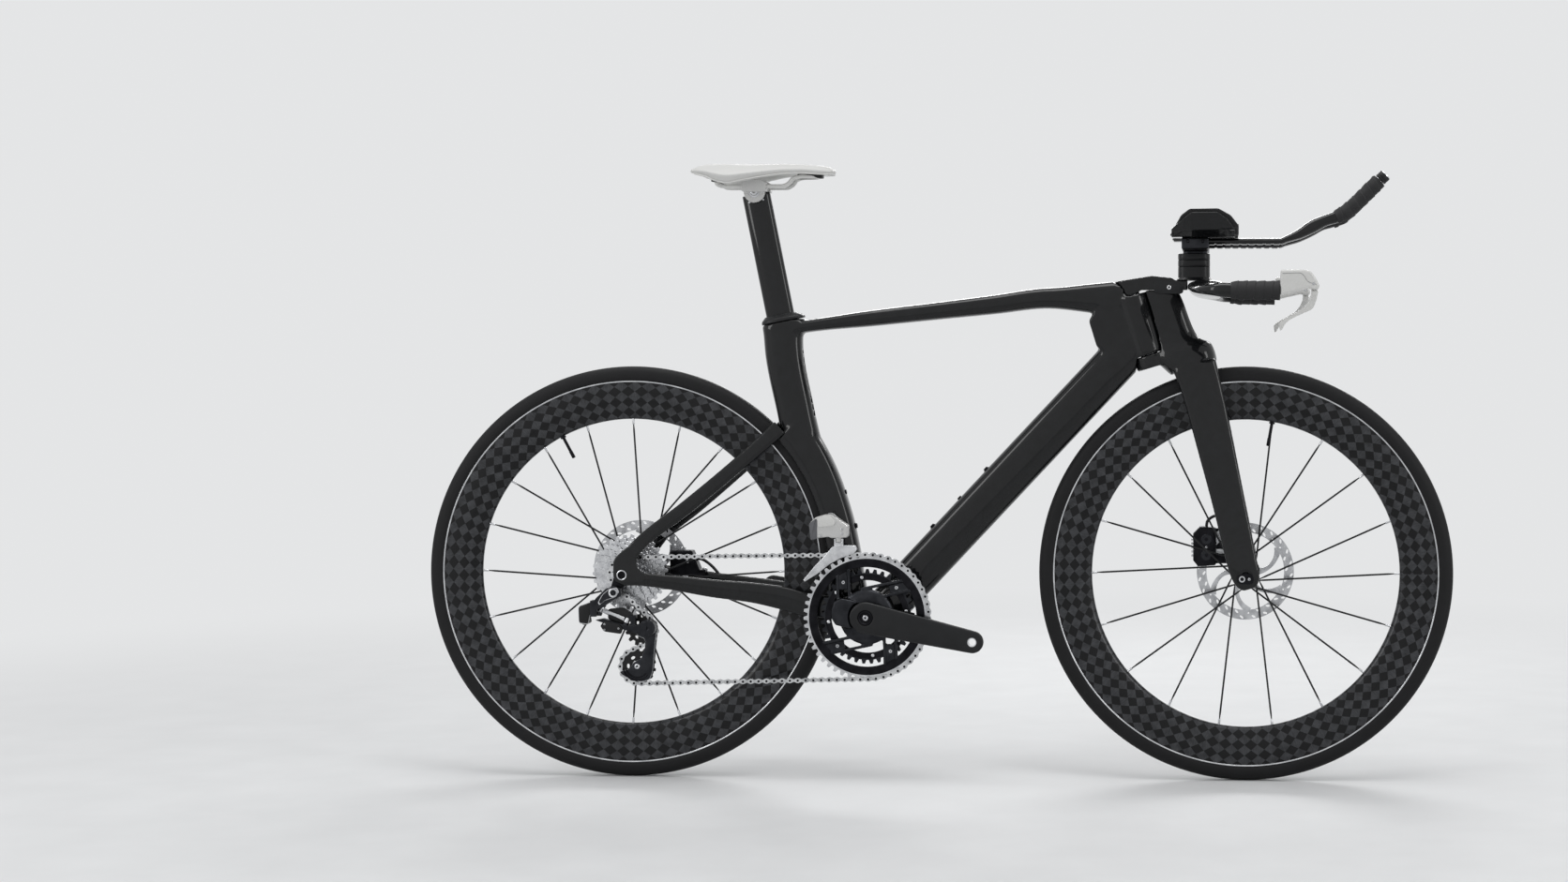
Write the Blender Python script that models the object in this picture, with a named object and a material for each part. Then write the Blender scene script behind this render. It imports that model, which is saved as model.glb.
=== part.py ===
"""Time-trial bicycle, modelled at its real size in metres.

+X is forward, +Y is the rider's left and +Z is up. The origin is on the ground, half way between the two
wheel axles.
The drive side faces -Y. Side outlines are given as (forward, up) points from a named datum: the steering
axis, the seat line,
a hub or the bottom bracket.
"""

import math

import bmesh
import bpy
from mathutils import Matrix, Vector

# Running clearances
SEAT = 0.0003
WHEEL_CLEAR = 0.006
TURN_CLEAR = 0.001

# Wheels
WHEELBASE = 1.010
TYRE_R = 0.338
TYRE_W = 0.028
RIM_DEPTH = 0.063
RIM_OUTER_R = 0.314
RIM_W = 0.027
FRONT_SPOKES = 18
REAR_SPOKES = 20
SPOKE_W = 0.0024
SPOKE_T = 0.0012
ROTOR_R = 0.080
ROTOR_BAND = 0.016
ROTOR_T = 0.0018
FRONT_OLD = 0.100
REAR_OLD = 0.142
AXLE_R = 0.0060
HUB_BORE_R = 0.0066
FRONT_ROTOR_Y = 0.0360
REAR_ROTOR_Y = 0.0555
HUB_CAP_R = 0.0095
FLANGE_T = 0.0045
FRONT_FLANGES = {-1: 0.0300, 1: 0.0255}
REAR_FLANGES = {-1: 0.0150, 1: 0.0330}
SPOKE_LEAN = math.radians(62)
WHEEL_SIDES = 40

# Frame geometry
CHAINSTAY = 0.401
BB_DROP = 0.069
HEAD_ANGLE = math.radians(72.9)
FORK_OFFSET = 0.0453
SEAT_ANGLE = math.radians(78.6)
HEAD_R = 0.0280
CROWN_R = 0.0265
STEERER_R = 0.0143
HEAD_LOW = 0.3885
HEAD_TOP = 0.4880
BEARING_H = 0.0075
BEARING_R = 0.0205
BB_SHELL_R = 0.0260
BB_SHELL_W = 0.0740
BB_SLEEVE_R = 0.0205
SPINDLE_R = 0.0120
SEAT_TUBE_W = 0.0500
SLOT_W = 0.0380
TUBE_W = 0.0440
DROPOUT_T = 0.0075
HANGER_T = 0.0035
STEM_REAR_R = 0.0190
YOKE_X = -0.0480
STAY_F = -0.0885
SOCKET_S = 0.3350
HANGER_X = -0.0120
HANGER_Z = -0.0280
HANGER_BOLT_R = 0.0045

# Seatpost and saddle
POST_CHORD = 0.0465
POST_W = 0.0240
POST_TOP = 0.7150
POST_FOOT = 0.3700
POST_F = -0.0505
COLLAR_S = 0.5000
COLLAR_H = 0.0105
CLAMP_R = 0.0175
CLAMP_S = 0.7180
RAIL_R = 0.0035
RAIL_Y = 0.0220

# Drivetrain
PITCH = 0.0127
OUTER_TEETH = 50
INNER_TEETH = 37
COG_TEETH = (10, 11, 12, 13, 14, 15, 17, 19, 21, 24, 27, 30)
DRIVEN_COG = 3
COG_PITCH = 0.00356
COG_T = 0.0014
UPPER_JOCKEY_TEETH = 12
LOWER_JOCKEY_TEETH = 14
CHAIN_Y = -0.0500
RING_T = 0.0018
INNER_RING_Y = -0.0430
CRANK_L = 0.1775
CRANK_DROP = math.radians(12.5)
CRANK_T = 0.0130
CRANK_FACE = 0.0578
CHAIN_GAP = 0.0025
CHAIN_PLATE = 0.0013
CHAIN_H = 0.0080
TAB_IN = INNER_RING_Y - RING_T / 2 - SEAT
TAB_OUT = CHAIN_Y + RING_T / 2 + SEAT
SPINDLE_END = 0.0680
PEDAL_HOLE_R = 0.00715
COG_CORE_R = 0.0165
JOCKEY_PIN_R = 0.0030
UPPER_JOCKEY = (0.0254, -0.0922)
LOWER_JOCKEY = (0.0193, -0.1510)
CAGE_PIVOT = (0.0390, -0.0870)
LINK_BACK = (-0.0370, -0.0570)
LINK_FORE = (0.0056, -0.0750)
LINK_Y = -0.0660
LINK_SLANT = math.radians(14)
FD_GUIDE_X = -0.1560
ROTOR_CLEAR = 0.0010
PIN_ROOM = 0.0200
RING_PIN_ROOM = 0.0370

# Cockpit
BAR_Y = 0.2000
BAR_Z = 0.7960
GRIP_R = 0.0150
EXT_Y = 0.0720
EXT_Z = 0.8770
EXT_T = 0.0110
EXT_W = 0.0300
CUP_Y = 0.0820
CUP_W = 0.1000
CUP_T = 0.0030
PAD_T = 0.0080

BAR_X = 0.4420
BAR_CHORD = 0.0620
BAR_TOP_Z = 0.8165
HORN_R = 0.0115
HORN_END_X = 0.5565
HORN_DROP = 0.0010
GRIP_WRAPS = 6
HOOD_W = 0.0300
LEVER_W = 0.0120
LEVER_TAB_T = 0.0080
RISER_TOP_Z = 0.8660
EXT_R = 0.0095
EXT_GRIP_R = 0.0120
EXT_WRAPS = 6
BUTTON_R = 0.0100
BUTTON_GAP = 0.0015
STALK_R = 0.0050
STALK_DEPTH = 0.0070
STEM_FOOT_S = 0.4730
STEM_FOOT_F = 0.0800
STEERER_TOP = 0.5050
SHOULDER_F = 0.0060

# Saddle stations: distance forward, crown height, skirt height, half width and hollow of the underside
SADDLE = (
    (-0.4056, 0.9990, 0.9965, 0.0260, 0.0005), (-0.3970, 1.0030, 0.9923, 0.0500, 0.0015),
    (-0.3860, 1.0070, 0.9890, 0.0600, 0.0030), (-0.3710, 1.0094, 0.9850, 0.0650, 0.0055),
    (-0.3570, 1.0095, 0.9790, 0.0660, 0.0080), (-0.3380, 1.0094, 0.9750, 0.0655, 0.0150),
    (-0.3120, 1.0084, 0.9800, 0.0610, 0.0130), (-0.2810, 1.0090, 0.9865, 0.0500, 0.0090),
    (-0.2500, 1.0099, 0.9915, 0.0390, 0.0045), (-0.2190, 1.0090, 0.9930, 0.0310, 0.0015),
    (-0.1960, 1.0070, 0.9920, 0.0265, 0.0010), (-0.1760, 1.0030, 0.9915, 0.0215, 0.0005),
    (-0.1696, 0.9985, 0.9950, 0.0150, 0.0003),
)
RAIL_LIFT = 0.0085
NOSE_RAIL_Z = 0.9880

# Datum points
REAR_X = -WHEELBASE / 2
FRONT_X = WHEELBASE / 2
BB_X = REAR_X + math.sqrt(CHAINSTAY**2 - BB_DROP**2)
BB_Z = TYRE_R - BB_DROP
RIM_INNER_R = RIM_OUTER_R - RIM_DEPTH
COG_OUT_Y = CHAIN_Y - DRIVEN_COG * COG_PITCH
STEER_UP = Vector((-math.cos(HEAD_ANGLE), 0, math.sin(HEAD_ANGLE)))
STEER_FORE = Vector((math.sin(HEAD_ANGLE), 0, math.cos(HEAD_ANGLE)))
STEER_FOOT = Vector((FRONT_X, 0, TYRE_R)) - STEER_FORE * FORK_OFFSET
SEAT_UP = Vector((-math.cos(SEAT_ANGLE), 0, math.sin(SEAT_ANGLE)))
SEAT_FORE = Vector((math.sin(SEAT_ANGLE), 0, math.cos(SEAT_ANGLE)))
BB_POINT = Vector((BB_X, 0, BB_Z))
ACROSS = Vector((0, 1, 0))
LINK_UPRIGHT = Vector((LINK_BACK[1] - LINK_FORE[1], 0, LINK_FORE[0] - LINK_BACK[0])).normalized()
LINK_AXIS = LINK_UPRIGHT * math.cos(LINK_SLANT) + ACROSS * math.sin(LINK_SLANT)
CUP_FOOT_Z = EXT_Z + EXT_T / 2 + 2 * SEAT
SIDES = {"right": -1, "left": 1}

# Paint, metal and rubber: colour, roughness, metallic
FINISHES = {
    "gloss_carbon": ((0.012, 0.012, 0.013), 0.22, 0.0),
    "satin_carbon": ((0.022, 0.022, 0.024), 0.42, 0.0),
    "tyre_rubber": ((0.025, 0.025, 0.026), 0.75, 0.0),
    "black_tape": ((0.03, 0.03, 0.032), 0.8, 0.0),
    "foam_black": ((0.02, 0.02, 0.021), 0.9, 0.0),
    "white_plastic": ((0.78, 0.78, 0.77), 0.35, 0.0),
    "white_cover": ((0.74, 0.73, 0.71), 0.55, 0.0),
    "silver_metal": ((0.6, 0.6, 0.61), 0.28, 1.0),
    "steel": ((0.55, 0.55, 0.56), 0.3, 1.0),
    "black_metal": ((0.03, 0.03, 0.032), 0.35, 0.6),
    "black_plastic": ((0.02, 0.02, 0.02), 0.45, 0.0),
}


def clear_scene():
    for old in list(bpy.data.objects):
        bpy.data.objects.remove(old, do_unlink=True)


def make_finishes():
    for name, (colour, roughness, metallic) in FINISHES.items():
        material = bpy.data.materials.new(name)
        material.use_nodes = True
        shader = material.node_tree.nodes["Principled BSDF"]
        shader.inputs["Base Color"].default_value = (*colour, 1)
        shader.inputs["Roughness"].default_value = roughness
        shader.inputs["Metallic"].default_value = metallic


def steer(s, f, y=0.0):
    """The point s up the steering axis from beside the front hub, f ahead of it and y to the left."""
    return STEER_FOOT + STEER_UP * s + STEER_FORE * f + ACROSS * y


def seat(s, f, y=0.0):
    """The point s up the seat line from the bottom bracket, f ahead of it and y to the left."""
    return BB_POINT + SEAT_UP * s + SEAT_FORE * f + ACROSS * y


def at_bb(x, z, y=0.0):
    return BB_POINT + Vector((x, y, z))


def at_rear(x, z, y=0.0):
    return Vector((REAR_X + x, y, TYRE_R + z))


def at_front(x, z, y=0.0):
    return Vector((FRONT_X + x, y, TYRE_R + z))


def finish_mesh(name, bm, finish=None, pivot=None, smooth=35):
    """Turns a bmesh into an object whose origin is at pivot, with its faces pointing out."""
    bmesh.ops.remove_doubles(bm, verts=bm.verts, dist=1e-7)
    bmesh.ops.recalc_face_normals(bm, faces=bm.faces)
    pivot = Vector(pivot) if pivot is not None else Vector((0, 0, 0))
    bmesh.ops.translate(bm, verts=bm.verts, vec=-pivot)
    mesh = bpy.data.meshes.new(name)
    bm.to_mesh(mesh)
    bm.free()
    mesh.shade_smooth()
    mesh.set_sharp_from_angle(angle=math.radians(smooth))
    obj = bpy.data.objects.new(name, mesh)
    obj.location = pivot
    bpy.context.scene.collection.objects.link(obj)
    if finish:
        obj.data.materials.append(bpy.data.materials[finish])
    return obj


def helper(obj):
    obj.hide_render = True
    obj.display_type = "WIRE"
    return obj


def combine(obj, others, operation):
    """Joins or cuts obj with each helper through a live Boolean."""
    for other in others:
        helper(other)
        modifier = obj.modifiers.new(operation.lower() + "_" + other.name, "BOOLEAN")
        modifier.operation = operation
        modifier.solver = "EXACT"
        modifier.object = other
    return obj


def join(obj, *others):
    return combine(obj, others, "UNION")


def cut(obj, *others):
    return combine(obj, others, "DIFFERENCE")


def rings_to_mesh(bm, rings, closed=False):
    """Bridges rings of points in turn, and caps both ends unless the last ring meets the first."""
    loops = [[bm.verts.new(point) for point in ring] for ring in rings]
    pairs = list(zip(loops, loops[1:]))
    if closed:
        pairs.append((loops[-1], loops[0]))
    count = len(loops[0])
    for low, high in pairs:
        for i in range(count):
            j = (i + 1) % count
            bm.faces.new((low[i], low[j], high[j], high[i]))
    if not closed:
        bm.faces.new(list(reversed(loops[0])))
        bm.faces.new(loops[-1])


def rings_object(name, rings, finish=None, pivot=None, closed=False, smooth=35):
    bm = bmesh.new()
    rings_to_mesh(bm, rings, closed)
    return finish_mesh(name, bm, finish, pivot, smooth)


def oval(centre, a, b, sides=12, power=2.4):
    """A superellipse about centre: a and b are its half axes as vectors, and power 2 is a true ellipse."""
    ring = []
    for i in range(sides):
        t = 2 * math.pi * i / sides
        c, s = math.cos(t), math.sin(t)
        u = math.copysign(abs(c) ** (2 / power), c)
        v = math.copysign(abs(s) ** (2 / power), s)
        ring.append(Vector(centre) + a * u + b * v)
    return ring


def loft(name, stations, finish=None, pivot=None, sides=12, power=2.4, smooth=35):
    """A tube through stations of (centre, depth, width): depth in the side view, width across it."""
    centres = [Vector(station[0]) for station in stations]
    rings = []
    for i, (_, depth, width) in enumerate(stations):
        before = centres[max(i - 1, 0)]
        after = centres[min(i + 1, len(centres) - 1)]
        along = (after - before).normalized()
        side_on = Vector((-along.z, 0, along.x)).normalized()
        over = along.cross(side_on).normalized()
        rings.append(oval(centres[i], side_on * (depth / 2), over * (width / 2), sides, power))
    return rings_object(name, rings, finish, pivot, smooth=smooth)


def pipe(name, centres, radius, finish=None, pivot=None, sides=10, smooth=35):
    """A round tube through centres: radius is one number, or one for each centre."""
    centres = [Vector(centre) for centre in centres]
    radii = radius if isinstance(radius, (list, tuple)) else [radius] * len(centres)
    rings = []
    normal = None
    for i, centre in enumerate(centres):
        before = centres[max(i - 1, 0)]
        after = centres[min(i + 1, len(centres) - 1)]
        along = (after - before).normalized()
        if normal is None:
            normal = along.orthogonal().normalized()
        normal = (normal - along * normal.dot(along)).normalized()
        rings.append(oval(centre, normal * radii[i], along.cross(normal) * radii[i], sides, 2))
    return rings_object(name, rings, finish, pivot, smooth=smooth)


def plate(name, outline, y0, y1, finish=None, pivot=None, smooth=35):
    """A flat piece: an outline in the side view, extruded from y0 to y1."""
    bm = bmesh.new()
    low, high = min(y0, y1), max(y0, y1)
    verts = [bm.verts.new((point[0], low, point[-1])) for point in outline]
    face = bm.faces.new(verts)
    grown = bmesh.ops.extrude_face_region(bm, geom=[face])
    moved = [item for item in grown["geom"] if isinstance(item, bmesh.types.BMVert)]
    bmesh.ops.translate(bm, verts=moved, vec=(0, high - low, 0))
    return finish_mesh(name, bm, finish, pivot, smooth)


def turned(name, centre, profile, sides=32, finish=None, pivot=None, axis=ACROSS, start=0.0, smooth=35):
    """A closed profile of (radius, distance along the axis) swept round the axis through centre."""
    axis = Vector(axis).normalized()
    first = Vector((1, 0, 0)) if abs(axis.x) < 0.5 else Vector((0, 0, 1))
    first = (first - axis * first.dot(axis)).normalized()
    second = axis.cross(first)
    rings = []
    for i in range(sides):
        t = start + 2 * math.pi * i / sides
        out = first * math.cos(t) + second * math.sin(t)
        rings.append([Vector(centre) + out * r + axis * h for r, h in profile])
    return rings_object(name, rings, finish, pivot, closed=True, smooth=smooth)


def spun(name, centre, axis, steps, sides=16, finish=None, pivot=None):
    """A solid round piece: (radius, distance along the axis) steps from one flat end to the other."""
    axis = Vector(axis).normalized()
    a = axis.orthogonal().normalized()
    b = axis.cross(a)
    rings = [oval(Vector(centre) + axis * h, a * r, b * r, sides, 2) for r, h in steps]
    return rings_object(name, rings, finish, pivot)


def rod(name, start, end, radius, sides=16, finish=None, pivot=None, smooth=35):
    start, end = Vector(start), Vector(end)
    along = (end - start).normalized()
    a = along.orthogonal().normalized() * radius
    b = along.cross(a.normalized()) * radius
    rings = [oval(start, a, b, sides, 2), oval(end, a, b, sides, 2)]
    return rings_object(name, rings, finish, pivot, smooth=smooth)


def block(name, low, high, finish=None, pivot=None):
    outline = [(low[0], low[2]), (high[0], low[2]), (high[0], high[2]), (low[0], high[2])]
    return plate(name, outline, low[1], high[1], finish, pivot)


def pitch_radius(teeth):
    return PITCH / (2 * math.sin(math.pi / teeth))


def toothed(teeth, centre, root=0.0030, tip=0.0022):
    """Sprocket outline: a root and a tip point for each tooth, about the pitch circle."""
    radius = pitch_radius(teeth)
    points = []
    for i in range(2 * teeth):
        t = math.pi * i / teeth
        r = radius + (tip if i % 2 else -root)
        points.append(Vector((centre.x + r * math.cos(t), 0, centre.z + r * math.sin(t))))
    return points


def circle_points(centre, radius, count, start=0.0, end=2 * math.pi):
    whole = abs(end - start - 2 * math.pi) < 1e-9
    steps = count if whole else count - 1
    return [
        Vector((
            centre.x + radius * math.cos(start + (end - start) * i / steps),
            0,
            centre.z + radius * math.sin(start + (end - start) * i / steps),
        ))
        for i in range(count)
    ]


def tyre_profile():
    """Half of the tyre's section is mirrored, so that it stays symmetrical about the wheel's plane."""
    low = RIM_OUTER_R + SEAT
    rise = TYRE_R - low
    half = TYRE_W / 2
    side = [(low, half * 0.84), (low + rise * 0.38, half), (low + rise * 0.75, half * 0.78),
            (low + rise * 0.94, half * 0.42)]
    return [(r, -y) for r, y in side] + [(TYRE_R, 0.0)] + list(reversed(side))


def rim_profile():
    half = RIM_W / 2
    depth = RIM_OUTER_R - RIM_INNER_R
    side = [(RIM_OUTER_R, half * 0.94), (RIM_OUTER_R - depth * 0.35, half * 1.04),
            (RIM_OUTER_R - depth * 0.72, half * 0.80)]
    side.append((RIM_OUTER_R - depth * 0.94, half * 0.40))
    return [(r, -y) for r, y in side] + [(RIM_INNER_R, 0.0)] + list(reversed(side))


def spoke_end(angle):
    """How far a spoke reaches at this angle: to the flat-sided inner edge of the rim, less the seat gap."""
    step = 2 * math.pi / WHEEL_SIDES
    off = (angle + math.pi / 2) % step - step / 2
    return RIM_INNER_R * math.cos(step / 2) / math.cos(off) - SEAT * 1.2


def spokes(name, centre, count, flange_r, flange_y):
    """Bladed spokes: odd ones leave the left flange, even ones the right, each leaning past the radius."""
    bm = bmesh.new()
    for i in range(count):
        side = -1 if i % 2 else 1
        at_rim = 2 * math.pi * i / count
        lean = 1 if (i // 2) % 2 else -1
        at_hub = at_rim + SPOKE_LEAN * lean
        out = side * (flange_y[side] + lean * SPOKE_T)
        start = centre + Vector((math.cos(at_hub) * flange_r, out, math.sin(at_hub) * flange_r))
        reach = spoke_end(at_rim)
        end = centre + Vector((math.cos(at_rim) * reach, side * 0.0012, math.sin(at_rim) * reach))
        along = (end - start).normalized()
        wide = along.cross(ACROSS).normalized() * (SPOKE_W / 2)
        thick = along.cross(wide).normalized() * (SPOKE_T / 2)
        rings = [[p - wide - thick, p + wide - thick, p + wide + thick, p - wide + thick]
                 for p in (start, end)]
        rings_to_mesh(bm, rings)
    return finish_mesh(name, bm)


def hub(name, centre, half_old, flange_r, flange_y, shell_r, count):
    """Hub shell with two flanges, end caps and a through bore, joined to its spokes."""
    right, left = flange_y[-1], flange_y[1]
    cap_r = HUB_CAP_R
    half = FLANGE_T / 2
    ends = half_old - SEAT
    profile = [
        (HUB_BORE_R, -ends), (cap_r, -ends), (cap_r, -right - half), (flange_r, -right - half),
        (flange_r, -right + half), (shell_r, -right + half * 2.6), (shell_r, left - half * 2.6),
        (flange_r, left - half), (flange_r, left + half), (cap_r, left + half), (cap_r, ends),
        (HUB_BORE_R, ends),
    ]
    body = turned(name, centre, profile, 16, "black_metal", pivot=centre)
    lace = spokes(name + "_spokes", centre, count, flange_r - 0.003, flange_y)
    return join(body, lace)


def rotor(name, centre, y):
    """Brake disc: a braking band on six leaning arms round a splined carrier."""
    hub_centre = centre + ACROSS * y
    half = ROTOR_T / 2
    inner = ROTOR_R - ROTOR_BAND
    carrier_r = 0.0235
    band = turned(name, hub_centre, [(inner, -half), (ROTOR_R, -half), (ROTOR_R, half), (inner, half)], 28,
                  "steel", centre)
    bore = HUB_CAP_R + SEAT
    carrier = turned(name + "_carrier", hub_centre,
                     [(bore, -half * 1.8), (carrier_r, -half * 1.8), (carrier_r, half * 1.8),
                      (bore, half * 1.8)], 14)
    bm = bmesh.new()
    for i in range(6):
        t = 2 * math.pi * i / 6
        start = hub_centre + Vector((math.cos(t), 0, math.sin(t))) * (carrier_r - 0.002)
        end = hub_centre + Vector((math.cos(t + 0.45), 0, math.sin(t + 0.45))) * (inner + 0.004)
        along = (end - start).normalized()
        wide = along.cross(ACROSS).normalized() * 0.0035
        thick = ACROSS * (half * 0.9)
        rings = [[p - wide - thick, p + wide - thick, p + wide + thick, p - wide + thick]
                 for p in (start, end)]
        rings_to_mesh(bm, rings)
    arms = finish_mesh(name + "_arms", bm)
    return join(band, carrier, arms)


def build_wheels():
    for end, x in (("front", FRONT_X), ("rear", REAR_X)):
        centre = Vector((x, 0, TYRE_R))
        down = -math.pi / 2
        turned(end + "_tyre", centre, tyre_profile(), WHEEL_SIDES, "tyre_rubber", centre, start=down)
        turned(end + "_rim", centre, rim_profile(), WHEEL_SIDES, "gloss_carbon", centre, start=down)
    front, rear = Vector((FRONT_X, 0, TYRE_R)), Vector((REAR_X, 0, TYRE_R))
    hub("front_hub", front, FRONT_OLD / 2, 0.0200, FRONT_FLANGES, 0.0125, FRONT_SPOKES)
    hub("rear_hub", rear, REAR_OLD / 2, 0.0250, REAR_FLANGES, 0.0150, REAR_SPOKES)
    rotor("front_rotor", front, FRONT_ROTOR_Y)
    rotor("rear_rotor", rear, REAR_ROTOR_Y)
    for end, centre, half in (("front", front, FRONT_OLD / 2), ("rear", rear, REAR_OLD / 2)):
        reach = ACROSS * (half + DROPOUT_T)
        rod(end + "_axle", centre - reach, centre + reach, AXLE_R, 12, "black_metal", centre)


def along_line(start, end, share, lift=0.0):
    """The point at share of the way from start to end, raised by lift."""
    return start.lerp(end, share) + Vector((0, 0, lift))


def polar(centre, degrees, radius, y=0.0):
    t = math.radians(degrees)
    return Vector((centre.x + radius * math.cos(t), y, centre.z + radius * math.sin(t)))


def post_section(name, low, high, grow):
    """The aero seatpost's shape between two heights on the seat line, grown by grow on every side."""
    rings = [
        oval(seat(s, POST_F), SEAT_FORE * (POST_CHORD / 2 + grow), ACROSS * (POST_W / 2 + grow), 14, 2.3)
        for s in (low, high)
    ]
    return rings_object(name, rings)


def seat_arc(name, grow):
    """The lower seat tube, which curves round the rear wheel, grown by grow on every side."""
    rear = Vector((REAR_X, 0, TYRE_R))
    arc = []
    inner = TYRE_R - 0.018
    for degrees, short in ((42, 0.016), (34, 0.020), (26, 0.023), (18, 0.025), (10, 0.024), (2, 0.020),
                           (-6, 0.010)):
        outer = CHAINSTAY - short
        arc.append((polar(rear, degrees, (inner + outer) / 2), outer - inner + 2 * grow,
                    SEAT_TUBE_W + 2 * grow))
    return loft(name, arc, power=3.2)


def seat_tube_loft(name, grow):
    """The upper seat tube up to the clamp collar, grown by grow on every side."""
    stations = [(0.300, -0.0560, 0.062), (0.345, -0.0566, 0.061), (0.467, -0.0537, 0.0635),
                (COLLAR_S + 0.004, -0.047, 0.072)]
    return loft(name, [(seat(s, f), depth + 2 * grow, SEAT_TUBE_W - 0.004 + 2 * grow)
                       for s, f, depth in stations], power=2.8)


def build_main_frame():
    """One-piece front triangle, with the wheel cut-out, bearing seats and seatpost socket."""
    rear = Vector((REAR_X, 0, TYRE_R))
    slot_r = TYRE_R + WHEEL_CLEAR
    low, high = at_bb(0, -0.0163), steer(0.4174, -0.0110)
    down = [(low, 0.064, BB_SHELL_W * 0.90), (along_line(low, high, 0.10), 0.069, 0.056)]
    down += [(along_line(low, high, share), 0.070, 0.048) for share in (0.20, 0.5, 0.88)]
    down.append((high, 0.070, 0.042))
    frame = loft("main_frame", down, "gloss_carbon", power=2.6)

    back, front = seat(0.4863, -0.0396), steer(0.4995, -0.0080)
    top = [(0.0, 0.0, 0.020), (0.106, 0.0015, 0.0218), (0.25, 0.0019, 0.0268), (0.4525, 0.0017, 0.0292),
           (0.610, 0.0016, 0.0317), (0.78, 0.0018, 0.0348), (0.90, -0.006, 0.048), (1.0, -0.013, 0.060)]
    top_tube = loft("top_tube", [(along_line(back, front, t, lift), depth, TUBE_W * 0.98)
                                 for t, lift, depth in top], power=3)

    head = rod("head_shell", steer(HEAD_LOW - 0.003, 0), steer(HEAD_TOP + 0.003, 0), HEAD_R, 24)
    web = plate("head_web", [steer(HEAD_LOW - 0.005, 0), steer(HEAD_LOW - 0.004, -0.045),
                             steer(0.425, -0.078), steer(0.470, -0.078),
                             steer(HEAD_TOP + 0.010, -0.045), steer(HEAD_TOP + 0.005, 0)],
                -TUBE_W * 0.46, TUBE_W * 0.46)

    seat_tube = seat_tube_loft("seat_tube", 0.0)

    lower_seat_tube = seat_arc("lower_seat_tube", 0.0)

    half_shell = ACROSS * (BB_SHELL_W / 2)
    shell = rod("bb_shell", BB_POINT - half_shell, BB_POINT + half_shell, BB_SHELL_R, 28)
    yoke = loft("yoke", [(at_bb(0.010, 0), 0.048, BB_SHELL_W * 0.96),
                         (at_bb(-0.020, 0.004), 0.046, BB_SHELL_W * 0.96),
                         (at_bb(YOKE_X, 0.012), 0.040, 0.070)], power=3)
    join(frame, top_tube, head, web, seat_tube, lower_seat_tube, shell, yoke)

    slot = turned("wheel_slot", rear, [(0.20, -SLOT_W / 2), (slot_r, -SLOT_W / 2), (slot_r, SLOT_W / 2),
                                       (0.20, SLOT_W / 2)], 64)
    socket = post_section("post_socket", SOCKET_S, COLLAR_S + 0.05, SEAT)
    bore = bearing_bore()
    collar_room = plate("collar_room", [seat(COLLAR_S, -0.12), seat(COLLAR_S, -0.0105), seat(0.54, -0.0105),
                                        seat(0.54, -0.12)], -0.05, 0.05)
    crown_room = turning_room("crown_room", 0.30, HEAD_LOW, CROWN_R + TURN_CLEAR)
    stem_room = turning_room("stem_room", HEAD_TOP, 0.60, STEM_REAR_R + TURN_CLEAR)
    half_bb = ACROSS * (BB_SHELL_W / 2 + 0.02)
    bb_bore = rod("bb_bore", BB_POINT - half_bb, BB_POINT + half_bb, BB_SLEEVE_R + SEAT, 24)
    yoke_end = block("yoke_end", (BB_X + YOKE_X - 0.04, -0.06, 0.22), (BB_X + YOKE_X, 0.06, 0.3045))
    return cut(frame, slot, yoke_end, collar_room, socket, bore, crown_room, stem_room, bb_bore)


def turning_room(name, low, high, radius):
    """Room for a piece that turns with the fork: a round back about the steering axis, open to the front."""
    edge = math.asin(SHOULDER_F / radius)
    turns = [edge + (math.pi - 2 * edge) * i / 16 for i in range(17)]
    back = [(-radius * math.sin(t), radius * math.cos(t)) for t in turns]
    plan = back + [(-SHOULDER_F, -0.060), (0.120, -0.060), (0.120, 0.060), (-SHOULDER_F, 0.060)]
    return rings_object(name, [[steer(s, f, y) for f, y in plan] for s in (low, high)])


def bearing_bore():
    """Head shell bore: a wide seat at each end for the bearings, over a through hole for the steerer."""
    through = STEERER_R + 0.0020
    wide = BEARING_R + SEAT
    depth = BEARING_H + SEAT
    return spun("head_bore", steer(0, 0), STEER_UP, [
        (wide, HEAD_LOW - 0.006), (wide, HEAD_LOW + depth), (through, HEAD_LOW + depth),
        (through, HEAD_TOP - depth),
        (wide, HEAD_TOP - depth), (wide, HEAD_TOP + 0.006),
    ], 24)


def build_bearings():
    bore = STEERER_R + SEAT
    for name, low in (("headset_lower", HEAD_LOW), ("headset_upper", HEAD_TOP - BEARING_H)):
        ring = [(bore, low), (BEARING_R, low), (BEARING_R, low + BEARING_H), (bore, low + BEARING_H)]
        turned(name, steer(0, 0), ring, 24, "steel", axis=STEER_UP)
    half = BB_SHELL_W / 2
    inner = SPINDLE_R + SEAT
    sleeve = [(inner, -half), (BB_SLEEVE_R, -half), (BB_SLEEVE_R, half), (inner, half)]
    turned("bottom_bracket", BB_POINT, sleeve, 24, "black_metal", BB_POINT)


def dropout_faces(sign):
    """How far a rear dropout's faces lie from the wheel's plane: the right one leaves room for the hanger."""
    inner = REAR_OLD / 2 + SEAT + (HANGER_T + SEAT if sign < 0 else 0)
    return inner, REAR_OLD / 2 + DROPOUT_T + 0.001


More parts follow.
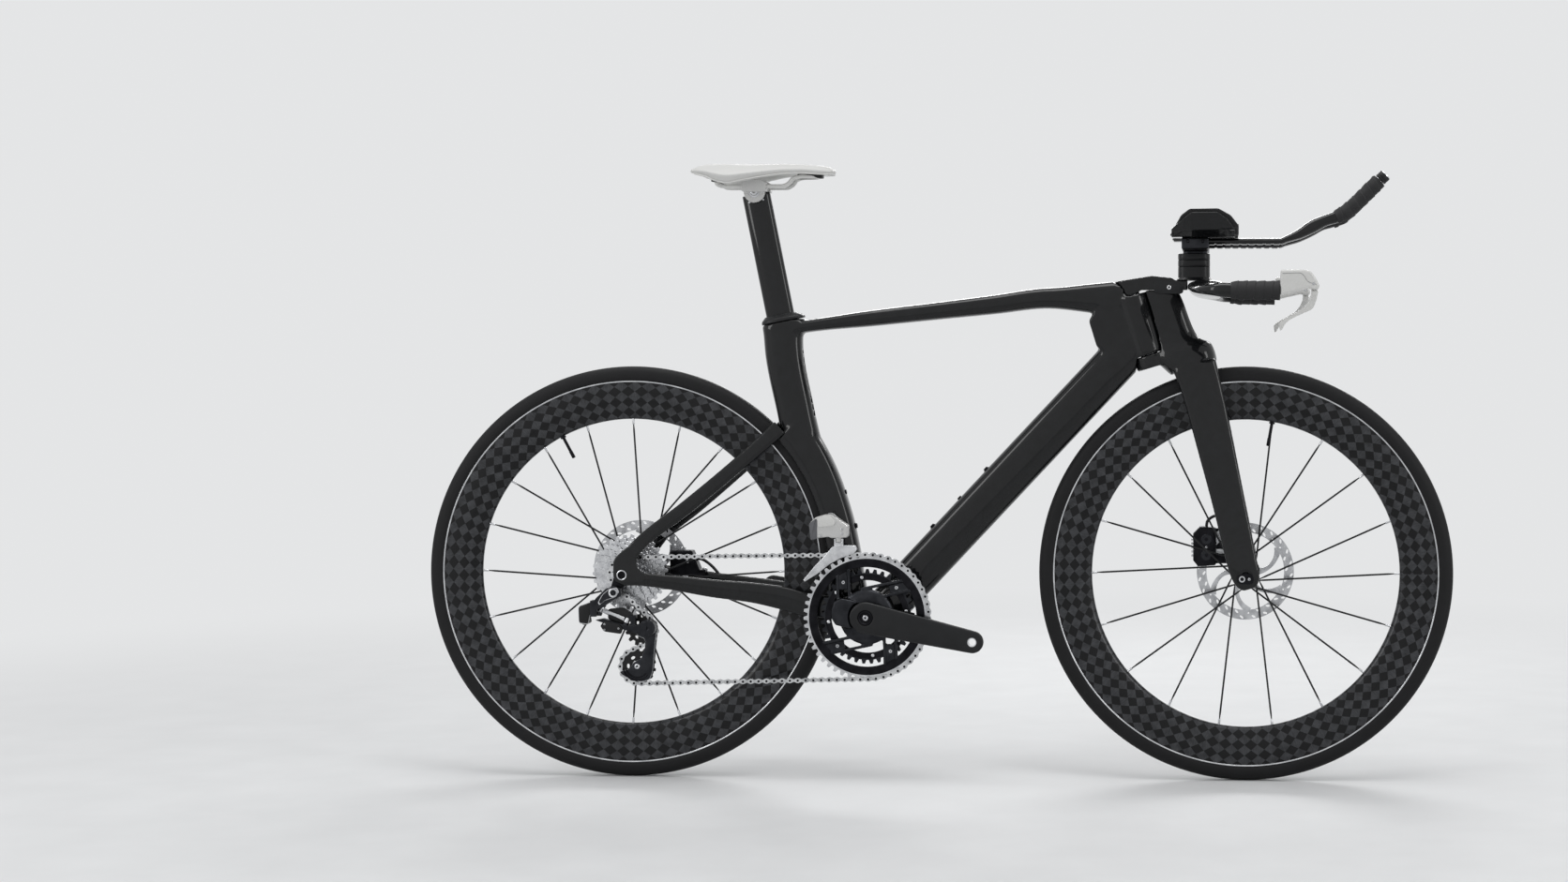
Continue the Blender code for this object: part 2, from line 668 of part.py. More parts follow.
def chainstay_loft(name, sign, grow):
    """One chainstay from the bottom bracket yoke to the dropout, made thicker by grow."""
    inner, outer = dropout_faces(sign)
    middle = (inner + outer) / 2
    thin = (outer - inner) * 0.96
    stations = [(at_bb(YOKE_X + 0.006, 0.0120, sign * 0.0270), 0.040, 0.0150),
                (at_bb(-0.098, 0.0167, sign * 0.0290), 0.0397, 0.0140),
                (at_bb(-0.140, 0.0280, sign * 0.0330), 0.0385, 0.0130),
                (at_bb(-0.190, 0.0375, sign * 0.0400), 0.0334, 0.0120),
                (at_bb(-0.250, 0.0450, sign * 0.0505), 0.0300, 0.0120),
                (at_rear(0.0884, -0.0150, sign * 0.0615), 0.0255, 0.0110),
                (at_rear(0.0580, -0.0105, sign * 0.0685), 0.0225, 0.0100),
                (at_rear(0.0250, -0.0060, sign * middle), 0.0225, thin),
                (at_rear(0.0060, -0.0020, sign * middle), 0.0200, thin)]
    return loft(name, [(centre, depth + grow, width + grow) for centre, depth, width in stations], power=2.6)


def build_rear_stays():
    """Each side is one V: seatstay, dropout and chainstay, bonded to the front triangle at both ends."""
    for side, sign in SIDES.items():
        inner, outer = dropout_faces(sign)
        middle = (inner + outer) / 2
        thin = (outer - inner) * 0.96
        seatstay = [(seat(0.3300, STAY_F + 0.0050, sign * 0.0235), 0.027, 0.0095),
                    (Vector((-0.3257, sign * 0.0350, 0.514)), 0.0240, 0.0110),
                    (Vector((-0.4115, sign * 0.0530, 0.4415)), 0.0235, 0.0115),
                    (at_rear(0.0365, 0.059, sign * 0.0690), 0.0225, 0.0105),
                    (at_rear(0.0180, 0.0385, sign * middle), 0.024, thin),
                    (at_rear(0.0020, 0.016, sign * middle), 0.022, thin)]
        stay = loft("rear_stays_" + side, seatstay, "gloss_carbon", power=2.6)
        lower = chainstay_loft("chainstay_" + side, sign, 0.0)
        outline = [(-0.0150, 0.0), (-0.0150, 0.012), (-0.0139, 0.0246), (-0.0078, 0.0322), (0.0073, 0.0458),
                   (0.0250, 0.0440), (0.0254, 0.0308), (0.0239, 0.0172), (0.0290, 0.0080), (0.0380, 0.0030),
                   (0.0380, -0.0170), (0.0118, -0.0176), (0.0, -0.0169), (-0.0078, -0.0131), (-0.0130, -0.0070)]
        dropout = plate("dropout_" + side, [at_rear(x, z) for x, z in outline], sign * inner, sign * outer)
        join(stay, lower, dropout)
        reach = ACROSS * (outer + 0.01)
        axle_hole = rod("axle_hole_" + side, at_rear(0, 0), at_rear(0, 0) + reach * sign, AXLE_R + SEAT, 16)
        yoke_face = block("yoke_face_" + side, (BB_X + YOKE_X - SEAT, -0.06, 0.22), (BB_X + 0.05, 0.06, 0.34))
        cut(stay, axle_hole, yoke_face, seat_tube_loft("seat_tube_room_" + side, SEAT),
            seat_arc("seat_arc_room_" + side, SEAT))


def build_hanger():
    """Derailleur hanger: a plate inside the right dropout, with the axle and derailleur bolt holes."""
    face = REAR_OLD / 2 + SEAT
    bolt = at_rear(HANGER_X, HANGER_Z)
    outline = [at_rear(-0.011, 0.006), at_rear(-0.004, 0.011), at_rear(0.006, 0.010), at_rear(0.011, 0.0),
               at_rear(0.008, -0.010),
               at_rear(HANGER_X + 0.010, HANGER_Z + 0.002), at_rear(HANGER_X + 0.006, HANGER_Z - 0.007),
               at_rear(HANGER_X - 0.004, HANGER_Z - 0.007), at_rear(HANGER_X - 0.010, HANGER_Z),
               at_rear(HANGER_X - 0.006, HANGER_Z + 0.012)]
    hanger = plate("derailleur_hanger", outline, -face, -face - HANGER_T, "black_metal")
    out = ACROSS * -0.1
    cut(hanger, rod("hanger_axle_hole", at_rear(0, 0), at_rear(0, 0) + out, AXLE_R + SEAT, 16),
        rod("hanger_bolt_hole", bolt, bolt + out, HANGER_BOLT_R + SEAT, 12))


def blade_loft(name, sign, grow):
    """One fork blade from the crown to the dropout, made thicker by grow."""
    outer = FRONT_OLD / 2 + SEAT
    stations = [(0.350, 0.066, 0.0270, 0.0720, 0.0200), (0.300, 0.0655, 0.0300, 0.0665, 0.0160),
                (0.226, 0.061, 0.0345, 0.0620, 0.0140),
                (0.120, 0.0537, 0.0425, 0.0545, 0.0130), (0.060, 0.0490, 0.0490, 0.0520, 0.0125),
                (0.024, 0.0460, outer + 0.0045, 0.0500, 0.0120),
                (0.006, FORK_OFFSET, outer + 0.0056, 0.0480, 0.0108),
                (-0.012, FORK_OFFSET, outer + 0.0056, 0.0400, 0.0108),
                (-0.022, FORK_OFFSET, outer + 0.0054, 0.0220, 0.0090)]
    rings = [oval(steer(s, f, sign * y), STEER_FORE * ((depth + grow) / 2), ACROSS * ((width + grow) / 2),
                  14, 2.8)
             for s, f, y, depth, width in stations]
    return rings_object(name, rings)


def build_fork():
    """Fork: two blades, crown, fairing and steerer, with room for the wheel and round the head shell."""
    hub_centre = Vector((FRONT_X, 0, TYRE_R))
    body = [(0.345, 0.024, 0.1035, 0.074), (0.362, 0.014, 0.1045, 0.070), (0.377, 0.006, 0.1020, 0.064),
            (0.390, 0.006, 0.0865, 0.052), (0.400, 0.006, 0.0830, 0.046), (0.421, 0.006, 0.0803, 0.041),
            (0.457, 0.006, 0.0785, 0.038), (0.500, 0.006, 0.0700, 0.038)]
    rings = [oval(steer(s, (rear + fore) / 2), STEER_FORE * ((fore - rear) / 2), ACROSS * (width / 2), 16,
                  2.6)
             for s, rear, fore, width in body]
    fork = rings_object("fork", rings, "gloss_carbon", steer(0, 0))
    crown = rod("crown", steer(0.366, 0), steer(HEAD_LOW - TURN_CLEAR, 0), CROWN_R, 20)
    steerer = rod("steerer", steer(0.372, 0), steer(STEERER_TOP, 0), STEERER_R, 14)
    blades = []
    for side, sign in SIDES.items():
        blades.append(blade_loft("blade_" + side, sign, 0.0))
    join(fork, blades[0], blades[1])
    arch_r = TYRE_R + WHEEL_CLEAR
    arch = turned("fork_arch", hub_centre, [(0.16, -SLOT_W / 2), (arch_r, -SLOT_W / 2), (arch_r, SLOT_W / 2),
                                            (0.16, SLOT_W / 2)], 64)
    head_room = rod("head_room", steer(HEAD_LOW - TURN_CLEAR, 0), steer(0.56, 0), HEAD_R + 0.0015, 24)
    flat = steer(STEM_FOOT_S, STEM_FOOT_F).z
    stem_side = block("fairing_top", (0.25, -0.06, flat), (0.50, 0.06, flat + 0.06))
    cut(fork, arch, head_room, stem_side)
    join(fork, crown, steerer)
    reach = ACROSS * 0.1
    return cut(fork, rod("fork_axle_hole", hub_centre - reach, hub_centre + reach, AXLE_R + SEAT, 16))


def build_stem():
    """Stem: a side outline trimmed to a round back about the steering axis, bored for the steerer."""
    top_back = steer(0.5200, -0.030)
    foot = steer(HEAD_TOP + TURN_CLEAR, -0.030)
    foot_fore = steer(HEAD_TOP + TURN_CLEAR, 0.012)
    flat = steer(STEM_FOOT_S, STEM_FOOT_F).z + SEAT
    bar_back = BAR_X - BAR_CHORD / 2 - SEAT
    outline = [foot, foot_fore, Vector((foot_fore.x + 0.004, 0, flat)), Vector((bar_back, 0, flat)),
               Vector((bar_back, 0, BAR_TOP_Z)),
               Vector((BAR_X - 0.0515, 0, BAR_TOP_Z)), Vector((BAR_X - 0.0570, 0, BAR_TOP_Z + 0.0040)),
               Vector((BAR_X - 0.0890, 0, BAR_TOP_Z + 0.0075)), top_back]
    stem = plate("stem", outline, -0.0215, 0.0215, "satin_carbon", steer(0, 0))
    r = STEM_REAR_R
    rear_half = [steer(0, 0) + STEER_FORE * (-r * math.sin(t)) + ACROSS * (-r * math.cos(t))
                 for t in [math.pi * i / 12 for i in range(13)]]
    wide = [(0.0075, 0.0180), (0.030, 0.0215), (0.200, 0.0215)]
    front_half = [steer(0, f, y) for f, y in wide] + [steer(0, f, -y) for f, y in reversed(wide)]
    shape = rear_half + front_half
    trim = helper(rings_object("stem_plan", [[p + STEER_UP * 0.40 for p in shape],
                                             [p + STEER_UP * 0.60 for p in shape]]))
    modifier = stem.modifiers.new("plan", "BOOLEAN")
    modifier.operation = "INTERSECT"
    modifier.solver = "EXACT"
    modifier.object = trim
    return cut(stem, rod("steerer_hole", steer(0.40, 0), steer(STEERER_TOP + SEAT, 0), STEERER_R + SEAT, 20))


def bar_ring(side, turn, x, y, z, chord, thick):
    """A section of the base bar: turn is 0 where it runs across and 90 degrees where it points forward."""
    t = math.radians(turn)
    wide = Vector((math.cos(t), -side * math.sin(t), 0))
    return oval((x, side * y, z), wide * (chord / 2), Vector((0, 0, thick / 2)), 12, 2.5)


def build_base_bar():
    """Wing-shaped base bar whose ends turn forward into round horns."""
    half = [(0, BAR_X, 0.0, BAR_TOP_Z - 0.0110, BAR_CHORD, 0.0220),
            (0, BAR_X, 0.032, BAR_TOP_Z - 0.0110, BAR_CHORD, 0.0220),
            (0, BAR_X + 0.001, 0.062, BAR_Z + 0.0055, BAR_CHORD - 0.002, 0.0165),
            (0, BAR_X + 0.003, BAR_Y - 0.070, BAR_Z + 0.0025, 0.0560, 0.0155),
            (15, BAR_X + 0.006, BAR_Y - 0.035, BAR_Z + 0.0015, 0.0510, 0.0160),
            (45, BAR_X + 0.016, BAR_Y - 0.012, BAR_Z + 0.001, 0.0350, 0.0195),
            (75, BAR_X + 0.028, BAR_Y - 0.0015, BAR_Z + 0.0005, 2 * HORN_R, 2 * HORN_R),
            (90, BAR_X + 0.038, BAR_Y, BAR_Z, 2 * HORN_R, 2 * HORN_R),
            (90, HORN_END_X, BAR_Y, BAR_Z - HORN_DROP, 2 * HORN_R, 2 * HORN_R)]
    rings = [bar_ring(-1, *section) for section in reversed(half[1:])]
    rings += [bar_ring(1, *section) for section in half]
    rings_object("base_bar", rings, "satin_carbon", steer(0, 0))


def build_grips():
    """Bar tape on each horn: a sleeve with a step at every wrap."""
    start = BAR_X + 0.0385
    wraps = GRIP_WRAPS
    length = (HORN_END_X - start) / wraps
    for side, sign in SIDES.items():
        centres, radii = [], []
        for i in range(wraps):
            for share, grow in ((0.0, -0.0008), (0.94, 0.0006)):
                x = start + (i + share) * length
                taper = 0.0022 * min(1.0, i + share)
                centres.append((x, sign * BAR_Y, BAR_Z - 0.0005))
                radii.append(GRIP_R - 0.0022 + taper + grow)
        centres.append((HORN_END_X - SEAT, sign * BAR_Y, BAR_Z - 0.0005))
        radii.append(GRIP_R)
        grip = pipe("bar_grip_" + side, centres, radii, "black_tape", steer(0, 0), 12, smooth=25)
        fall = HORN_DROP / (HORN_END_X - BAR_X - 0.038)
        across = 2 * (HORN_R + SEAT)
        ends = [(x, BAR_Z - (x - BAR_X - 0.038) * fall) for x in (BAR_X + 0.030, HORN_END_X + 0.008)]
        core = rings_object("grip_core_" + side, [bar_ring(sign, 90, x, BAR_Y, z, across, across)
                                                  for x, z in ends])
        cut(grip, core)


def build_brakes():
    """Brake hood on each horn's end, and a lever hinged in its slot."""
    x0 = HORN_END_X + SEAT
    for side, sign in SIDES.items():
        y = sign * BAR_Y
        hood_outline = [(0.0, -0.0078), (0.0, 0.0140), (0.0010, 0.0290), (0.0032, 0.0314), (0.0377, 0.0315),
                        (0.0478, 0.0286), (0.0551, 0.0185),
                        (0.0609, 0.0069), (0.0594, 0.0005), (0.0493, 0.0010), (0.0449, 0.0025)]
        hood = plate("brake_hood_" + side, [(x0 + x, BAR_Z + z) for x, z in hood_outline], y - HOOD_W / 2,
                     y + HOOD_W / 2,
                     "white_plastic", steer(0, 0))
        edge = hood.modifiers.new("rounded", "BEVEL")
        edge.width = 0.0028
        edge.segments = 2
        edge.limit_method = "ANGLE"
        edge.angle_limit = math.radians(60)
        slot = block("lever_slot_" + side, (x0 + 0.0400, y - LEVER_TAB_T / 2 - 0.0008, BAR_Z - 0.02),
                     (x0 + 0.0900, y + LEVER_TAB_T / 2 + 0.0008, BAR_Z + 0.0200))
        cut(hood, slot)
        lever_outline = [(0.0592, -0.0012), (0.0565, -0.0150), (0.0522, -0.0265), (0.0478, -0.0309),
                         (0.0304, -0.0382), (0.0159, -0.0455),
                         (0.0086, -0.0514), (0.0028, -0.0616), (-0.0001, -0.0630), (-0.0016, -0.0514),
                         (0.0043, -0.0456), (0.0202, -0.0368),
                         (0.0348, -0.0281), (0.0435, -0.0179), (0.0478, -0.0077), (0.0485, -0.0012)]
        lever = plate("brake_lever_" + side, [(x0 + x, BAR_Z + z) for x, z in lever_outline],
                      y - LEVER_W / 2, y + LEVER_W / 2,
                      "white_plastic", lever_pivot(sign))
        tab = [(0.0495, -0.0040), (0.0580, -0.0040), (0.0570, 0.0095), (0.0540, 0.0135), (0.0490, 0.0135),
               (0.0465, 0.0100), (0.0480, 0.0020)]
        join(lever, plate("lever_tab_" + side, [(x0 + x, BAR_Z + z) for x, z in tab], y - LEVER_TAB_T / 2,
                          y + LEVER_TAB_T / 2))


def lever_pivot(sign):
    return Vector((HORN_END_X + SEAT + 0.0515, sign * BAR_Y, BAR_Z + 0.0095))


def build_riser():
    """Riser stack on the base bar, with a bridge whose ears clamp both extensions and carry the arm cups."""
    foot = BAR_TOP_Z + SEAT
    rings = [oval((BAR_X - 0.021, 0, z), Vector((depth / 2, 0, 0)), Vector((0, width / 2, 0)), 16, 4)
             for z, depth, width in ((foot, 0.058, 0.060), (foot + 0.004, 0.052, 0.050),
                                     (RISER_TOP_Z, 0.052, 0.048))]
    riser = rings_object("riser", rings, "satin_carbon", steer(0, 0))
    shelf = EXT_Z - EXT_T / 2 - SEAT
    x0, x1 = BAR_X - 0.040, BAR_X + 0.0035
    reach = EXT_Y + EXT_W / 2 + SEAT + 0.005
    bridge = block("bridge", (x0, -reach, shelf - 0.0065), (x1, reach, shelf))
    parts = [bridge]
    for side, sign in SIDES.items():
        for edge in (-1, 1):
            inner = EXT_Y + edge * (EXT_W / 2 + SEAT)
            outer = inner + edge * 0.005
            low, high = sorted((sign * inner, sign * outer))
            parts.append(block("ear_%s_%d" % (side, edge), (x0, low, shelf - 0.003),
                               (x1, high, EXT_Z + EXT_T / 2 + SEAT)))
    return join(riser, *parts)


def build_extensions():
    """Flat extension bars that rise into round ends, each with a wrapped grip and a shift button."""
    rise = [(0.1410, 0.0034, 0.0115, 0.0290), (0.1620, 0.0117, 0.0160, 0.0280),
            (0.1850, 0.0246, 0.0205, 0.0260),
            (0.2045, 0.0337, 0.0180, 0.0220), (0.2210, 0.0390, 2 * EXT_R, 2 * EXT_R)]
    grip_line = [(0.2210, 0.0390), (0.2300, 0.0430), (0.2450, 0.0535), (0.2602, 0.0677), (0.2753, 0.0828),
                 (0.2905, 0.0975)]
    for side, sign in SIDES.items():
        y = sign * EXT_Y
        flat = [((BAR_X - 0.033, y, EXT_Z), EXT_T, EXT_W), ((BAR_X + 0.118, y, EXT_Z), EXT_T, EXT_W)]
        stations = flat + [((BAR_X - 0.0137 + x, y, EXT_Z + z), depth, width) for x, z, depth, width in rise]
        stations += [((BAR_X - 0.0137 + x, y, EXT_Z + z), 2 * EXT_R, 2 * EXT_R) for x, z in grip_line[1:]]
        extension = loft("extension_" + side, stations, "gloss_carbon", steer(0, 0), sides=12, power=2.6)
        points = [Vector((BAR_X - 0.0137 + x, y, EXT_Z + z)) for x, z in grip_line]
        centres, radii = wrap_line(points, EXT_WRAPS, EXT_GRIP_R)
        grip = pipe("extension_grip_" + side, centres, radii, "black_tape", steer(0, 0), 10, smooth=25)
        room = loft("grip_room_" + side, [(p, depth + 2 * SEAT, width + 2 * SEAT)
                                          for p, depth, width in stations],
                    sides=12, power=2.6)
        cut(grip, room)
        along = (points[-1] - points[-2]).normalized()
        start = points[-1] + along * BUTTON_GAP
        button = rod("shift_button_" + side, start, start + along * 0.0120, BUTTON_R, 14, "white_plastic",
                     start)
        foot = points[-1] - along * STALK_DEPTH
        cut(extension, rod("stalk_room_" + side, foot - along * (BUTTON_GAP + SEAT), start, STALK_R + SEAT,
                           12))
        rim = button.modifiers.new("rounded", "BEVEL")
        rim.width = 0.0015
        rim.segments = 2
        rim.limit_method = "ANGLE"
        rim.angle_limit = math.radians(60)
        join(button, rod("stalk_" + side, foot, start + along * 0.004, STALK_R, 12))


def wrap_line(points, wraps, radius):
    """Centres and radii of a taped sleeve along points: the radius steps down where each wrap ends."""
    lengths = [0.0]
    for a, b in zip(points, points[1:]):
        lengths.append(lengths[-1] + (b - a).length)
    centres, radii = [], []
    for i in range(wraps):
        for share, grow in ((0.0, -0.0007), (0.94, 0.0004)):
            at = lengths[-1] * (i + share) / wraps
            k = max(j for j in range(len(points) - 1) if lengths[j] <= at + 1e-9)
            span = lengths[k + 1] - lengths[k]
            centres.append(points[k].lerp(points[k + 1], (at - lengths[k]) / span))
            radii.append(radius + grow)
    centres.append(points[-1] - (points[-1] - points[-2]).normalized() * SEAT)
    radii.append(radius - 0.0003)
    return centres, radii


def trough(name, finish, y, stations, inset, thick):
    """An arm rest: a U section, open upwards, swept forward; inset moves its inner skin inwards."""
    rings = []
    for x, tall_out, tall_in, half in stations:
        outer_path = [(-half, tall_in), (-half * 0.86, 0.0085), (-half * 0.55, 0.0), (half * 0.55, 0.0),
                      (half * 0.84, 0.0105), (half, tall_out)]
        skin = []
        for offset in (inset, inset + thick):
            skin.append([(u * (half - offset * 0.9) / half, v + offset if v < 0.011 else v)
                         for u, v in outer_path])
        loop = skin[0] + list(reversed(skin[1]))
        sign = 1 if y > 0 else -1
        rings.append([Vector((x, y + sign * u, CUP_FOOT_Z + v)) for u, v in loop])
    return rings_object(name, rings, finish, steer(0, 0))


def build_arm_rests():
    """Arm cups bolted on the bridge's ears, each lined by a foam pad that stands a little past the rim."""
    cup = [(-0.0560, 0.0110, 0.0100, 0.036), (-0.0370, 0.0290, 0.0150, 0.046),
           (-0.0240, 0.0385, 0.0180, 0.050),
           (0.0180, 0.0390, 0.0180, 0.050), (0.0340, 0.0280, 0.0150, 0.047), (0.0460, 0.0110, 0.0100, 0.038)]
    pad = [(-0.0610, 0.0180, 0.0160, 0.034), (-0.0420, 0.0330, 0.0200, 0.044),
           (-0.0270, 0.0440, 0.0230, 0.0487),
           (0.0190, 0.0448, 0.0230, 0.0492), (0.0390, 0.0340, 0.0200, 0.0447),
           (0.0515, 0.0180, 0.0160, 0.036)]
    for side, sign in SIDES.items():
        for kind, finish, table, inset, thick in (("arm_cup_", "satin_carbon", cup, 0.0, CUP_T),
                                                  ("arm_pad_", "foam_black", pad, CUP_T + SEAT, PAD_T)):
            stations = [(BAR_X + x, tall_out, tall_in, half * CUP_W / 0.100)
                        for x, tall_out, tall_in, half in table]
            piece = trough(kind + side, finish, sign * CUP_Y, stations, inset, thick)
            if inset:
                room = [(BAR_X + x, tall_out + SEAT, tall_in + SEAT, half * CUP_W / 0.100)
                        for x, tall_out, tall_in, half in cup]
                room[0] = (room[0][0] - SEAT,) + room[0][1:]
                room[-1] = (room[-1][0] + SEAT,) + room[-1][1:]
                cut(piece, trough("cup_room_" + side, None, sign * CUP_Y, room, -3 * SEAT, CUP_T + 6 * SEAT))


def build_seat_group():
    """Clamp collar, seatpost with a round cradle, tilting saddle clamp, rails and saddle."""
    centre = seat(CLAMP_S, POST_F)
    collar_rings = [oval(seat(s, -0.0470), SEAT_FORE * (depth / 2), ACROSS * (width / 2), 14, 2.8)
                    for s, depth, width in ((COLLAR_S + SEAT, 0.072, 0.046),
                                            (COLLAR_S + COLLAR_H * 0.6, 0.071, 0.045),
                                            (COLLAR_S + COLLAR_H, 0.064, 0.038))]
    collar = rings_object("seat_clamp", collar_rings, "satin_carbon")
    cut(collar, post_section("collar_socket", COLLAR_S - 0.01, COLLAR_S + 0.03, SEAT))

    post = post_section("seatpost", POST_FOOT, POST_TOP, 0.0)
    post.data.materials.append(bpy.data.materials["gloss_carbon"])
    reach = ACROSS * 0.05
    cut(post, rod("cradle", centre - reach, centre + reach, CLAMP_R + SEAT, 28))

    disc = rod("saddle_clamp", centre - ACROSS * 0.0150, centre + ACROSS * 0.0150, CLAMP_R, 28,
               "silver_metal", centre)
    rail_z = centre.z + RAIL_LIFT
    for side, sign in SIDES.items():
        low, high = sorted((sign * 0.0130, sign * (RAIL_Y + 0.0070)))
        wing = block("wing_" + side, (centre.x - 0.018, low, rail_z - 0.0085),
                     (centre.x + 0.022, high, rail_z + 0.0120))
        join(disc, wing)
    for side, sign in SIDES.items():
        start = Vector((centre.x - 0.05, sign * RAIL_Y, rail_z))
        cut(disc, rod("rail_bore_" + side, start, start + Vector((0.1, 0, 0)), RAIL_R + SEAT, 14))

    half = [(-0.3625, 0.0300, 0.9866), (-0.3600, 0.0290, 0.9755), (-0.3520, 0.0250, rail_z + 0.0005),
            (-0.3440, RAIL_Y, rail_z),
            (-0.2540, RAIL_Y, rail_z), (-0.2440, 0.0205, 0.9755), (-0.2350, 0.0185, 0.9850),
            (-0.2200, 0.0160, NOSE_RAIL_Z),
            (-0.2020, 0.0110, NOSE_RAIL_Z), (-0.1960, 0.0, NOSE_RAIL_Z)]
    path = [Vector((x, -y, z)) for x, y, z in half] + [Vector((x, y, z)) for x, y, z in reversed(half[:-1])]
    pipe("saddle_rails", path, RAIL_R, "silver_metal", centre, 8, smooth=50)

    rings = []
    for x, top, skirt, wide, lift in SADDLE:
        side_z = skirt + (top - skirt) * 0.35
        ring = []
        for i in range(9):
            u = -1 + i / 4
            ring.append(Vector((x, -u * wide, side_z + (top - side_z) * (1 - abs(u) ** 2.6))))
        for u, share in ((0.93, 0.0), (0.70, 0.0), (0.60, 1.0), (0.0, 1.0), (-0.60, 1.0), (-0.70, 0.0),
                         (-0.93, 0.0)):
            ring.append(Vector((x, -u * wide, skirt + lift * share)))
        rings.append(ring)
    rings_object("saddle_shell", rings, "white_cover", centre)


def build_cranks():
    """Right arm with the spindle, and the left arm half a turn round from it."""
    ahead = Vector((math.cos(CRANK_DROP), 0, -math.sin(CRANK_DROP)))
    for side, sign in SIDES.items():
        way = -ahead * sign
        inner, outer = sign * CRANK_FACE, sign * (CRANK_FACE + CRANK_T)
        eye = BB_POINT + way * CRANK_L
        turn = math.atan2(way.z, way.x)
        outline = circle_points(BB_POINT, 0.0260, 15, turn + math.radians(75), turn + math.radians(285))
        outline += circle_points(eye, 0.0183, 11, turn - math.radians(88), turn + math.radians(88))
        arm = plate("crank_arm_" + side, outline, inner, outer, "satin_carbon", BB_POINT)
        edge = arm.modifiers.new("rounded", "BEVEL")
        edge.width = 0.0030
        edge.segments = 1
        edge.limit_method = "ANGLE"
        edge.angle_limit = math.radians(60)
        if sign < 0:
            join(arm, rod("spindle", BB_POINT + ACROSS * (inner - 0.004), BB_POINT + ACROSS * SPINDLE_END,
                          SPINDLE_R, 24))
        else:
            cut(arm, rod("spindle_hole", BB_POINT + ACROSS * 0.04, BB_POINT + ACROSS * 0.09,
                         SPINDLE_R + SEAT, 24))
        reach = ACROSS * 0.1
        cut(arm, rod("pedal_hole_" + side, eye - reach, eye + reach, PEDAL_HOLE_R, 16))


def build_chainrings():
    """Carrier with four forked arms between the rings, and both chainrings."""
    outer_face = -(CRANK_FACE - SEAT)
    dome = [(SPINDLE_R + SEAT, outer_face), (0.0300, outer_face), (0.0400, outer_face + 0.0040),
            (0.0430, TAB_OUT),
            (0.0430, TAB_IN), (0.0200, TAB_IN + 0.0040), (SPINDLE_R + SEAT, TAB_IN + 0.0040)]
    carrier = turned("spider", BB_POINT, dome, 20, "black_metal", BB_POINT)
    arms = []
    for i in range(4):
        middle = math.radians(25 + 90 * i)
        tip, root = 0.0800, 0.0380
        for lean in (-1, 1):
            spread = [(root, lean * 0.42), (root, lean * 0.14), (tip, lean * 0.155), (tip, lean * 0.275)]
            outline = [polar(BB_POINT, math.degrees(middle + angle), radius) for radius, angle in spread]
            arms.append(plate("strut_%d_%d" % (i, lean), outline, TAB_IN, TAB_OUT))
    for i in range(4):
        middle = 25 + 90 * i
        outline = [polar(BB_POINT, middle + angle, radius) for radius, angle in
                   ((0.0700, -15.8), (0.0800, -15.8), (0.0810, 0.0), (0.0800, 15.8), (0.0700, 15.8),
                    (0.0710, 0.0))]
        arms.append(plate("tab_%d" % i, outline, TAB_IN, TAB_OUT))
    join(carrier, *arms)

    half = RING_T / 2
    for name, teeth, y, hole in (("chainring_outer", OUTER_TEETH, CHAIN_Y, 0.0740),
                                 ("chainring_inner", INNER_TEETH, INNER_RING_Y, 0.0570)):
        ring = plate(name, toothed(teeth, BB_POINT), y - half, y + half, "silver_metal", BB_POINT, smooth=20)
        reach = ACROSS * 0.1
        cut(ring, rod(name + "_hole", BB_POINT - reach, BB_POINT + reach, hole, 30))


def build_cassette():
    """Cogs on one core: the larger ones have a root and a tip at each tooth, the smaller ones a corner."""
    rear = at_rear(0, 0)
    big_y = COG_OUT_Y + (len(COG_TEETH) - 1) * COG_PITCH
    bore = HUB_CAP_R + SEAT
    core = spun("cassette", rear, ACROSS, [(COG_CORE_R, COG_OUT_Y - 0.0012), (COG_CORE_R, COG_OUT_Y + 0.010),
                                           (0.0290, big_y - 0.012), (0.0290, big_y + 0.0012)], 14,
                                           "silver_metal", rear)
    bm = bmesh.new()
    for i, teeth in enumerate(COG_TEETH):
        y = COG_OUT_Y + i * COG_PITCH
        edge = toothed(teeth, rear) if teeth > 20 else toothed(teeth, rear)[1::2]
        rings = [[p + ACROSS * (y + end * COG_T / 2) for p in edge] for end in (-1, 1)]
        rings_to_mesh(bm, rings)
    join(core, finish_mesh("cogs", bm, smooth=20))
    reach = ACROSS * 0.1
    return cut(core, rod("cassette_bore", rear - reach, rear + reach, bore, 14))


def jockey_centres():
    return at_rear(*UPPER_JOCKEY), at_rear(*LOWER_JOCKEY)


def build_jockeys():
    for name, teeth, centre in zip(("jockey_upper", "jockey_lower"),
                                   (UPPER_JOCKEY_TEETH, LOWER_JOCKEY_TEETH), jockey_centres()):
        half = 0.0010
        wheel = plate(name, toothed(teeth, centre, 0.0028, 0.0018), CHAIN_Y - half, CHAIN_Y + half,
                      "black_plastic",
                      centre + ACROSS * CHAIN_Y, smooth=20)
        middle = centre + ACROSS * CHAIN_Y
        boss = rod(name + "_boss", middle - ACROSS * 0.0027, middle + ACROSS * 0.0027, 0.0090, 12)
        join(wheel, boss)
        cut(wheel, rod(name + "_bore", middle - ACROSS * 0.02, middle + ACROSS * 0.02, JOCKEY_PIN_R + SEAT,
                       10))


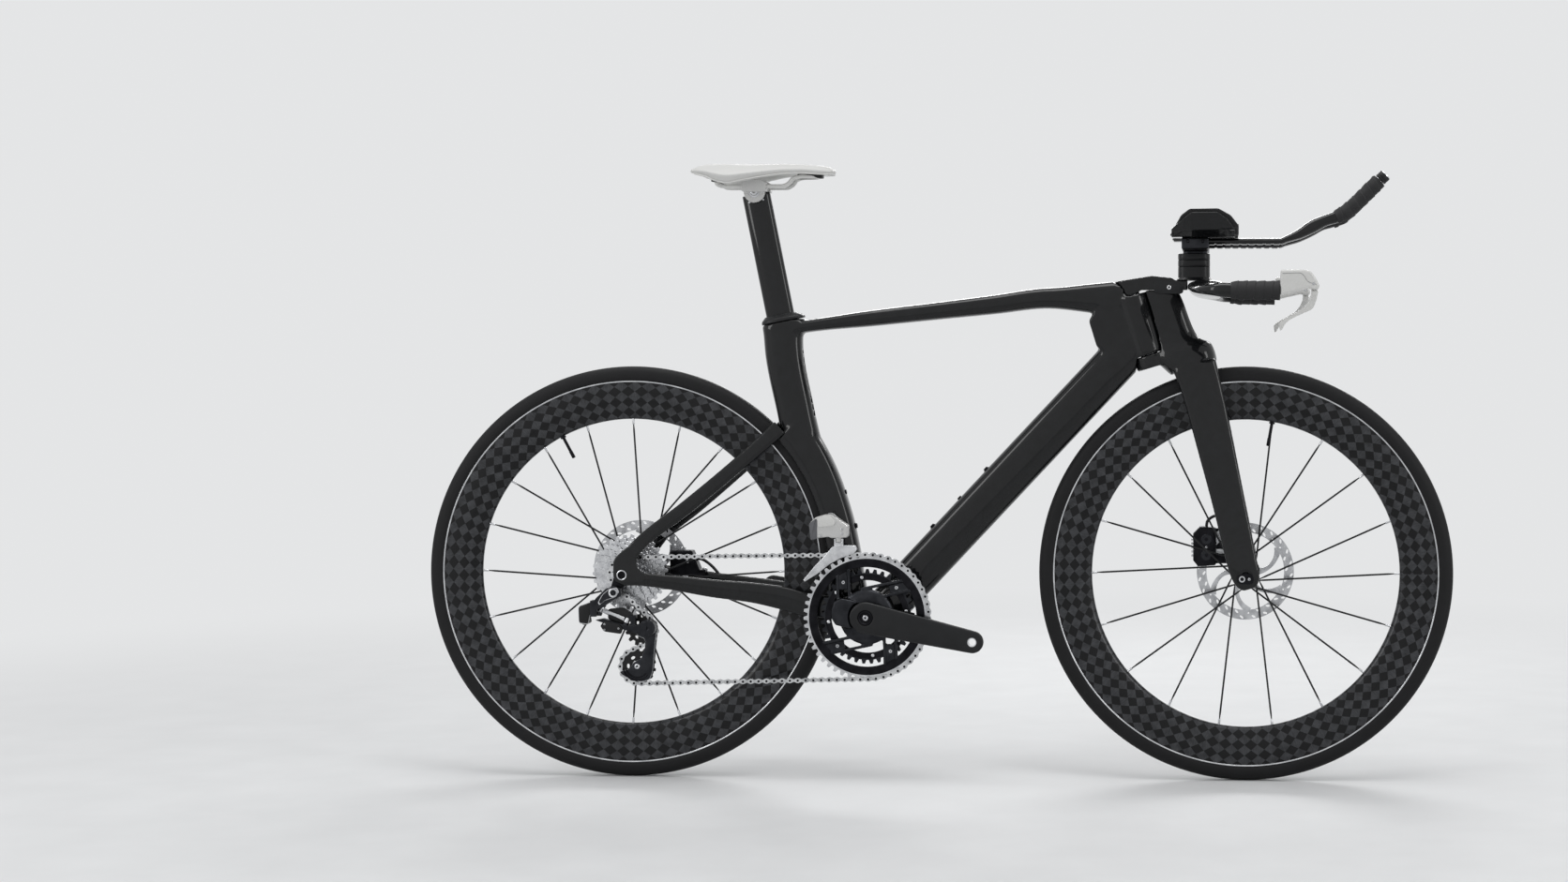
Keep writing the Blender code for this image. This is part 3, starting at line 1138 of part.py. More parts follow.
def belt_line(circles):
    """A belt's line round circles of (centre, radius, turning way): (point, is on a straight) pairs."""
    legs = []
    for i in range(len(circles)):
        (c1, r1, o1), (c2, r2, o2) = circles[i], circles[(i + 1) % len(circles)]
        d = Vector((c2.x - c1.x, 0, c2.z - c1.z))
        lean = math.asin((o2 * r2 - o1 * r1) / d.length)
        tangent = Matrix.Rotation(lean, 3, "Y") @ d.normalized()
        normal = Vector((-tangent.z, 0, tangent.x))
        legs.append((c1 - normal * (o1 * r1), c2 - normal * (o2 * r2)))
    return legs


def chain_path():
    """Points round the chain: arcs on the toothed wheels, and short bridge segments along the straights."""
    upper, lower = jockey_centres()
    rear = at_rear(0, 0)
    circles = [(rear, pitch_radius(COG_TEETH[DRIVEN_COG]), 1), (upper, pitch_radius(UPPER_JOCKEY_TEETH), -1),
               (lower, pitch_radius(LOWER_JOCKEY_TEETH), 1), (BB_POINT, pitch_radius(OUTER_TEETH), 1)]
    legs = belt_line(circles)
    points, bridged = [], []
    for i, (start, end) in enumerate(legs):
        length = (end - start).length
        room = (PIN_ROOM, PIN_ROOM if i != 2 else RING_PIN_ROOM)
        if i == 3:
            room = (RING_PIN_ROOM, PIN_ROOM)
        count = int((length - sum(room)) / (2 * PITCH))
        way = (end - start).normalized()
        points.append(start)
        bridged.append(False)
        if count > 0 and length > 0.05:
            first = (length
                     - 2 * PITCH * (count - 1)) / 2 if i != 3 else length - PIN_ROOM - 2 * PITCH * (count - 1)
            if i == 2:
                first = PIN_ROOM
            for k in range(0, count, 2):
                at = first + 2 * PITCH * k
                points += [start + way * (at - 0.0015), start + way * (at + 0.0015)]
                bridged += [True, False]
        points.append(end)
        bridged.append(False)
        centre, radius, turning = circles[(i + 1) % 4]
        leave = legs[(i + 1) % 4][0]
        t0 = math.atan2(end.z - centre.z, end.x - centre.x)
        t1 = math.atan2(leave.z - centre.z, leave.x - centre.x)
        sweep = (t1 - t0) % (2 * math.pi) if turning > 0 else -((t0 - t1) % (2 * math.pi))
        steps = max(2, round(abs(sweep) * (radius + 0.02) / 0.0125))
        for k in range(1, steps):
            t = t0 + sweep * k / steps
            points.append(Vector((centre.x + radius * math.cos(t), 0, centre.z + radius * math.sin(t))))
            bridged.append(False)
    return points, bridged


def build_chain():
    """Two rows of side plates as closed ribbons, tied together by rollers on the straights."""
    points, bridged = chain_path()
    count = len(points)
    bm = bmesh.new()
    rows = []
    for side in (-1, 1):
        near = CHAIN_Y + side * CHAIN_GAP / 2
        far = near + side * CHAIN_PLATE
        ring_verts = []
        for i, point in enumerate(points):
            along = (points[(i + 1) % count] - points[i - 1]).normalized()
            out = Vector((-along.z, 0, along.x)) * (CHAIN_H / 2)
            corners = [(near, -1), (far, -1), (far, 1), (near, 1)]
            ring_verts.append([bm.verts.new(Vector((point.x, y, point.z)) + out * way) for y, way in corners])
        rows.append(ring_verts)
        for i in range(count):
            low, high = ring_verts[i], ring_verts[(i + 1) % count]
            for a in range(4):
                b = (a + 1) % 4
                if a == 3 and bridged[i]:
                    continue
                bm.faces.new((low[a], low[b], high[b], high[a]))
    for i in range(count):
        if not bridged[i]:
            continue
        right = [rows[0][i][0], rows[0][i][3], rows[0][(i + 1) % count][3], rows[0][(i + 1) % count][0]]
        left = [rows[1][i][0], rows[1][i][3], rows[1][(i + 1) % count][3], rows[1][(i + 1) % count][0]]
        for a in range(4):
            b = (a + 1) % 4
            bm.faces.new((right[a], right[b], left[b], left[a]))
    return finish_mesh("chain", bm, "silver_metal", smooth=20)


def build_front_derailleur():
    """Body on a bracket at the right of the seat tube, and the cage that slides across."""
    outline = [(-0.203, 0.422), (-0.193, 0.431), (-0.179, 0.435), (-0.167, 0.4356), (-0.150, 0.423),
               (-0.141, 0.417), (-0.141, 0.398),
               (-0.167, 0.397), (-0.173, 0.399), (-0.197, 0.396)]
    body = plate("front_derailleur_body", outline, -0.0560, -0.0310, "silver_metal")
    edge = body.modifiers.new("rounded", "BEVEL")
    edge.width = 0.0025
    edge.segments = 2
    edge.limit_method = "ANGLE"
    edge.angle_limit = math.radians(60)
    bracket = block("fd_bracket", (-0.172, -0.0330, 0.400), (-0.146, -0.0180, 0.416))
    join(body, bracket)
    cut(body, seat_arc("seat_tube_room", SEAT))
    guide = block("fd_guide", (FD_GUIDE_X - 0.0040, -0.0530, 0.3900), (FD_GUIDE_X + 0.0040, -0.0330, 0.4000))
    join(body, guide)

    shape = [(-0.158, 0.3860), (-0.129, 0.3850), (-0.126, 0.3785), (-0.130, 0.3720), (-0.152, 0.3645),
             (-0.171, 0.3542), (-0.190, 0.3390),
             (-0.211, 0.3260), (-0.2135, 0.3290), (-0.196, 0.3500), (-0.177, 0.3700), (-0.166, 0.3830)]
    mid = Vector((FD_GUIDE_X, CHAIN_Y, 0.385))
    cage = plate("front_derailleur_cage", shape, CHAIN_Y - 0.0055, CHAIN_Y - 0.0043, "silver_metal", mid)
    inner = plate("inner_cage", shape, CHAIN_Y + 0.0043, CHAIN_Y + 0.0055)
    roof = block("cage_roof", (-0.1600, CHAIN_Y - 0.0050, 0.3800), (-0.1320, CHAIN_Y + 0.0050, 0.3845))
    stalk = block("cage_stalk", (FD_GUIDE_X - 0.0075, CHAIN_Y - 0.0020, 0.3830),
                  (FD_GUIDE_X + 0.0075, CHAIN_Y + 0.0020, 0.3960))
    join(cage, inner, roof, stalk)
    slot = block("guide_slot", (FD_GUIDE_X - 0.0043, CHAIN_Y - 0.0100, 0.3897),
                 (FD_GUIDE_X + 0.0043, CHAIN_Y + 0.0100, 0.4100))
    cut(cage, slot)


def hinge_lug(name, at, low, high, radius):
    """A round lug on a hinge of the derailleur's linkage, between two distances along the hinge line."""
    return rod(name, at + LINK_AXIS * low, at + LINK_AXIS * high, radius, 10)


def build_rear_derailleur():
    """Body on the hanger, battery, linkage bar, motor knuckle and jockey cage."""
    bolt = at_rear(HANGER_X, HANGER_Z)
    face = -(REAR_OLD / 2 + SEAT + HANGER_T) - SEAT
    back, fore = at_rear(*LINK_BACK, LINK_Y), at_rear(*LINK_FORE, LINK_Y)
    shoulder = [at_rear(-0.0010, -0.0200), at_rear(0.0005, -0.0330), at_rear(-0.0180, -0.0440),
                at_rear(-0.0330, -0.0540),
                at_rear(-0.0470, -0.0560), at_rear(-0.0490, -0.0480), at_rear(-0.0400, -0.0360),
                at_rear(-0.0240, -0.0210)]
    body = plate("derailleur_body", shoulder, -0.0870, -0.0768, "black_metal")
    knuckle = rod("b_knuckle", bolt + ACROSS * -0.0870, bolt + ACROSS * (face - 0.0003), 0.0105, 20)
    bolt_rod = rod("hanger_bolt", bolt + ACROSS * -0.0890, bolt + ACROSS * (face + HANGER_T + 0.0015),
                   HANGER_BOLT_R, 14)
    carrier = block("lug_carrier", (back.x - 0.0130, -0.0870, back.z - 0.0100),
                    (back.x - 0.0030, LINK_Y - 0.0040, back.z + 0.0160))
    upper = hinge_lug("upper_lug", back, 0.0048, 0.0100, 0.0052)
    lower = hinge_lug("lower_lug", back, -0.0100, -0.0048, 0.0052)
    spine = block("lug_spine", (back.x - 0.0150, LINK_Y - 0.0080, back.z - 0.0112),
                  (back.x - 0.0078, LINK_Y + 0.0030, back.z + 0.0112))
    upper_arm = block("upper_arm", (back.x - 0.0120, LINK_Y - 0.0050, back.z + 0.0040),
                      (back.x + 0.0040, LINK_Y + 0.0048, back.z + 0.0098))
    lower_arm = block("lower_arm", (back.x - 0.0120, LINK_Y - 0.0052, back.z - 0.0099),
                      (back.x - 0.0010, LINK_Y + 0.0048, back.z - 0.0040))
    dock = block("battery_dock", (back.x - 0.0215, LINK_Y - 0.0065, back.z - 0.0075),
                 (back.x - 0.0110, LINK_Y + 0.0015, back.z + 0.0035))
    join(body, knuckle, bolt_rod, carrier, spine, upper, lower, upper_arm, lower_arm, dock)

    cell = [at_rear(-0.0700, -0.0510), at_rear(-0.0585, -0.0530), at_rear(-0.0535, -0.0790),
            at_rear(-0.0650, -0.0820)]
    battery = plate("derailleur_battery", cell, LINK_Y - 0.0130, LINK_Y + 0.0090, "black_plastic")
    edge = battery.modifiers.new("rounded", "BEVEL")
    edge.width = 0.0025
    edge.segments = 2
    edge.limit_method = "ANGLE"
    edge.angle_limit = math.radians(60)
    cell_room = grown_outline(cell, SEAT)
    cut(body, plate("battery_room", cell_room, LINK_Y - 0.0140, LINK_Y + 0.0100),
        hinge_lug("link_room", back, -0.0048, 0.0048, 0.0073))

    along = (fore - back).normalized()
    link = hinge_lug("derailleur_link", back, -0.0045, 0.0045, 0.0050)
    link.data.materials.append(bpy.data.materials["silver_metal"])
    link.name = "derailleur_link"
    bar = loft("link_bar", [(back + along * 0.0010, 0.0080, 0.0070),
                            (fore - along * 0.0010, 0.0080, 0.0070)], power=4)
    join(link, hinge_lug("link_front", fore, -0.0045, 0.0045, 0.0050), bar)

    pivot = at_rear(*CAGE_PIVOT)
    arch = rod("derailleur_knuckle", pivot + ACROSS * -0.0720, pivot + ACROSS * (CHAIN_Y - 0.0056), 0.0135,
               24, "black_metal", fore)
    box = plate("motor_box", [at_rear(-0.0450, -0.0740), at_rear(0.0040, -0.0900), at_rear(0.0380, -0.1000),
                              at_rear(0.0400, -0.0760),
                              at_rear(0.0140, -0.0840), at_rear(-0.0330, -0.0715)], -0.0740, LINK_Y + 0.0060)
    tower = block("front_tower", (fore.x + 0.0065, LINK_Y - 0.0060, fore.z - 0.0120),
                  (fore.x + 0.0150, LINK_Y + 0.0060, fore.z + 0.0090))
    top = hinge_lug("front_upper_lug", fore, 0.0048, 0.0095, 0.0052)
    low = hinge_lug("front_lower_lug", fore, -0.0095, -0.0048, 0.0052)
    cap = block("lug_cap", (fore.x + 0.0020, LINK_Y - 0.0050, fore.z + 0.0050),
                (fore.x + 0.0130, LINK_Y + 0.0050, fore.z + 0.0090))
    join(arch, box, tower, top, low, cap)
    cut(arch, hinge_lug("front_link_room", fore, -0.0048, 0.0048, 0.0068))

    upper_wheel, lower_wheel = jockey_centres()
    plates = []
    for name, y0, y1 in (("derailleur_cage", CHAIN_Y - 0.0053, CHAIN_Y - 0.0037),
                         ("inner_plate", CHAIN_Y + 0.0037, CHAIN_Y + 0.0053)):
        outline = [pivot + Vector((0.0100, 0, 0.0060)), pivot + Vector((0.0120, 0, -0.0040)),
                   upper_wheel + Vector((0.0110, 0, -0.0090)),
                   lower_wheel + Vector((0.0090, 0, 0.0100)), lower_wheel + Vector((0.0110, 0, -0.0040)),
                   lower_wheel + Vector((0.0030, 0, -0.0110)),
                   lower_wheel + Vector((-0.0070, 0, -0.0080)), lower_wheel + Vector((-0.0080, 0, 0.0080)),
                   upper_wheel + Vector((-0.0090, 0, -0.0060)),
                   upper_wheel + Vector((-0.0080, 0, 0.0080)), pivot + Vector((-0.0020, 0, 0.0110))]
        plates.append(plate(name, outline, y0, y1, "black_metal", pivot))
    cage, inner = plates
    helper(inner)
    pins = [rod("jockey_pin_%d" % i, wheel + ACROSS * (CHAIN_Y - 0.0045),
                wheel + ACROSS * (CHAIN_Y + 0.0045), JOCKEY_PIN_R, 10)
            for i, wheel in enumerate((upper_wheel, lower_wheel))]
    join(cage, inner, *pins)


def grown_outline(outline, by):
    """A four-sided outline moved out by a clearance on every side."""
    middle = sum(outline, Vector((0, 0, 0))) / len(outline)
    return [p + Vector((math.copysign(by, p.x - middle.x), 0, math.copysign(by, p.z - middle.z)))
            for p in outline]


def build_calipers():
    """Disc calipers: a block round each rotor, seated on the blade or the stay."""
    rear_block = block("rear_caliper", (REAR_X + 0.0500, 0.0440, TYRE_R - 0.0120),
                       (REAR_X + 0.1100, 0.0670, TYRE_R + 0.0300), "black_metal")
    front_outline = [at_front(-0.0480, 0.0720), at_front(-0.0480, 0.0100), at_front(-0.0780, 0.0080),
                     at_front(-0.0860, 0.0180),
                     at_front(-0.0860, 0.0620), at_front(-0.0740, 0.0740)]
    front_block = plate("front_caliper", front_outline, 0.0245, 0.0480, "black_metal", steer(0, 0))
    for obj, centre, y, side in ((rear_block, at_rear(0, 0), REAR_ROTOR_Y, "rear"),
                                 (front_block, at_front(0, 0), FRONT_ROTOR_Y, "front")):
        edge = obj.modifiers.new("rounded", "BEVEL")
        edge.width = 0.0030
        edge.segments = 2
        edge.limit_method = "ANGLE"
        edge.angle_limit = math.radians(60)
        gap = ACROSS * (ROTOR_T / 2 + ROTOR_CLEAR)
        middle = centre + ACROSS * y
        cut(obj, rod(side + "_rotor_slot", middle - gap, middle + gap, ROTOR_R + 0.0020, 40))
    cut(rear_block, chainstay_loft("stay_room", 1, 2 * SEAT))
    ear = [at_front(-0.0520, 0.0700), at_front(-0.0520, 0.0120), at_front(-0.0240, 0.0120),
           at_front(-0.0360, 0.0700)]
    join(front_block, plate("caliper_ear", ear, FRONT_ROTOR_Y + 0.0035, 0.0478))
    cut(front_block, blade_loft("blade_room", 1, 2 * SEAT))


def main():
    clear_scene()
    make_finishes()
    build_wheels()
    build_main_frame()
    build_bearings()
    build_rear_stays()
    build_hanger()
    build_fork()
    build_stem()
    build_base_bar()
    build_grips()
    build_brakes()
    build_riser()
    build_extensions()
    build_arm_rests()
    build_seat_group()
    build_cranks()
    build_chainrings()
    build_cassette()
    build_jockeys()
    build_chain()
    build_front_derailleur()
    build_rear_derailleur()
    build_calipers()


main()
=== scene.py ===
"""Time-trial bicycle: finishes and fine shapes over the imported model, with its studio.

Metres, +X forward, +Y to the rider's left, +Z up, ground at zero, half way between the wheel axles.
"""

import math

import bmesh
import bpy
import numpy as np
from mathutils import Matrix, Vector


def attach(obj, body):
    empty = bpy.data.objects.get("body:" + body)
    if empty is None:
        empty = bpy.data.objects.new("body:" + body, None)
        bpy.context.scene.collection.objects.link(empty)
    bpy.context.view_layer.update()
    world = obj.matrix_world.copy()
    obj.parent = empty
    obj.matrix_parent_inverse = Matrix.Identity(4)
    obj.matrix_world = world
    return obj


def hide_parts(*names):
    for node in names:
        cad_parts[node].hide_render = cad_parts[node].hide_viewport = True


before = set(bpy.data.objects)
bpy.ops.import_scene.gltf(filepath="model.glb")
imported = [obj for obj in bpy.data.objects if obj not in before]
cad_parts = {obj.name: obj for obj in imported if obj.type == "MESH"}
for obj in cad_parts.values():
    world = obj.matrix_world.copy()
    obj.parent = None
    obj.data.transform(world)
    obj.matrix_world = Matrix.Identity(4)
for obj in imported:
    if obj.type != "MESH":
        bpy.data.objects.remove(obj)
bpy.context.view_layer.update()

PITCH = 0.0127
TYRE_R = 0.338
RIM_OUTER_R = 0.314
RIM_INNER_R = 0.251
WHEELBASE = 1.010
REAR = np.array([-WHEELBASE / 2, 0.0, TYRE_R])
FRONT = np.array([WHEELBASE / 2, 0.0, TYRE_R])
BB = np.array([-0.109981, 0.0, 0.269])
STEER_FOOT = np.array([0.461703, 0.0, 0.32468])
STEER_UP = np.array([-0.29404, 0.0, 0.955793])
STEER_FORE = np.array([0.955793, 0.0, 0.29404])
SEAT_UP = np.array([-0.197657, 0.0, 0.980271])
SEAT_FORE = np.array([0.980271, 0.0, 0.197657])
ACROSS = np.array([0.0, 1.0, 0.0])
SEAM = 0.0003
SIDES = {"right": -1, "left": 1}


def steer(s, f, y=0.0):
    """Point s up the steering axis from beside the front hub, f ahead of it and y to the left."""
    return STEER_FOOT + STEER_UP * s + STEER_FORE * f + ACROSS * y


def seat(s, f, y=0.0):
    """Point s up the seat line from the bottom bracket, f ahead of it and y to the left."""
    return BB + SEAT_UP * s + SEAT_FORE * f + ACROSS * y


def beside(centre, x, z, y=0.0):
    """Point x ahead of centre, z above it and y to its left."""
    return centre + np.array([x, y, z])


# Shapes: points, faces and a pair of surface distances for each face corner


def surface(points, loop=False, size=(1.0, 1.0)):
    """Rings of points (rows, columns, 3) as quads, where loop joins the last ring to the first.

    An open end is closed by one flat face. Corner distances are (column share, row share) times size.
    """
    rows, cols = points.shape[:2]
    bands = rows if loop else rows - 1
    i, j = np.meshgrid(np.arange(bands), np.arange(cols), indexing="ij")
    up, over = (i + 1) % rows, (j + 1) % cols
    quads = np.stack([i * cols + j, i * cols + over, up * cols + over, up * cols + j], -1).reshape(-1, 4)
    whole = np.array([cols, bands])
    corners = np.stack([np.stack([j, i], -1), np.stack([j + 1, i], -1), np.stack([j + 1, i + 1], -1),
                        np.stack([j, i + 1], -1)], 2)
    reach = corners.reshape(-1, 4, 2) / whole * np.array(size)
    n = np.arange(cols)
    ends = [] if loop else [n[::-1], n + (rows - 1) * cols]
    return points.reshape(-1, 3), quads, ends, reach


def volume(shape):
    """Signed volume: a sixth of the sum of p0 . (p1 x p2) over the triangles."""
    points, quads, ends, _ = shape
    fans = [np.stack([np.full(len(end) - 2, end[0]), end[1:-1], end[2:]], 1) for end in ends]
    every = np.concatenate([quads[:, [0, 1, 2]], quads[:, [0, 2, 3]]] + fans)
    a, b, c = (points[every[:, k]] for k in range(3))
    return (a * np.cross(b, c)).sum() / 6


def outward(shape):
    points, quads, ends, reach = shape
    if volume(shape) < 0:
        return points, quads[:, ::-1], [end[::-1] for end in ends], reach[:, ::-1]
    return shape


def mesh_of(name, shapes, sharp=35):
    """One mesh from several closed shapes, each turned outward."""
    points, quads, ends, reach, base = [], [], [], [], 0
    for shape in map(outward, shapes):
        points.append(shape[0])
        quads.append(shape[1] + base)
        ends += [(end + base).tolist() for end in shape[2]]
        reach.append(shape[3].reshape(-1, 2))
        base += len(shape[0])
    mesh = bpy.data.meshes.new(name)
    mesh.from_pydata(np.concatenate(points).tolist(), [], np.concatenate(quads).tolist() + ends)
    layer = mesh.uv_layers.new(name="surface")
    flat = np.concatenate(reach + [np.zeros((sum(map(len, ends)), 2))])
    layer.data.foreach_set("uv", flat.astype(np.float32).ravel())
    mesh.shade_smooth()
    mesh.set_sharp_from_angle(angle=math.radians(sharp))
    return mesh


def piece(name, body, finish, shapes, stands_for=(), sharp=35, mesh=None):
    """Makes the object, gives it its finish and its body, and hides the nodes it stands for."""
    obj = bpy.data.objects.new(name, mesh or mesh_of(name, shapes, sharp))
    bpy.context.scene.collection.objects.link(obj)
    obj.data.materials.clear()
    obj.data.materials.append(finish)
    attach(obj, body)
    if stands_for:
        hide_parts(*stands_for)
    return obj


def through(rows, count):
    """A table's rows read at count even steps along its first three columns, on monotone cubic curves."""
    rows = np.asarray(rows, float)
    at = np.concatenate([[0.0], np.cumsum(np.linalg.norm(np.diff(rows[:, :3], axis=0), axis=1))])
    step = np.diff(at)[:, None]
    slope = np.diff(rows, axis=0) / step
    bend = np.zeros_like(rows)
    bend[0], bend[-1] = slope[0], slope[-1]
    together = slope[1:] * slope[:-1]
    bend[1:-1] = np.where(together > 0, 2 * together / np.where(together > 0, slope[1:] + slope[:-1], 1), 0)
    s = np.linspace(0, at[-1], count)
    k = np.clip(np.searchsorted(at, s, "right") - 1, 0, len(at) - 2)
    h = step[k]
    u = (s[:, None] - at[k][:, None]) / h
    return (rows[k] * (2 * u**3 - 3 * u**2 + 1) + rows[k + 1] * (3 * u**2 - 2 * u**3)
            + h * bend[k] * (u**3 - 2 * u**2 + u) + h * bend[k + 1] * (u**3 - u**2))


def units(rows):
    """Rows of vectors, each brought to length one."""
    return rows / np.linalg.norm(rows, axis=1)[:, None]


def superellipse(sides, power):
    """Unit section: u = sign(cos t)|cos t|^(2/p), v = sign(sin t)|sin t|^(2/p)."""
    t = np.linspace(0, 2 * np.pi, sides, endpoint=False)
    c, s = np.cos(t), np.sin(t)
    return np.sign(c) * np.abs(c) ** (2 / power), np.sign(s) * np.abs(s) ** (2 / power)


def swept(centres, a, b, sides, power):
    """Sections centre + a u + b v carried along centres, a and b being a half axis vector at each centre."""
    u, v = superellipse(sides, power)
    points = centres[:, None] + a[:, None] * u[None, :, None] + b[:, None] * v[None, :, None]
    return surface(points)


def lofted(stations, sides, power, count, grow=0.0):
    """Tube through (x, y, z, depth, width): depth square to the path in side view, width square to both."""
    rows = through(stations, count)
    centres = rows[:, :3]
    along = units(np.gradient(centres, axis=0))
    side_on = units(np.stack([-along[:, 2], np.zeros(count), along[:, 0]], 1))
    over = np.cross(along, side_on)
    return swept(centres, side_on * (rows[:, 3:4] / 2 + grow), over * (rows[:, 4:5] / 2 + grow), sides, power)


def tube(path, radius, sides, count):
    """Round tube along a path, its frame carried without twist by removing each step's tangent part."""
    rows = through(np.column_stack([np.asarray(path, float), np.broadcast_to(radius, len(path))]), count)
    centres = rows[:, :3]
    along = units(np.gradient(centres, axis=0))
    normal = np.cross(along[0], ACROSS if abs(along[0][1]) < 0.9 else STEER_FORE)
    normals = []
    for step in along:
        normal = normal - step * (normal @ step)
        normal /= np.linalg.norm(normal)
        normals.append(normal)
    normals = np.array(normals)
    return swept(centres, normals * rows[:, 3:4], np.cross(along, normals) * rows[:, 3:4], sides, 2)


def turned(centre, profile, sides, axis=ACROSS, closed=False, size=(1.0, 1.0)):
    """Profile of (radius, distance along the axis) turned about the axis through centre."""
    axis = np.asarray(axis, float) / np.linalg.norm(axis)
    first = np.cross(axis, [0.0, 0.0, 1.0] if abs(axis[2]) < 0.9 else [1.0, 0.0, 0.0])
    first /= np.linalg.norm(first)
    second = np.cross(axis, first)
    t = np.linspace(0, 2 * np.pi, sides, endpoint=False)
    out = np.cos(t)[:, None] * first + np.sin(t)[:, None] * second
    r, h = np.asarray(profile, float).T
    points = centre + out[None] * r[:, None, None] + axis * h[:, None, None]
    return surface(points, loop=closed, size=size)


def rod(start, end, radius, sides, edge=0.0):
    """Round bar with its two rims eased by edge."""
    start, end = np.asarray(start, float), np.asarray(end, float)
    length = np.linalg.norm(end - start)
    profile = [(radius, 0), (radius, length)]
    if edge:
        profile = [(radius - edge, 0), (radius - edge * 0.3, edge * 0.3), (radius, edge),
                   (radius, length - edge), (radius - edge * 0.3, length - edge * 0.3),
                   (radius - edge, length)]
    return turned(start, profile, sides, end - start)


def axle(centre, half, radius, sides):
    """A round bar across the bicycle, half to each side of centre."""
    return rod(centre - ACROSS * half, centre + ACROSS * half, radius, sides)


def column(low, high, radius, sides):
    """A round bar on the steering axis between two heights."""
    return rod(steer(low, 0), steer(high, 0), radius, sides)


def fitting(at, profile, sides, sign=1):
    """A small turned part on an axis across the bicycle, its profile mirrored where sign is -1."""
    return turned(at, np.array(profile) * [1, sign], sides, closed=True)


def slab(outline, y0, y1, edge=0.0):
    """Side outline of (x, z) points carried from y0 to y1, with its rims stepped in by edge."""
    outline = np.asarray(outline, float)
    outline = outline[:, [0, -1]]
    before, after = np.roll(outline, 1, 0), np.roll(outline, -1, 0)
    way = after - before
    inward = np.stack([-way[:, 1], way[:, 0]], 1) / np.linalg.norm(way, axis=1)[:, None]
    turn = (outline[:, 0] * np.roll(outline[:, 1], -1) - np.roll(outline[:, 0], -1) * outline[:, 1]).sum()
    inward *= np.sign(turn)
    low, high = min(y0, y1), max(y0, y1)
    levels = [(low, 0.0), (high, 0.0)]
    if edge:
        levels = [(low, 1.0), (low + edge * 0.3, 0.3), (low + edge, 0.0), (high - edge, 0.0),
                  (high - edge * 0.3, 0.3), (high, 1.0)]
    rows = []
    for y, share in levels:
        flat = outline + inward * (edge * share)
        rows.append(np.stack([flat[:, 0], np.full(len(flat), y), flat[:, 1]], 1))
    return surface(np.array(rows))


def rounded(outline, steps, share=0.5):
    """Closed (x, z) outline with quadratic curves for corners, from points share of the way to the next."""
    outline = np.asarray(outline, float)[:, [0, -1]]
    into = outline + (np.roll(outline, 1, 0) - outline) * (share / 2)
    out = outline + (np.roll(outline, -1, 0) - outline) * (share / 2)
    t = np.linspace(0, 1, steps)[None, :, None]
    curve = into[:, None] * (1 - t) ** 2 + 2 * outline[:, None] * t * (1 - t) + out[:, None] * t**2
    return curve.reshape(-1, 2)


def band(outer, inner, y0, y1):
    """Flat ring between two (x, z) outlines of equal count, from y0 to y1."""
    rows = [(outer, y0), (outer, y1), (inner, y1), (inner, y0)]
    points = np.array([np.stack([o[:, 0], np.full(len(o), y), o[:, 1]], 1) for o, y in rows])
    return surface(points, loop=True)


def circle(centre, radius, count, start):
    """Side outline of count points round centre."""
    t = start + np.linspace(0, 2 * np.pi, count, endpoint=False)
    return np.stack([centre[0] + radius * np.cos(t), centre[2] + radius * np.sin(t)], 1)


def polar(centre, angle, radius, y=0.0):
    """Point at an angle and radius round centre in the side view, at y."""
    return np.array([centre[0] + radius * math.cos(angle), y, centre[2] + radius * math.sin(angle)])


# Finishes


def linear(code):
    """sRGB hex to linear red, green, blue, alpha."""
    parts = [int(code[i : i + 2], 16) / 255 for i in (1, 3, 5)]
    return tuple(c / 12.92 if c <= 0.04045 else ((c + 0.055) / 1.055) ** 2.4 for c in parts) + (1.0,)


def add(tree, kind, sockets=None, **settings):
    """Adds a node: settings are its properties, sockets gives each input a value or the output feeding it."""
    made = tree.nodes.new(kind)
    for key, value in settings.items():
        setattr(made, key, value)
    for key, value in (sockets or {}).items():
        if isinstance(value, bpy.types.NodeSocket):
            tree.links.new(value, made.inputs[key])
        else:
            made.inputs[key].default_value = value
    return made


def finish(name, colour, roughness, metallic=0.0, **sockets):
    """A material with its Principled sockets set, keyed by their names with _ for a space."""
    made = bpy.data.materials.new(name)
    made.use_nodes = True
    shader = made.node_tree.nodes["Principled BSDF"]
    shader.inputs["Base Color"].default_value = linear(colour)
    shader.inputs["Roughness"].default_value = roughness
    shader.inputs["Metallic"].default_value = metallic
    for key, value in sockets.items():
        shader.inputs[key.replace("_", " ")].default_value = value
    return made


def place(tree, stretch=(1, 1, 1)):
    """Object coordinates, stretched."""
    where = add(tree, "ShaderNodeTexCoord").outputs["Object"]
    return add(tree, "ShaderNodeMapping", {"Vector": where, "Scale": stretch}).outputs["Vector"]


def noise(tree, where, scale, detail):
    """Fractal noise from 0 to 1."""
    return add(tree, "ShaderNodeTexNoise", {"Vector": where, "Scale": scale, "Detail": detail}).outputs["Fac"]


def combine(tree, operation, a, b):
    """Result of a sum, product or maximum."""
    return add(tree, "ShaderNodeMath", {0: a, 1: b}, operation=operation).outputs[0]


def tones(tree, factor, *stops):
    """Colour ramp between two (place, hex) stops."""
    ramp = add(tree, "ShaderNodeValToRGB", {"Fac": factor})
    for element, (at, code) in zip(ramp.color_ramp.elements, stops):
        element.position, element.color = at, linear(code)
    return ramp.outputs["Color"]


def span(tree, value, low, high):
    """Carries a 0 to 1 value on to low to high."""
    return add(tree, "ShaderNodeMapRange", {"Value": value, "To Min": low, "To Max": high}).outputs["Result"]


def relief(tree, height, depth, strength):
    """Bump of a depth in metres."""
    bump = add(tree, "ShaderNodeBump", {"Height": height, "Distance": depth, "Strength": strength})
    feed(tree, "Normal", bump.outputs["Normal"])


def feed(tree, socket, value):
    """Joins a node's output to the shader."""
    tree.links.new(value, tree.nodes["Principled BSDF"].inputs[socket])


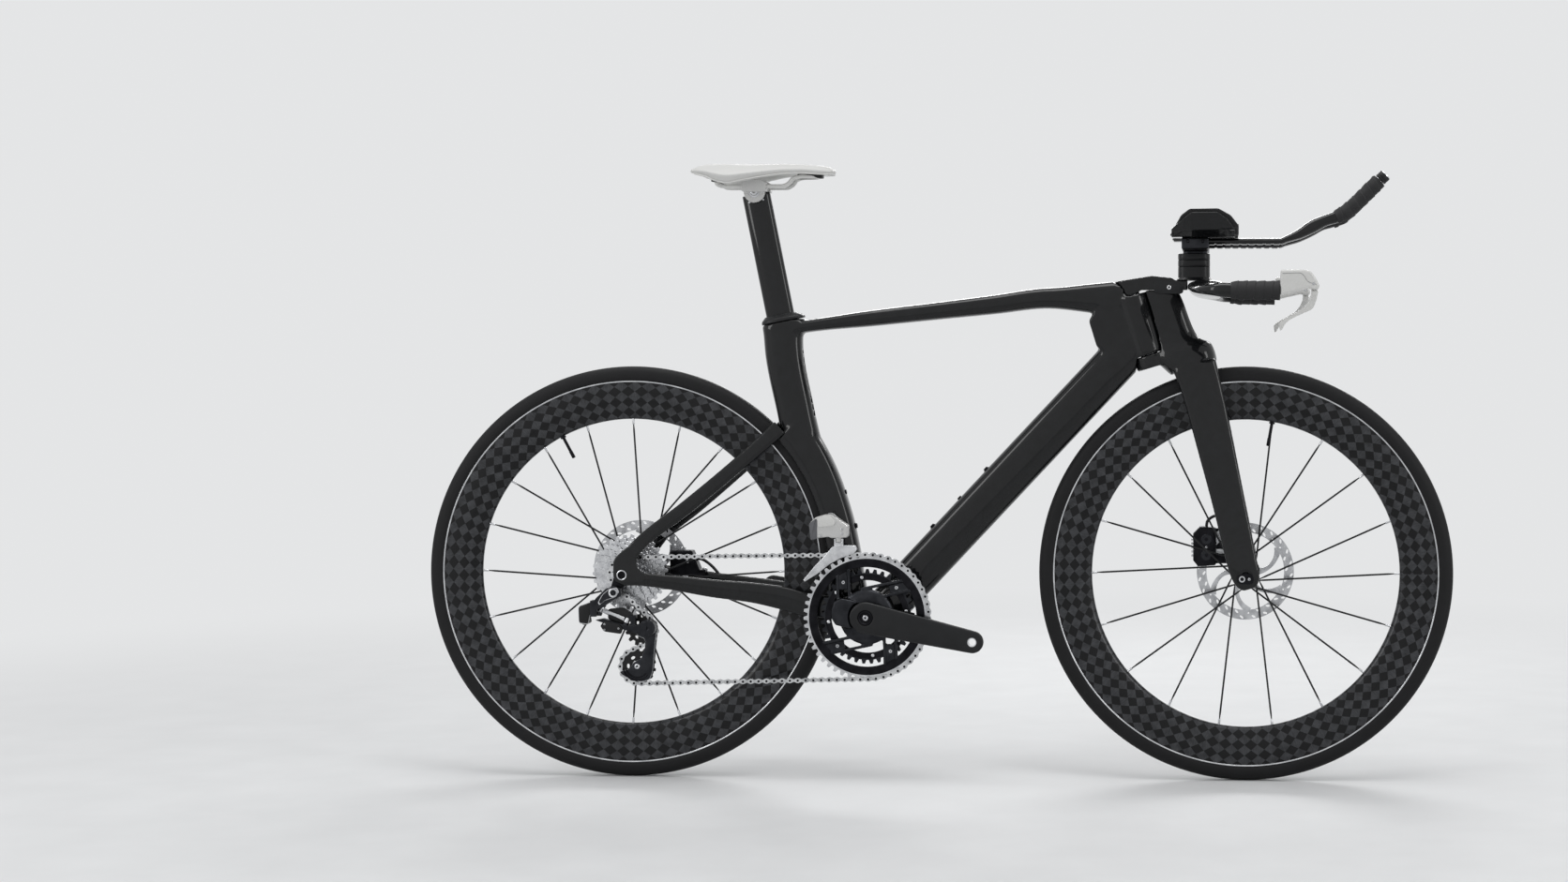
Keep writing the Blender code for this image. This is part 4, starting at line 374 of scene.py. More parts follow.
def lacquered_carbon():
    """Moulded carbon under gloss lacquer: near black, a trace of lengthwise fibre and a wavy coat."""
    made = finish("lacquered_carbon", "#0a0b0c", 0.42, Specular_IOR_Level=0.08, Coat_Weight=0.95,
                  Coat_Roughness=0.04, Coat_IOR=1.37)
    tree = made.node_tree
    # Fibre tows about 1.5 mm wide, drawn wider than the real 7 micron fibres so that they show
    fibre = noise(tree, place(tree, (60, 700, 60)), 1.0, 4.0)
    feed(tree, "Base Color", tones(tree, fibre, (0.3, "#060708"), (0.7, "#101113")))
    feed(tree, "Roughness", span(tree, fibre, 0.34, 0.5))
    # Lacquer waves 6 mm long and a few microns high
    wave = noise(tree, place(tree), 160.0, 1.0)
    relief(tree, wave, 0.00001, 0.35)
    return made


def satin_carbon():
    """Moulded carbon under matt lacquer: soft wide highlights and a fine pressed grain."""
    made = finish("satin_carbon", "#121315", 0.4, Specular_IOR_Level=0.32)
    tree = made.node_tree
    grain = noise(tree, place(tree), 900.0, 3.0)
    cloud = noise(tree, place(tree), 35.0, 2.0)
    feed(tree, "Base Color", tones(tree, cloud, (0.3, "#0e0f11"), (0.7, "#17181a")))
    feed(tree, "Roughness", span(tree, grain, 0.3, 0.44))
    relief(tree, grain, 0.00002, 0.4)
    return made


def rim_weave():
    """Spread-tow carbon: 15 mm squares at 45 degrees, fibres crosswise by turns, so half catch the light."""
    made = finish("spread_tow_carbon", "#101011", 0.3, Specular_IOR_Level=0.15, Coat_Weight=0.4,
                  Coat_Roughness=0.06, Coat_IOR=1.35)
    tree = made.node_tree
    where = add(tree, "ShaderNodeTexCoord").outputs["UV"]
    per_metre = 1 / 0.0150
    diagonal = add(tree, "ShaderNodeMapping",
                   {"Vector": where, "Location": (0.0, 0.0, 0.5), "Rotation": (0, 0, math.radians(45)),
                    "Scale": (per_metre, per_metre, 1)}).outputs["Vector"]
    square = add(tree, "ShaderNodeTexChecker", {"Vector": diagonal, "Scale": 1.0, "Color1": (1, 1, 1, 1),
                                                "Color2": (0, 0, 0, 1)}).outputs["Fac"]
    drawn_out = add(tree, "ShaderNodeMapping", {"Vector": where, "Scale": (500, 90, 1)}).outputs["Vector"]
    streak, blotch = noise(tree, drawn_out, 1.0, 3.0), noise(tree, where, 55.0, 1.0)
    shade = combine(tree, "MULTIPLY", combine(tree, "ADD", streak, blotch), 0.5)
    lit = tones(tree, shade, (0.3, "#242527"), (0.7, "#48494c"))
    dark = tones(tree, shade, (0.3, "#040405"), (0.7, "#0c0c0e"))
    mix = add(tree, "ShaderNodeMix", {"Factor": square, 6: dark, 7: lit}, data_type="RGBA").outputs[2]
    feed(tree, "Base Color", mix)
    feed(tree, "Roughness", span(tree, square, 0.42, 0.3))
    relief(tree, square, 0.00003, 0.4)
    return made


def worn_rubber():
    """Tyre compound: matt black with a faint bloom and fine tread texture."""
    made = finish("tyre_compound", "#0f0f10", 0.6, Specular_IOR_Level=0.25)
    tree = made.node_tree
    where = add(tree, "ShaderNodeTexCoord").outputs["UV"]
    bloom = noise(tree, where, 25.0, 4.0)
    feed(tree, "Base Color", tones(tree, bloom, (0.3, "#0b0b0c"), (0.75, "#161618")))
    feed(tree, "Roughness", span(tree, bloom, 0.5, 0.72))
    # File tread of 1.2 mm lozenges
    file_map = add(tree, "ShaderNodeMapping", {"Vector": where, "Rotation": (0, 0, math.radians(45)),
                                               "Scale": (830, 830, 1)}).outputs["Vector"]
    lozenge = add(tree, "ShaderNodeTexChecker", {"Vector": file_map, "Scale": 1.0}).outputs["Fac"]
    relief(tree, lozenge, 0.00006, 0.5)
    return made


def speckled(name, colour, light, roughness, scale, depth, **sockets):
    """Moulded or woven finish: two close tones and a fine relief, from noise of the given scale per metre."""
    made = finish(name, colour, roughness, **sockets)
    tree = made.node_tree
    grain = noise(tree, place(tree), scale, 4.0)
    feed(tree, "Base Color", tones(tree, grain, (0.3, colour), (0.7, light)))
    feed(tree, "Roughness", span(tree, grain, roughness - 0.08, roughness + 0.08))
    relief(tree, grain, depth, 0.5)
    return made


def milled(name, colour, dark, roughness, stretch):
    """Machined or drawn metal: fine tool lines along the stretched way, with a little tarnish."""
    made = finish(name, colour, roughness, 1.0)
    tree = made.node_tree
    line = noise(tree, place(tree, stretch), 1.0, 3.0)
    stain = noise(tree, place(tree), 60.0, 3.0)
    feed(tree, "Base Color", tones(tree, stain, (0.3, dark), (0.65, colour)))
    feed(tree, "Roughness", span(tree, line, roughness - 0.07, roughness + 0.1))
    relief(tree, line, 0.00001, 0.5)
    return made


CARBON = lacquered_carbon()
SATIN = satin_carbon()
WEAVE = rim_weave()
TYRE = worn_rubber()
# Cork-mix bar tape, pressed with a fine grip pattern
TAPE = speckled("cork_bar_tape", "#0d0d0e", "#1c1c1e", 0.72, 700.0, 0.0002)
# Open-cell foam under knitted cover: no gloss, soft fuzz at the edges
FOAM = speckled("knit_foam", "#0e0e0f", "#1a1a1c", 0.92, 1100.0, 0.0003, Sheen_Weight=0.3,
                Sheen_Roughness=0.5)
# Nylon with glass fibre: dull black, slightly mottled
NYLON = speckled("moulded_nylon", "#0e0e0f", "#161618", 0.45, 800.0, 0.00006, Specular_IOR_Level=0.3)
# Gloss moulded plastic in warm white
WHITE = speckled("white_moulding", "#d7d7d4", "#dddddb", 0.32, 500.0, 0.00002, Coat_Weight=0.3,
                 Coat_Roughness=0.15)
# The same white moulding, a shade down and duller
PEARL = speckled("pearl_alloy_paint", "#c6c6c5", "#cfcfcd", 0.3, 700.0, 0.00002, Coat_Weight=0.4,
                 Coat_Roughness=0.12)
# Soft rubber in mid grey
GREY = speckled("grey_seal_rubber", "#55565a", "#66676a", 0.6, 900.0, 0.00004)
# Synthetic leather in white, with a fine pore grain
COVER = speckled("white_saddle_skin", "#d2d2d0", "#dadad8", 0.5, 1500.0, 0.00012)
# Turned and anodised aluminium alloy in black
BLACK_METAL = milled("black_anodised_alloy", "#242427", "#18181a", 0.33, (90, 1600, 90))
# Nickel-plated and machined alloy
SILVER = milled("plated_alloy", "#d6d7d9", "#aeafb2", 0.26, (1400, 90, 1400))
# Pressed alloy, black with a grey cast where the coat is thin
CAST = milled("cast_dark_alloy", "#343538", "#26272a", 0.34, (500, 500, 500))
# Nickel-plated steel links, darker where plates rub
CHAIN_STEEL = milled("nickel_plated_chain", "#d6d7d8", "#a3a4a6", 0.24, (300, 900, 300))
# Brushed stainless steel
STEEL = milled("brushed_stainless", "#cbccce", "#a5a6a9", 0.28, (1200, 90, 90))


# Studio

BACKDROP, BACKDROP_LEVEL = linear("#f4f5f6"), 0.86
FLOOR_R = 3.6
FOCAL_PIXELS, FRAME_PIXELS = 2605.2, 1672


def lamp(name, at, towards, size, power):
    """Soft rectangular lamp, hidden from the camera."""
    data = bpy.data.lights.new(name, "AREA")
    data.shape, data.size, data.size_y, data.energy = "RECTANGLE", size[0], size[1], power
    obj = bpy.data.objects.new(name, data)
    obj.location = at
    obj.rotation_mode = "QUATERNION"
    obj.rotation_quaternion = (Vector(towards) - Vector(at)).to_track_quat("-Z", "Y")
    obj.visible_camera = False
    bpy.context.scene.collection.objects.link(obj)


def painted_floor():
    """Matt pale paint that passes into the backdrop's light away from the bicycle: no horizon shows."""
    made = speckled("painted_floor", "#dddedf", "#e2e3e4", 0.6, 8.0, 0.0, Specular_IOR_Level=0.2)
    tree = made.node_tree
    where = add(tree, "ShaderNodeTexCoord").outputs["Object"]
    reach = add(tree, "ShaderNodeVectorMath", {0: where}, operation="LENGTH").outputs["Value"]
    far = add(tree, "ShaderNodeMapRange", {"Value": reach, "From Min": 0.9, "From Max": 3.2},
              interpolation_type="SMOOTHSTEP").outputs["Result"]
    eye = add(tree, "ShaderNodeLightPath").outputs["Is Camera Ray"]
    share = combine(tree, "MULTIPLY", far, eye)
    glow = add(tree, "ShaderNodeEmission", {"Color": BACKDROP, "Strength": BACKDROP_LEVEL}).outputs[0]
    paint = tree.nodes["Principled BSDF"].outputs[0]
    mixed = add(tree, "ShaderNodeMixShader", {"Fac": share, 1: paint, 2: glow}).outputs[0]
    tree.links.new(mixed, tree.nodes["Material Output"].inputs["Surface"])
    return made


def studio():
    """Pale matt floor, soft lamps above and at both sides, and a pale surround."""
    scene = bpy.context.scene
    scene.view_settings.view_transform = "Standard"
    lamp("top_softbox", (-0.2, -0.6, 5.6), (0, 0, 0.4), (4.6, 2.6), 150)
    lamp("left_softbox", (-2.6, -2.2, 1.7), (0, 0, 0.5), (0.8, 2.2), 26)
    lamp("right_softbox", (2.8, -1.8, 1.5), (0.1, 0, 0.5), (0.7, 2.0), 20)
    lamp("back_strip", (0.4, 2.6, 1.9), (0, 0, 0.6), (2.6, 0.5), 34)
    world = bpy.data.worlds.new("studio")
    scene.world = world
    world.use_nodes = True
    tree = world.node_tree
    path = add(tree, "ShaderNodeLightPath")
    mirrored = combine(tree, "MAXIMUM", path.outputs["Is Glossy Ray"], path.outputs["Is Transmission Ray"])
    seen = combine(tree, "MAXIMUM", path.outputs["Is Camera Ray"], mirrored)
    backdrop = tree.nodes["Background"]
    backdrop.inputs["Color"].default_value = BACKDROP
    tree.links.new(span(tree, seen, 0.3, BACKDROP_LEVEL), backdrop.inputs["Strength"])
    t = np.linspace(0, 2 * np.pi, 96, endpoint=False)
    rim = np.stack([FLOOR_R * np.cos(t), FLOOR_R * np.sin(t), np.zeros(96)], 1)
    rows = np.stack([rim - [0, 0, 0.02], rim])
    floor = bpy.data.objects.new("floor", mesh_of("floor", [surface(rows)], 30))
    bpy.context.scene.collection.objects.link(floor)
    floor.data.materials.append(painted_floor())
    data = bpy.data.cameras.new("camera")
    data.lens = FOCAL_PIXELS * data.sensor_width / FRAME_PIXELS
    data.shift_x, data.shift_y = -0.2148, -0.0588
    camera = bpy.data.objects.new("camera", data)
    camera.location = (0.4695, -4.0, 0.7048)
    camera.rotation_euler = (math.pi / 2, 0.0, 0.0421)
    scene.collection.objects.link(camera)
    scene.camera = camera


studio()


# Wheels

TYRE_HALF = 0.0140
SPOKE_LEAN = math.radians(62)
SPOKES = {"front": 18, "rear": 20}
# Radius of the flanges, and how far they lie to the right (-1) and left (1) of the wheel's middle
FLANGE_R = {"front": 0.0200, "rear": 0.0250}
FLANGES = {"front": {-1: 0.0300, 1: 0.0255}, "rear": {-1: 0.0150, 1: 0.0330}}


def tyre(end, centre):
    """Tyre on the rim's edge: a round tread whose half width falls to the bead."""
    t = np.linspace(-1, 1, 41)
    low, rise = RIM_OUTER_R + SEAM, TYRE_R - RIM_OUTER_R - SEAM
    r = low + rise * np.cos(t * np.pi / 2) ** 0.75
    y = TYRE_HALF * np.sign(t) * np.sin(np.abs(t) * np.pi / 2 * 1.18) ** 0.9
    y[0], y[-1] = -0.0119, 0.0119
    profile = np.stack([r, y], 1)
    shape = turned(centre, profile, 192, closed=True, size=(2 * np.pi * TYRE_R, 0.06))
    piece(end + "_tyre_casing", end + "_wheel", TYRE, [shape], [end + "_tyre"], 50)


def rim(end, centre):
    """Deep rim of woven carbon: straight sides that swell below the tyre and close in a round inner edge."""
    half = through([(RIM_OUTER_R, 0.0127, 0), (0.3085, 0.0131, 0), (0.292, 0.0138, 0), (0.279, 0.0130, 0),
                    (0.2686, 0.0111, 0), (0.2590, 0.0083, 0), (0.2535, 0.0050, 0), (0.2514, 0.0022, 0),
                    (RIM_INNER_R, 0.0, 0)], 33)[:, :2]
    profile = np.concatenate([half * [1, -1], half[-2::-1]])
    shape = turned(centre, profile, 240, closed=True, size=(2 * np.pi * 0.2825, 0.168))
    piece(end + "_rim_shell", end + "_wheel", WEAVE, [shape], [end + "_rim"], 60)
    brim = RIM_OUTER_R + 0.0002
    line = [(brim, 0.0119), (brim, 0.0132), (0.3128, 0.0134), (0.3122, 0.0129)]
    piece(end + "_rim_edge", end + "_wheel", SILVER, [fitting(centre, line, 192, sign) for sign in (-1, 1)],
          sharp=50)


def spoke_roots(end, centre, radius):
    """For each spoke its angle at the rim, its side and its foot at this radius on the flange."""
    count = SPOKES[end]
    for i in range(count):
        side = -1 if i % 2 else 1
        lean = 1 if (i // 2) % 2 else -1
        turn = 2 * math.pi * i / count
        yield turn, side, polar(centre, turn + SPOKE_LEAN * lean, radius,
                                side * (FLANGES[end][side] + lean * 0.0012))


def lacing(end, centre):
    """Bladed spokes as flattened tubes: round and 2 mm thick by the hub, flat and 3 mm wide further out."""
    shapes, nipples = [], []
    for at_rim, side, start in spoke_roots(end, centre, FLANGE_R[end] - 0.0030):
        end_point = polar(centre, at_rim, 0.2495, side * 0.0012)
        along = (end_point - start) / np.linalg.norm(end_point - start)
        wide = np.cross(along, ACROSS)
        wide /= np.linalg.norm(wide)
        thick = np.cross(along, wide)
        share = np.array([0.0, 0.06, 0.09, 0.5, 0.93, 0.96, 1.0])
        half_w = np.array([0.0010, 0.0010, 0.0015, 0.0015, 0.0015, 0.0010, 0.0010])
        half_t = np.array([0.0010, 0.0010, 0.0006, 0.0006, 0.0006, 0.0010, 0.0010])
        centres = start + share[:, None] * (end_point - start)
        shapes.append(swept(centres, wide * half_w[:, None], thick * half_t[:, None], 10, 2))
        nipples.append(rod(end_point - along * 0.0075, end_point + along * 0.0045, 0.0019, 10, 0.0006))
    piece(end + "_spoke_blades", end + "_wheel", SATIN, shapes, sharp=40)
    piece(end + "_nipples", end + "_wheel", SILVER, nipples, sharp=40)


def hub_shell(end, centre, half, shell_r):
    """Hub shell: waisted barrel, two flanges with the spokes' heads, and end caps."""
    right, left, flange_r = FLANGES[end][-1], FLANGES[end][1], FLANGE_R[end]
    ends = half - SEAM
    profile = [(0.0066, -ends), (0.0090, -ends), (0.0095, -ends + 0.0006), (0.0095, -right - 0.0024),
               (flange_r - 0.0008, -right - 0.0024), (flange_r, -right - 0.0016), (flange_r, -right + 0.0014),
               (flange_r - 0.0010, -right + 0.0022), (shell_r + 0.0030, -right + 0.0045),
               (shell_r, -right + 0.0110), (shell_r * 0.92, (left - right) / 2), (shell_r, left - 0.0110),
               (shell_r + 0.0030, left - 0.0045), (flange_r - 0.0010, left - 0.0022),
               (flange_r, left - 0.0014), (flange_r, left + 0.0016), (flange_r - 0.0008, left + 0.0024),
               (0.0095, left + 0.0024), (0.0095, ends - 0.0006), (0.0090, ends), (0.0066, ends)]
    piece(end + "_hub_shell", end + "_wheel", BLACK_METAL, [turned(centre, profile, 72, closed=True)],
          [end + "_hub"], 30)
    heads = [rod(foot - ACROSS * side * 0.0030, foot + ACROSS * side * 0.0030, 0.0016, 10, 0.0005)
             for _, side, foot in spoke_roots(end, centre, flange_r - 0.0030)]
    piece(end + "_spoke_heads", end + "_wheel", STEEL, heads)


def pierced_ring(centre, y, thick, r0, r1, count, hole, twist=0.0, slot=(1.0, 1.0), steps=6, phase=0.0):
    """Flat ring of count tiles, each with one hole: rows of points join a tile's rim to its round hole.

    hole is the hole's radius, slot stretches it round and across the ring, and twist turns it in its tile.
    """
    mid, tall, span_t = (r0 + r1) / 2, r1 - r0, 2 * math.pi / count
    k = np.linspace(-1, 1, steps + 1)[:-1]
    square = np.concatenate([np.stack([k, -np.ones(steps)], 1), np.stack([np.ones(steps), k], 1),
                             np.stack([-k, np.ones(steps)], 1), np.stack([-np.ones(steps), -k], 1)])
    angle = np.arctan2(square[:, 1], square[:, 0])
    wide = span_t * mid / 2
    ring = np.stack([np.cos(angle) * slot[0], np.sin(angle) * slot[1]], 1) * hole
    c, s = math.cos(twist), math.sin(twist)
    ring = ring @ np.array([[c, s], [-s, c]])
    outer = square * [wide, tall / 2]
    shapes = []
    for i in range(count):
        rows = []
        for share, side in ((0.0, 1), (0.5, 1), (1.0, 1), (1.0, -1), (0.5, -1), (0.0, -1)):
            flat = outer + (ring - outer) * share
            t = phase + i * span_t + flat[:, 0] / wide * (span_t / 2)
            r = mid + flat[:, 1]
            rows.append(np.stack([centre[0] + r * np.cos(t), np.full(len(t), y + side * thick / 2),
                                  centre[2] + r * np.sin(t)], 1))
        shapes.append(surface(np.array(rows), loop=True))
    return shapes


def disc(end, centre, y):
    """Brake disc: slotted braking band, swept arms and a finned, bolted carrier."""
    shapes = pierced_ring(centre, y, 0.0018, 0.0640, 0.0720, 24, 0.0019, 0.6, (1.9, 0.9), phase=0.05)
    shapes += pierced_ring(centre, y, 0.0018, 0.0720, 0.0800, 24, 0.0019, 0.6, (1.9, 0.9), phase=0.18)
    piece(end + "_disc_band", end + "_wheel", STEEL, shapes, [end + "_rotor"], 40)
    arms = []
    bend = np.linspace(0, 1, 12)
    for i in range(6):
        r = 0.0215 + (0.0660 - 0.0215) * bend
        a = 2 * math.pi * i / 6 + 0.62 * bend**1.4
        path = np.stack([centre[0] + r * np.cos(a), np.full(12, y), centre[2] + r * np.sin(a)], 1)
        along = units(np.gradient(path, axis=0))
        wide = np.cross(along, ACROSS) * (0.0034 + 0.0026 * (2 * bend - 1) ** 2)[:, None]
        arms.append(swept(path, wide, np.tile(ACROSS * 0.0009, (12, 1)), 12, 5))
    piece(end + "_disc_arms", end + "_wheel", STEEL, arms, sharp=30)
    carrier = pierced_ring(centre, y, 0.0034, 0.0135, 0.0240, 6, 0.0026, phase=0.5, steps=5)
    carrier.append(turned(centre + ACROSS * y, [(0.0098, -0.0020), (0.0137, -0.0020), (0.0137, 0.0030),
                                                (0.0130, 0.0038), (0.0098, 0.0038)], 48, closed=True))
    carrier += [rod(polar(centre, 2 * math.pi * i / 6 + 0.02, 0.0215, y - 0.0026),
                    polar(centre, 2 * math.pi * i / 6 + 0.02, 0.0215, y + 0.0026), 0.0024, 14, 0.0006)
                for i in range(6)]
    piece(end + "_disc_carrier", end + "_wheel", BLACK_METAL, carrier)


def valve(end, centre, angle):
    """Valve with its nut on the rim and its cap, at an angle round the wheel."""
    stem = [rod(polar(centre, angle, 0.2515), polar(centre, angle, 0.2250), 0.0026, 16, 0.0004),
            rod(polar(centre, angle, 0.2250), polar(centre, angle, 0.2110), 0.0030, 16, 0.0012),
            rod(polar(centre, angle, 0.2508), polar(centre, angle, 0.2478), 0.0048, 24, 0.0008)]
    piece(end + "_valve", end + "_wheel", BLACK_METAL, stem)


for end, centre in (("front", FRONT), ("rear", REAR)):
    tyre(end, centre)
    rim(end, centre)
lacing("front", FRONT)
lacing("rear", REAR)
hub_shell("front", FRONT, 0.050, 0.0125)
hub_shell("rear", REAR, 0.071, 0.0150)
disc("front", FRONT, 0.0360)
disc("rear", REAR, 0.0555)
valve("front", FRONT, math.radians(80))
valve("rear", REAR, math.radians(118))


# Frame and fork

CUTOUT_R = 0.320
DROPOUT_IN, DROPOUT_OUT, HANGER_ROOM = 0.0713, 0.0795, 0.0038
AXLE_HOLE_R = 0.0064
STEERER_R = 0.0143
DOWN_LOW, DOWN_HIGH = beside(BB, 0, -0.0163), steer(0.4174, -0.0110)
POST_F = -0.0505
POST_HEAD = seat(0.7180, POST_F)


def sections(rows, a_way, power, sides, count, grow=0.0):
    """Parallel superellipse sections along rows of (x, y, z, depth, width), their depth lying along a_way."""
    rows = through(rows, count)
    return swept(rows[:, :3], np.outer(rows[:, 3] / 2 + grow, a_way), np.outer(rows[:, 4] / 2 + grow, ACROSS),
                 sides, power)


def box(low, high):
    """Block between two opposite corners."""
    return slab([(low[0], low[2]), (high[0], low[2]), (high[0], high[2]), (low[0], high[2])], low[1], high[1])


def moulded(name, joined, *removed, voxel, relax):
    """One seamless skin round the joined shapes (or a mesh) less each group of removed ones, on a voxel grid.

    It is then relaxed, so that joints and rims blend as they do in a moulded shell.
    """
    helpers = []
    base = bpy.data.objects.new(name, joined if isinstance(joined, bpy.types.Mesh) else mesh_of(name, joined))
    bpy.context.scene.collection.objects.link(base)
    steps = ["REMESH"] + list(removed) + ["REMESH"]
    for step in steps:
        if step == "REMESH":
            grid = base.modifiers.new("grid", "REMESH")
            grid.mode, grid.voxel_size, grid.use_smooth_shade = "VOXEL", voxel, True
            continue
        other = bpy.data.objects.new(name + "_room", mesh_of(name + "_room", step))
        bpy.context.scene.collection.objects.link(other)
        helpers.append(other)
        modifier = base.modifiers.new("room", "BOOLEAN")
        modifier.operation, modifier.solver, modifier.object = "DIFFERENCE", "EXACT", other
    ease = base.modifiers.new("ease", "SMOOTH")
    ease.factor, ease.iterations = 0.5, relax
    graph = bpy.context.evaluated_depsgraph_get()
    mesh = bpy.data.meshes.new_from_object(base.evaluated_get(graph))
    for old in [base] + helpers:
        bpy.data.objects.remove(old, do_unlink=True)
    mesh.shade_smooth()
    return mesh


def skin(name, body, material, node, joined, *removed, voxel, relax):
    """A seamless skin as a piece that stands for a node."""
    return piece(name, body, material, None, [node],
                 mesh=moulded(name, joined, *removed, voxel=voxel, relax=relax))


def seat_arc(grow=0.0):
    """Lower seat tube, an arc about the rear hub."""
    rows = []
    for degrees, outer in ((42, 0.385), (34, 0.381), (26, 0.378), (18, 0.376), (10, 0.377), (2, 0.381),
                           (-6, 0.391)):
        middle, depth = (CUTOUT_R + outer) / 2, outer - CUTOUT_R
        rows.append((*polar(REAR, math.radians(degrees), middle), depth, 0.050))
    return lofted(rows, 56, 3.2, 50, grow)


def seat_tube(grow=0.0):
    """Upper seat tube, from the wheel's cut-out to the collar."""
    rows = [(*seat(s, f), depth, 0.046) for s, f, depth in ((0.300, -0.0560, 0.062), (0.345, -0.0566, 0.061),
                                                            (0.467, -0.0537, 0.0635), (0.504, -0.047, 0.072))]
    return lofted(rows, 56, 2.8, 30, grow)


def post(low, high, sides, grow=0.0):
    """The seatpost's wing section between two heights."""
    rows = [(*seat(s, POST_F), 0.0465, 0.0240) for s in (low, high)]
    return sections(rows, SEAT_FORE, 2.3, sides, 2, grow)


def wheel_room(centre, inner):
    """Room for a wheel and its tyre, outside the inner radius."""
    return fitting(centre, [(inner, -0.019), (0.344, -0.019), (0.344, 0.019), (inner, 0.019)], 160)


def turning_room(low, high, radius):
    """Room about the steering axis, round behind and open in front."""
    edge = math.asin(0.0060 / radius)
    t = np.linspace(edge, math.pi - edge, 33)
    plan = np.concatenate([np.stack([-radius * np.sin(t), radius * np.cos(t)], 1),
                           [(-0.006, -0.06), (0.12, -0.06), (0.12, 0.06), (-0.006, 0.06)]])
    rows = np.array([[steer(s, f, y) for f, y in plan] for s in (low, high)])
    return surface(rows)


def main_frame():
    """Front triangle as one shell, less the rooms of the wheel, seatpost, fork and bottom bracket."""
    down = [(*(DOWN_LOW + (DOWN_HIGH - DOWN_LOW) * share), depth, width) for share, depth, width in
            ((0, 0.064, 0.0666), (0.10, 0.069, 0.056), (0.20, 0.070, 0.048), (0.5, 0.070, 0.048),
             (0.88, 0.070, 0.048), (1, 0.070, 0.042))]
    back, front = seat(0.4863, -0.0396), steer(0.4995, -0.0080)
    table = [(0.0, 0.0, 0.020), (0.106, 0.0015, 0.0218), (0.25, 0.0019, 0.0268), (0.4525, 0.0017, 0.0292),
             (0.610, 0.0016, 0.0317), (0.78, 0.0018, 0.0348), (0.90, -0.006, 0.048), (1.0, -0.013, 0.060)]
    top = [(*(back + (front - back) * share + [0, 0, lift]), depth, 0.0431) for share, lift, depth in table]
    web = slab([steer(0.3835, 0), steer(0.3845, -0.045), steer(0.425, -0.078), steer(0.470, -0.078),
                steer(0.498, -0.045), steer(0.493, 0)], -0.0202, 0.0202)
    yoke = lofted([(*beside(BB, 0.010, 0), 0.048, 0.071), (*beside(BB, -0.020, 0.004), 0.046, 0.071),
                   (*beside(BB, -0.048, 0.012), 0.040, 0.070)], 48, 3, 16)
    joined = [lofted(down, 56, 2.6, 60), lofted(top, 56, 3, 60), column(0.3855, 0.491, 0.028, 64), web,
              seat_tube(), seat_arc(), axle(BB, 0.037, 0.026, 64), yoke]
    collar = slab([seat(0.5, -0.12), seat(0.5, -0.0105), seat(0.54, -0.0105), seat(0.54, -0.12)], -0.05, 0.05)
    first = [wheel_room(REAR, 0.20), collar, turning_room(0.30, 0.3885, 0.0278),
             turning_room(0.488, 0.60, 0.0203), axle(BB, 0.06, 0.0208, 48)]
    second = [box((-0.198, -0.06, 0.22), (-0.158, 0.06, 0.3045)), post(0.335, 0.55, 56, 0.0006),
              column(0.37, 0.51, 0.0170, 48)]
    skin("frame_shell", "frame", CARBON, "main_frame", joined, first, second, voxel=0.0022, relax=14)


def rear_stays(side, sign):
    """Seatstay, chainstay and dropout of one side, cut where they meet the front triangle."""
    inner, outer = DROPOUT_IN + (HANGER_ROOM if sign < 0 else 0), DROPOUT_OUT
    middle, thin = (inner + outer) / 2, (outer - inner) * 0.96
    upper = [(*seat(0.3300, -0.0835, sign * 0.0235), 0.027, 0.0095),
             (-0.3257, sign * 0.0350, 0.514, 0.0240, 0.0110),
             (-0.4115, sign * 0.0530, 0.4415, 0.0235, 0.0115),
             (*beside(REAR, 0.0365, 0.059, sign * 0.0690), 0.0225, 0.0105),
             (*beside(REAR, 0.0180, 0.0385, sign * middle), 0.024, thin),
             (*beside(REAR, 0.0020, 0.016, sign * middle), 0.022, thin)]
    lower = [(*beside(BB, -0.042, 0.0120, sign * 0.0270), 0.040, 0.0150),
             (*beside(BB, -0.098, 0.0167, sign * 0.0290), 0.0397, 0.0140),
             (*beside(BB, -0.140, 0.0280, sign * 0.0330), 0.0385, 0.0130),
             (*beside(BB, -0.190, 0.0375, sign * 0.0400), 0.0334, 0.0120),
             (*beside(BB, -0.250, 0.0450, sign * 0.0505), 0.0300, 0.0120),
             (*beside(REAR, 0.0884, -0.0150, sign * 0.0615), 0.0255, 0.0110),
             (*beside(REAR, 0.0580, -0.0105, sign * 0.0685), 0.0225, 0.0100),
             (*beside(REAR, 0.0250, -0.0060, sign * middle), 0.0225, thin),
             (*beside(REAR, 0.0060, -0.0020, sign * middle), 0.0200, thin)]
    outline = [(-0.0150, 0.0), (-0.0150, 0.012), (-0.0139, 0.0246), (-0.0078, 0.0322), (0.0073, 0.0458),
               (0.0250, 0.0440), (0.0254, 0.0308), (0.0239, 0.0172), (0.0290, 0.0080), (0.0380, 0.0030),
               (0.0380, -0.0170), (0.0118, -0.0176), (0.0, -0.0169), (-0.0078, -0.0131), (-0.0130, -0.0070)]
    dropout = slab(rounded(outline, 5) + REAR[[0, 2]], sign * inner, sign * outer)
    joined = [lofted(upper, 40, 2.6, 60), lofted(lower, 40, 2.6, 60), dropout]
    reach = ACROSS * sign * (outer + 0.01)
    first = [rod(REAR, REAR + reach, AXLE_HOLE_R, 40),
             box((BB[0] - 0.0483, -0.06, 0.22), (BB[0] + 0.05, 0.06, 0.34)), seat_tube(SEAM)]
    skin("stay_shell_" + side, "frame", CARBON, "rear_stays_" + side, joined, first, [seat_arc(SEAM)],
         voxel=0.0015, relax=12)


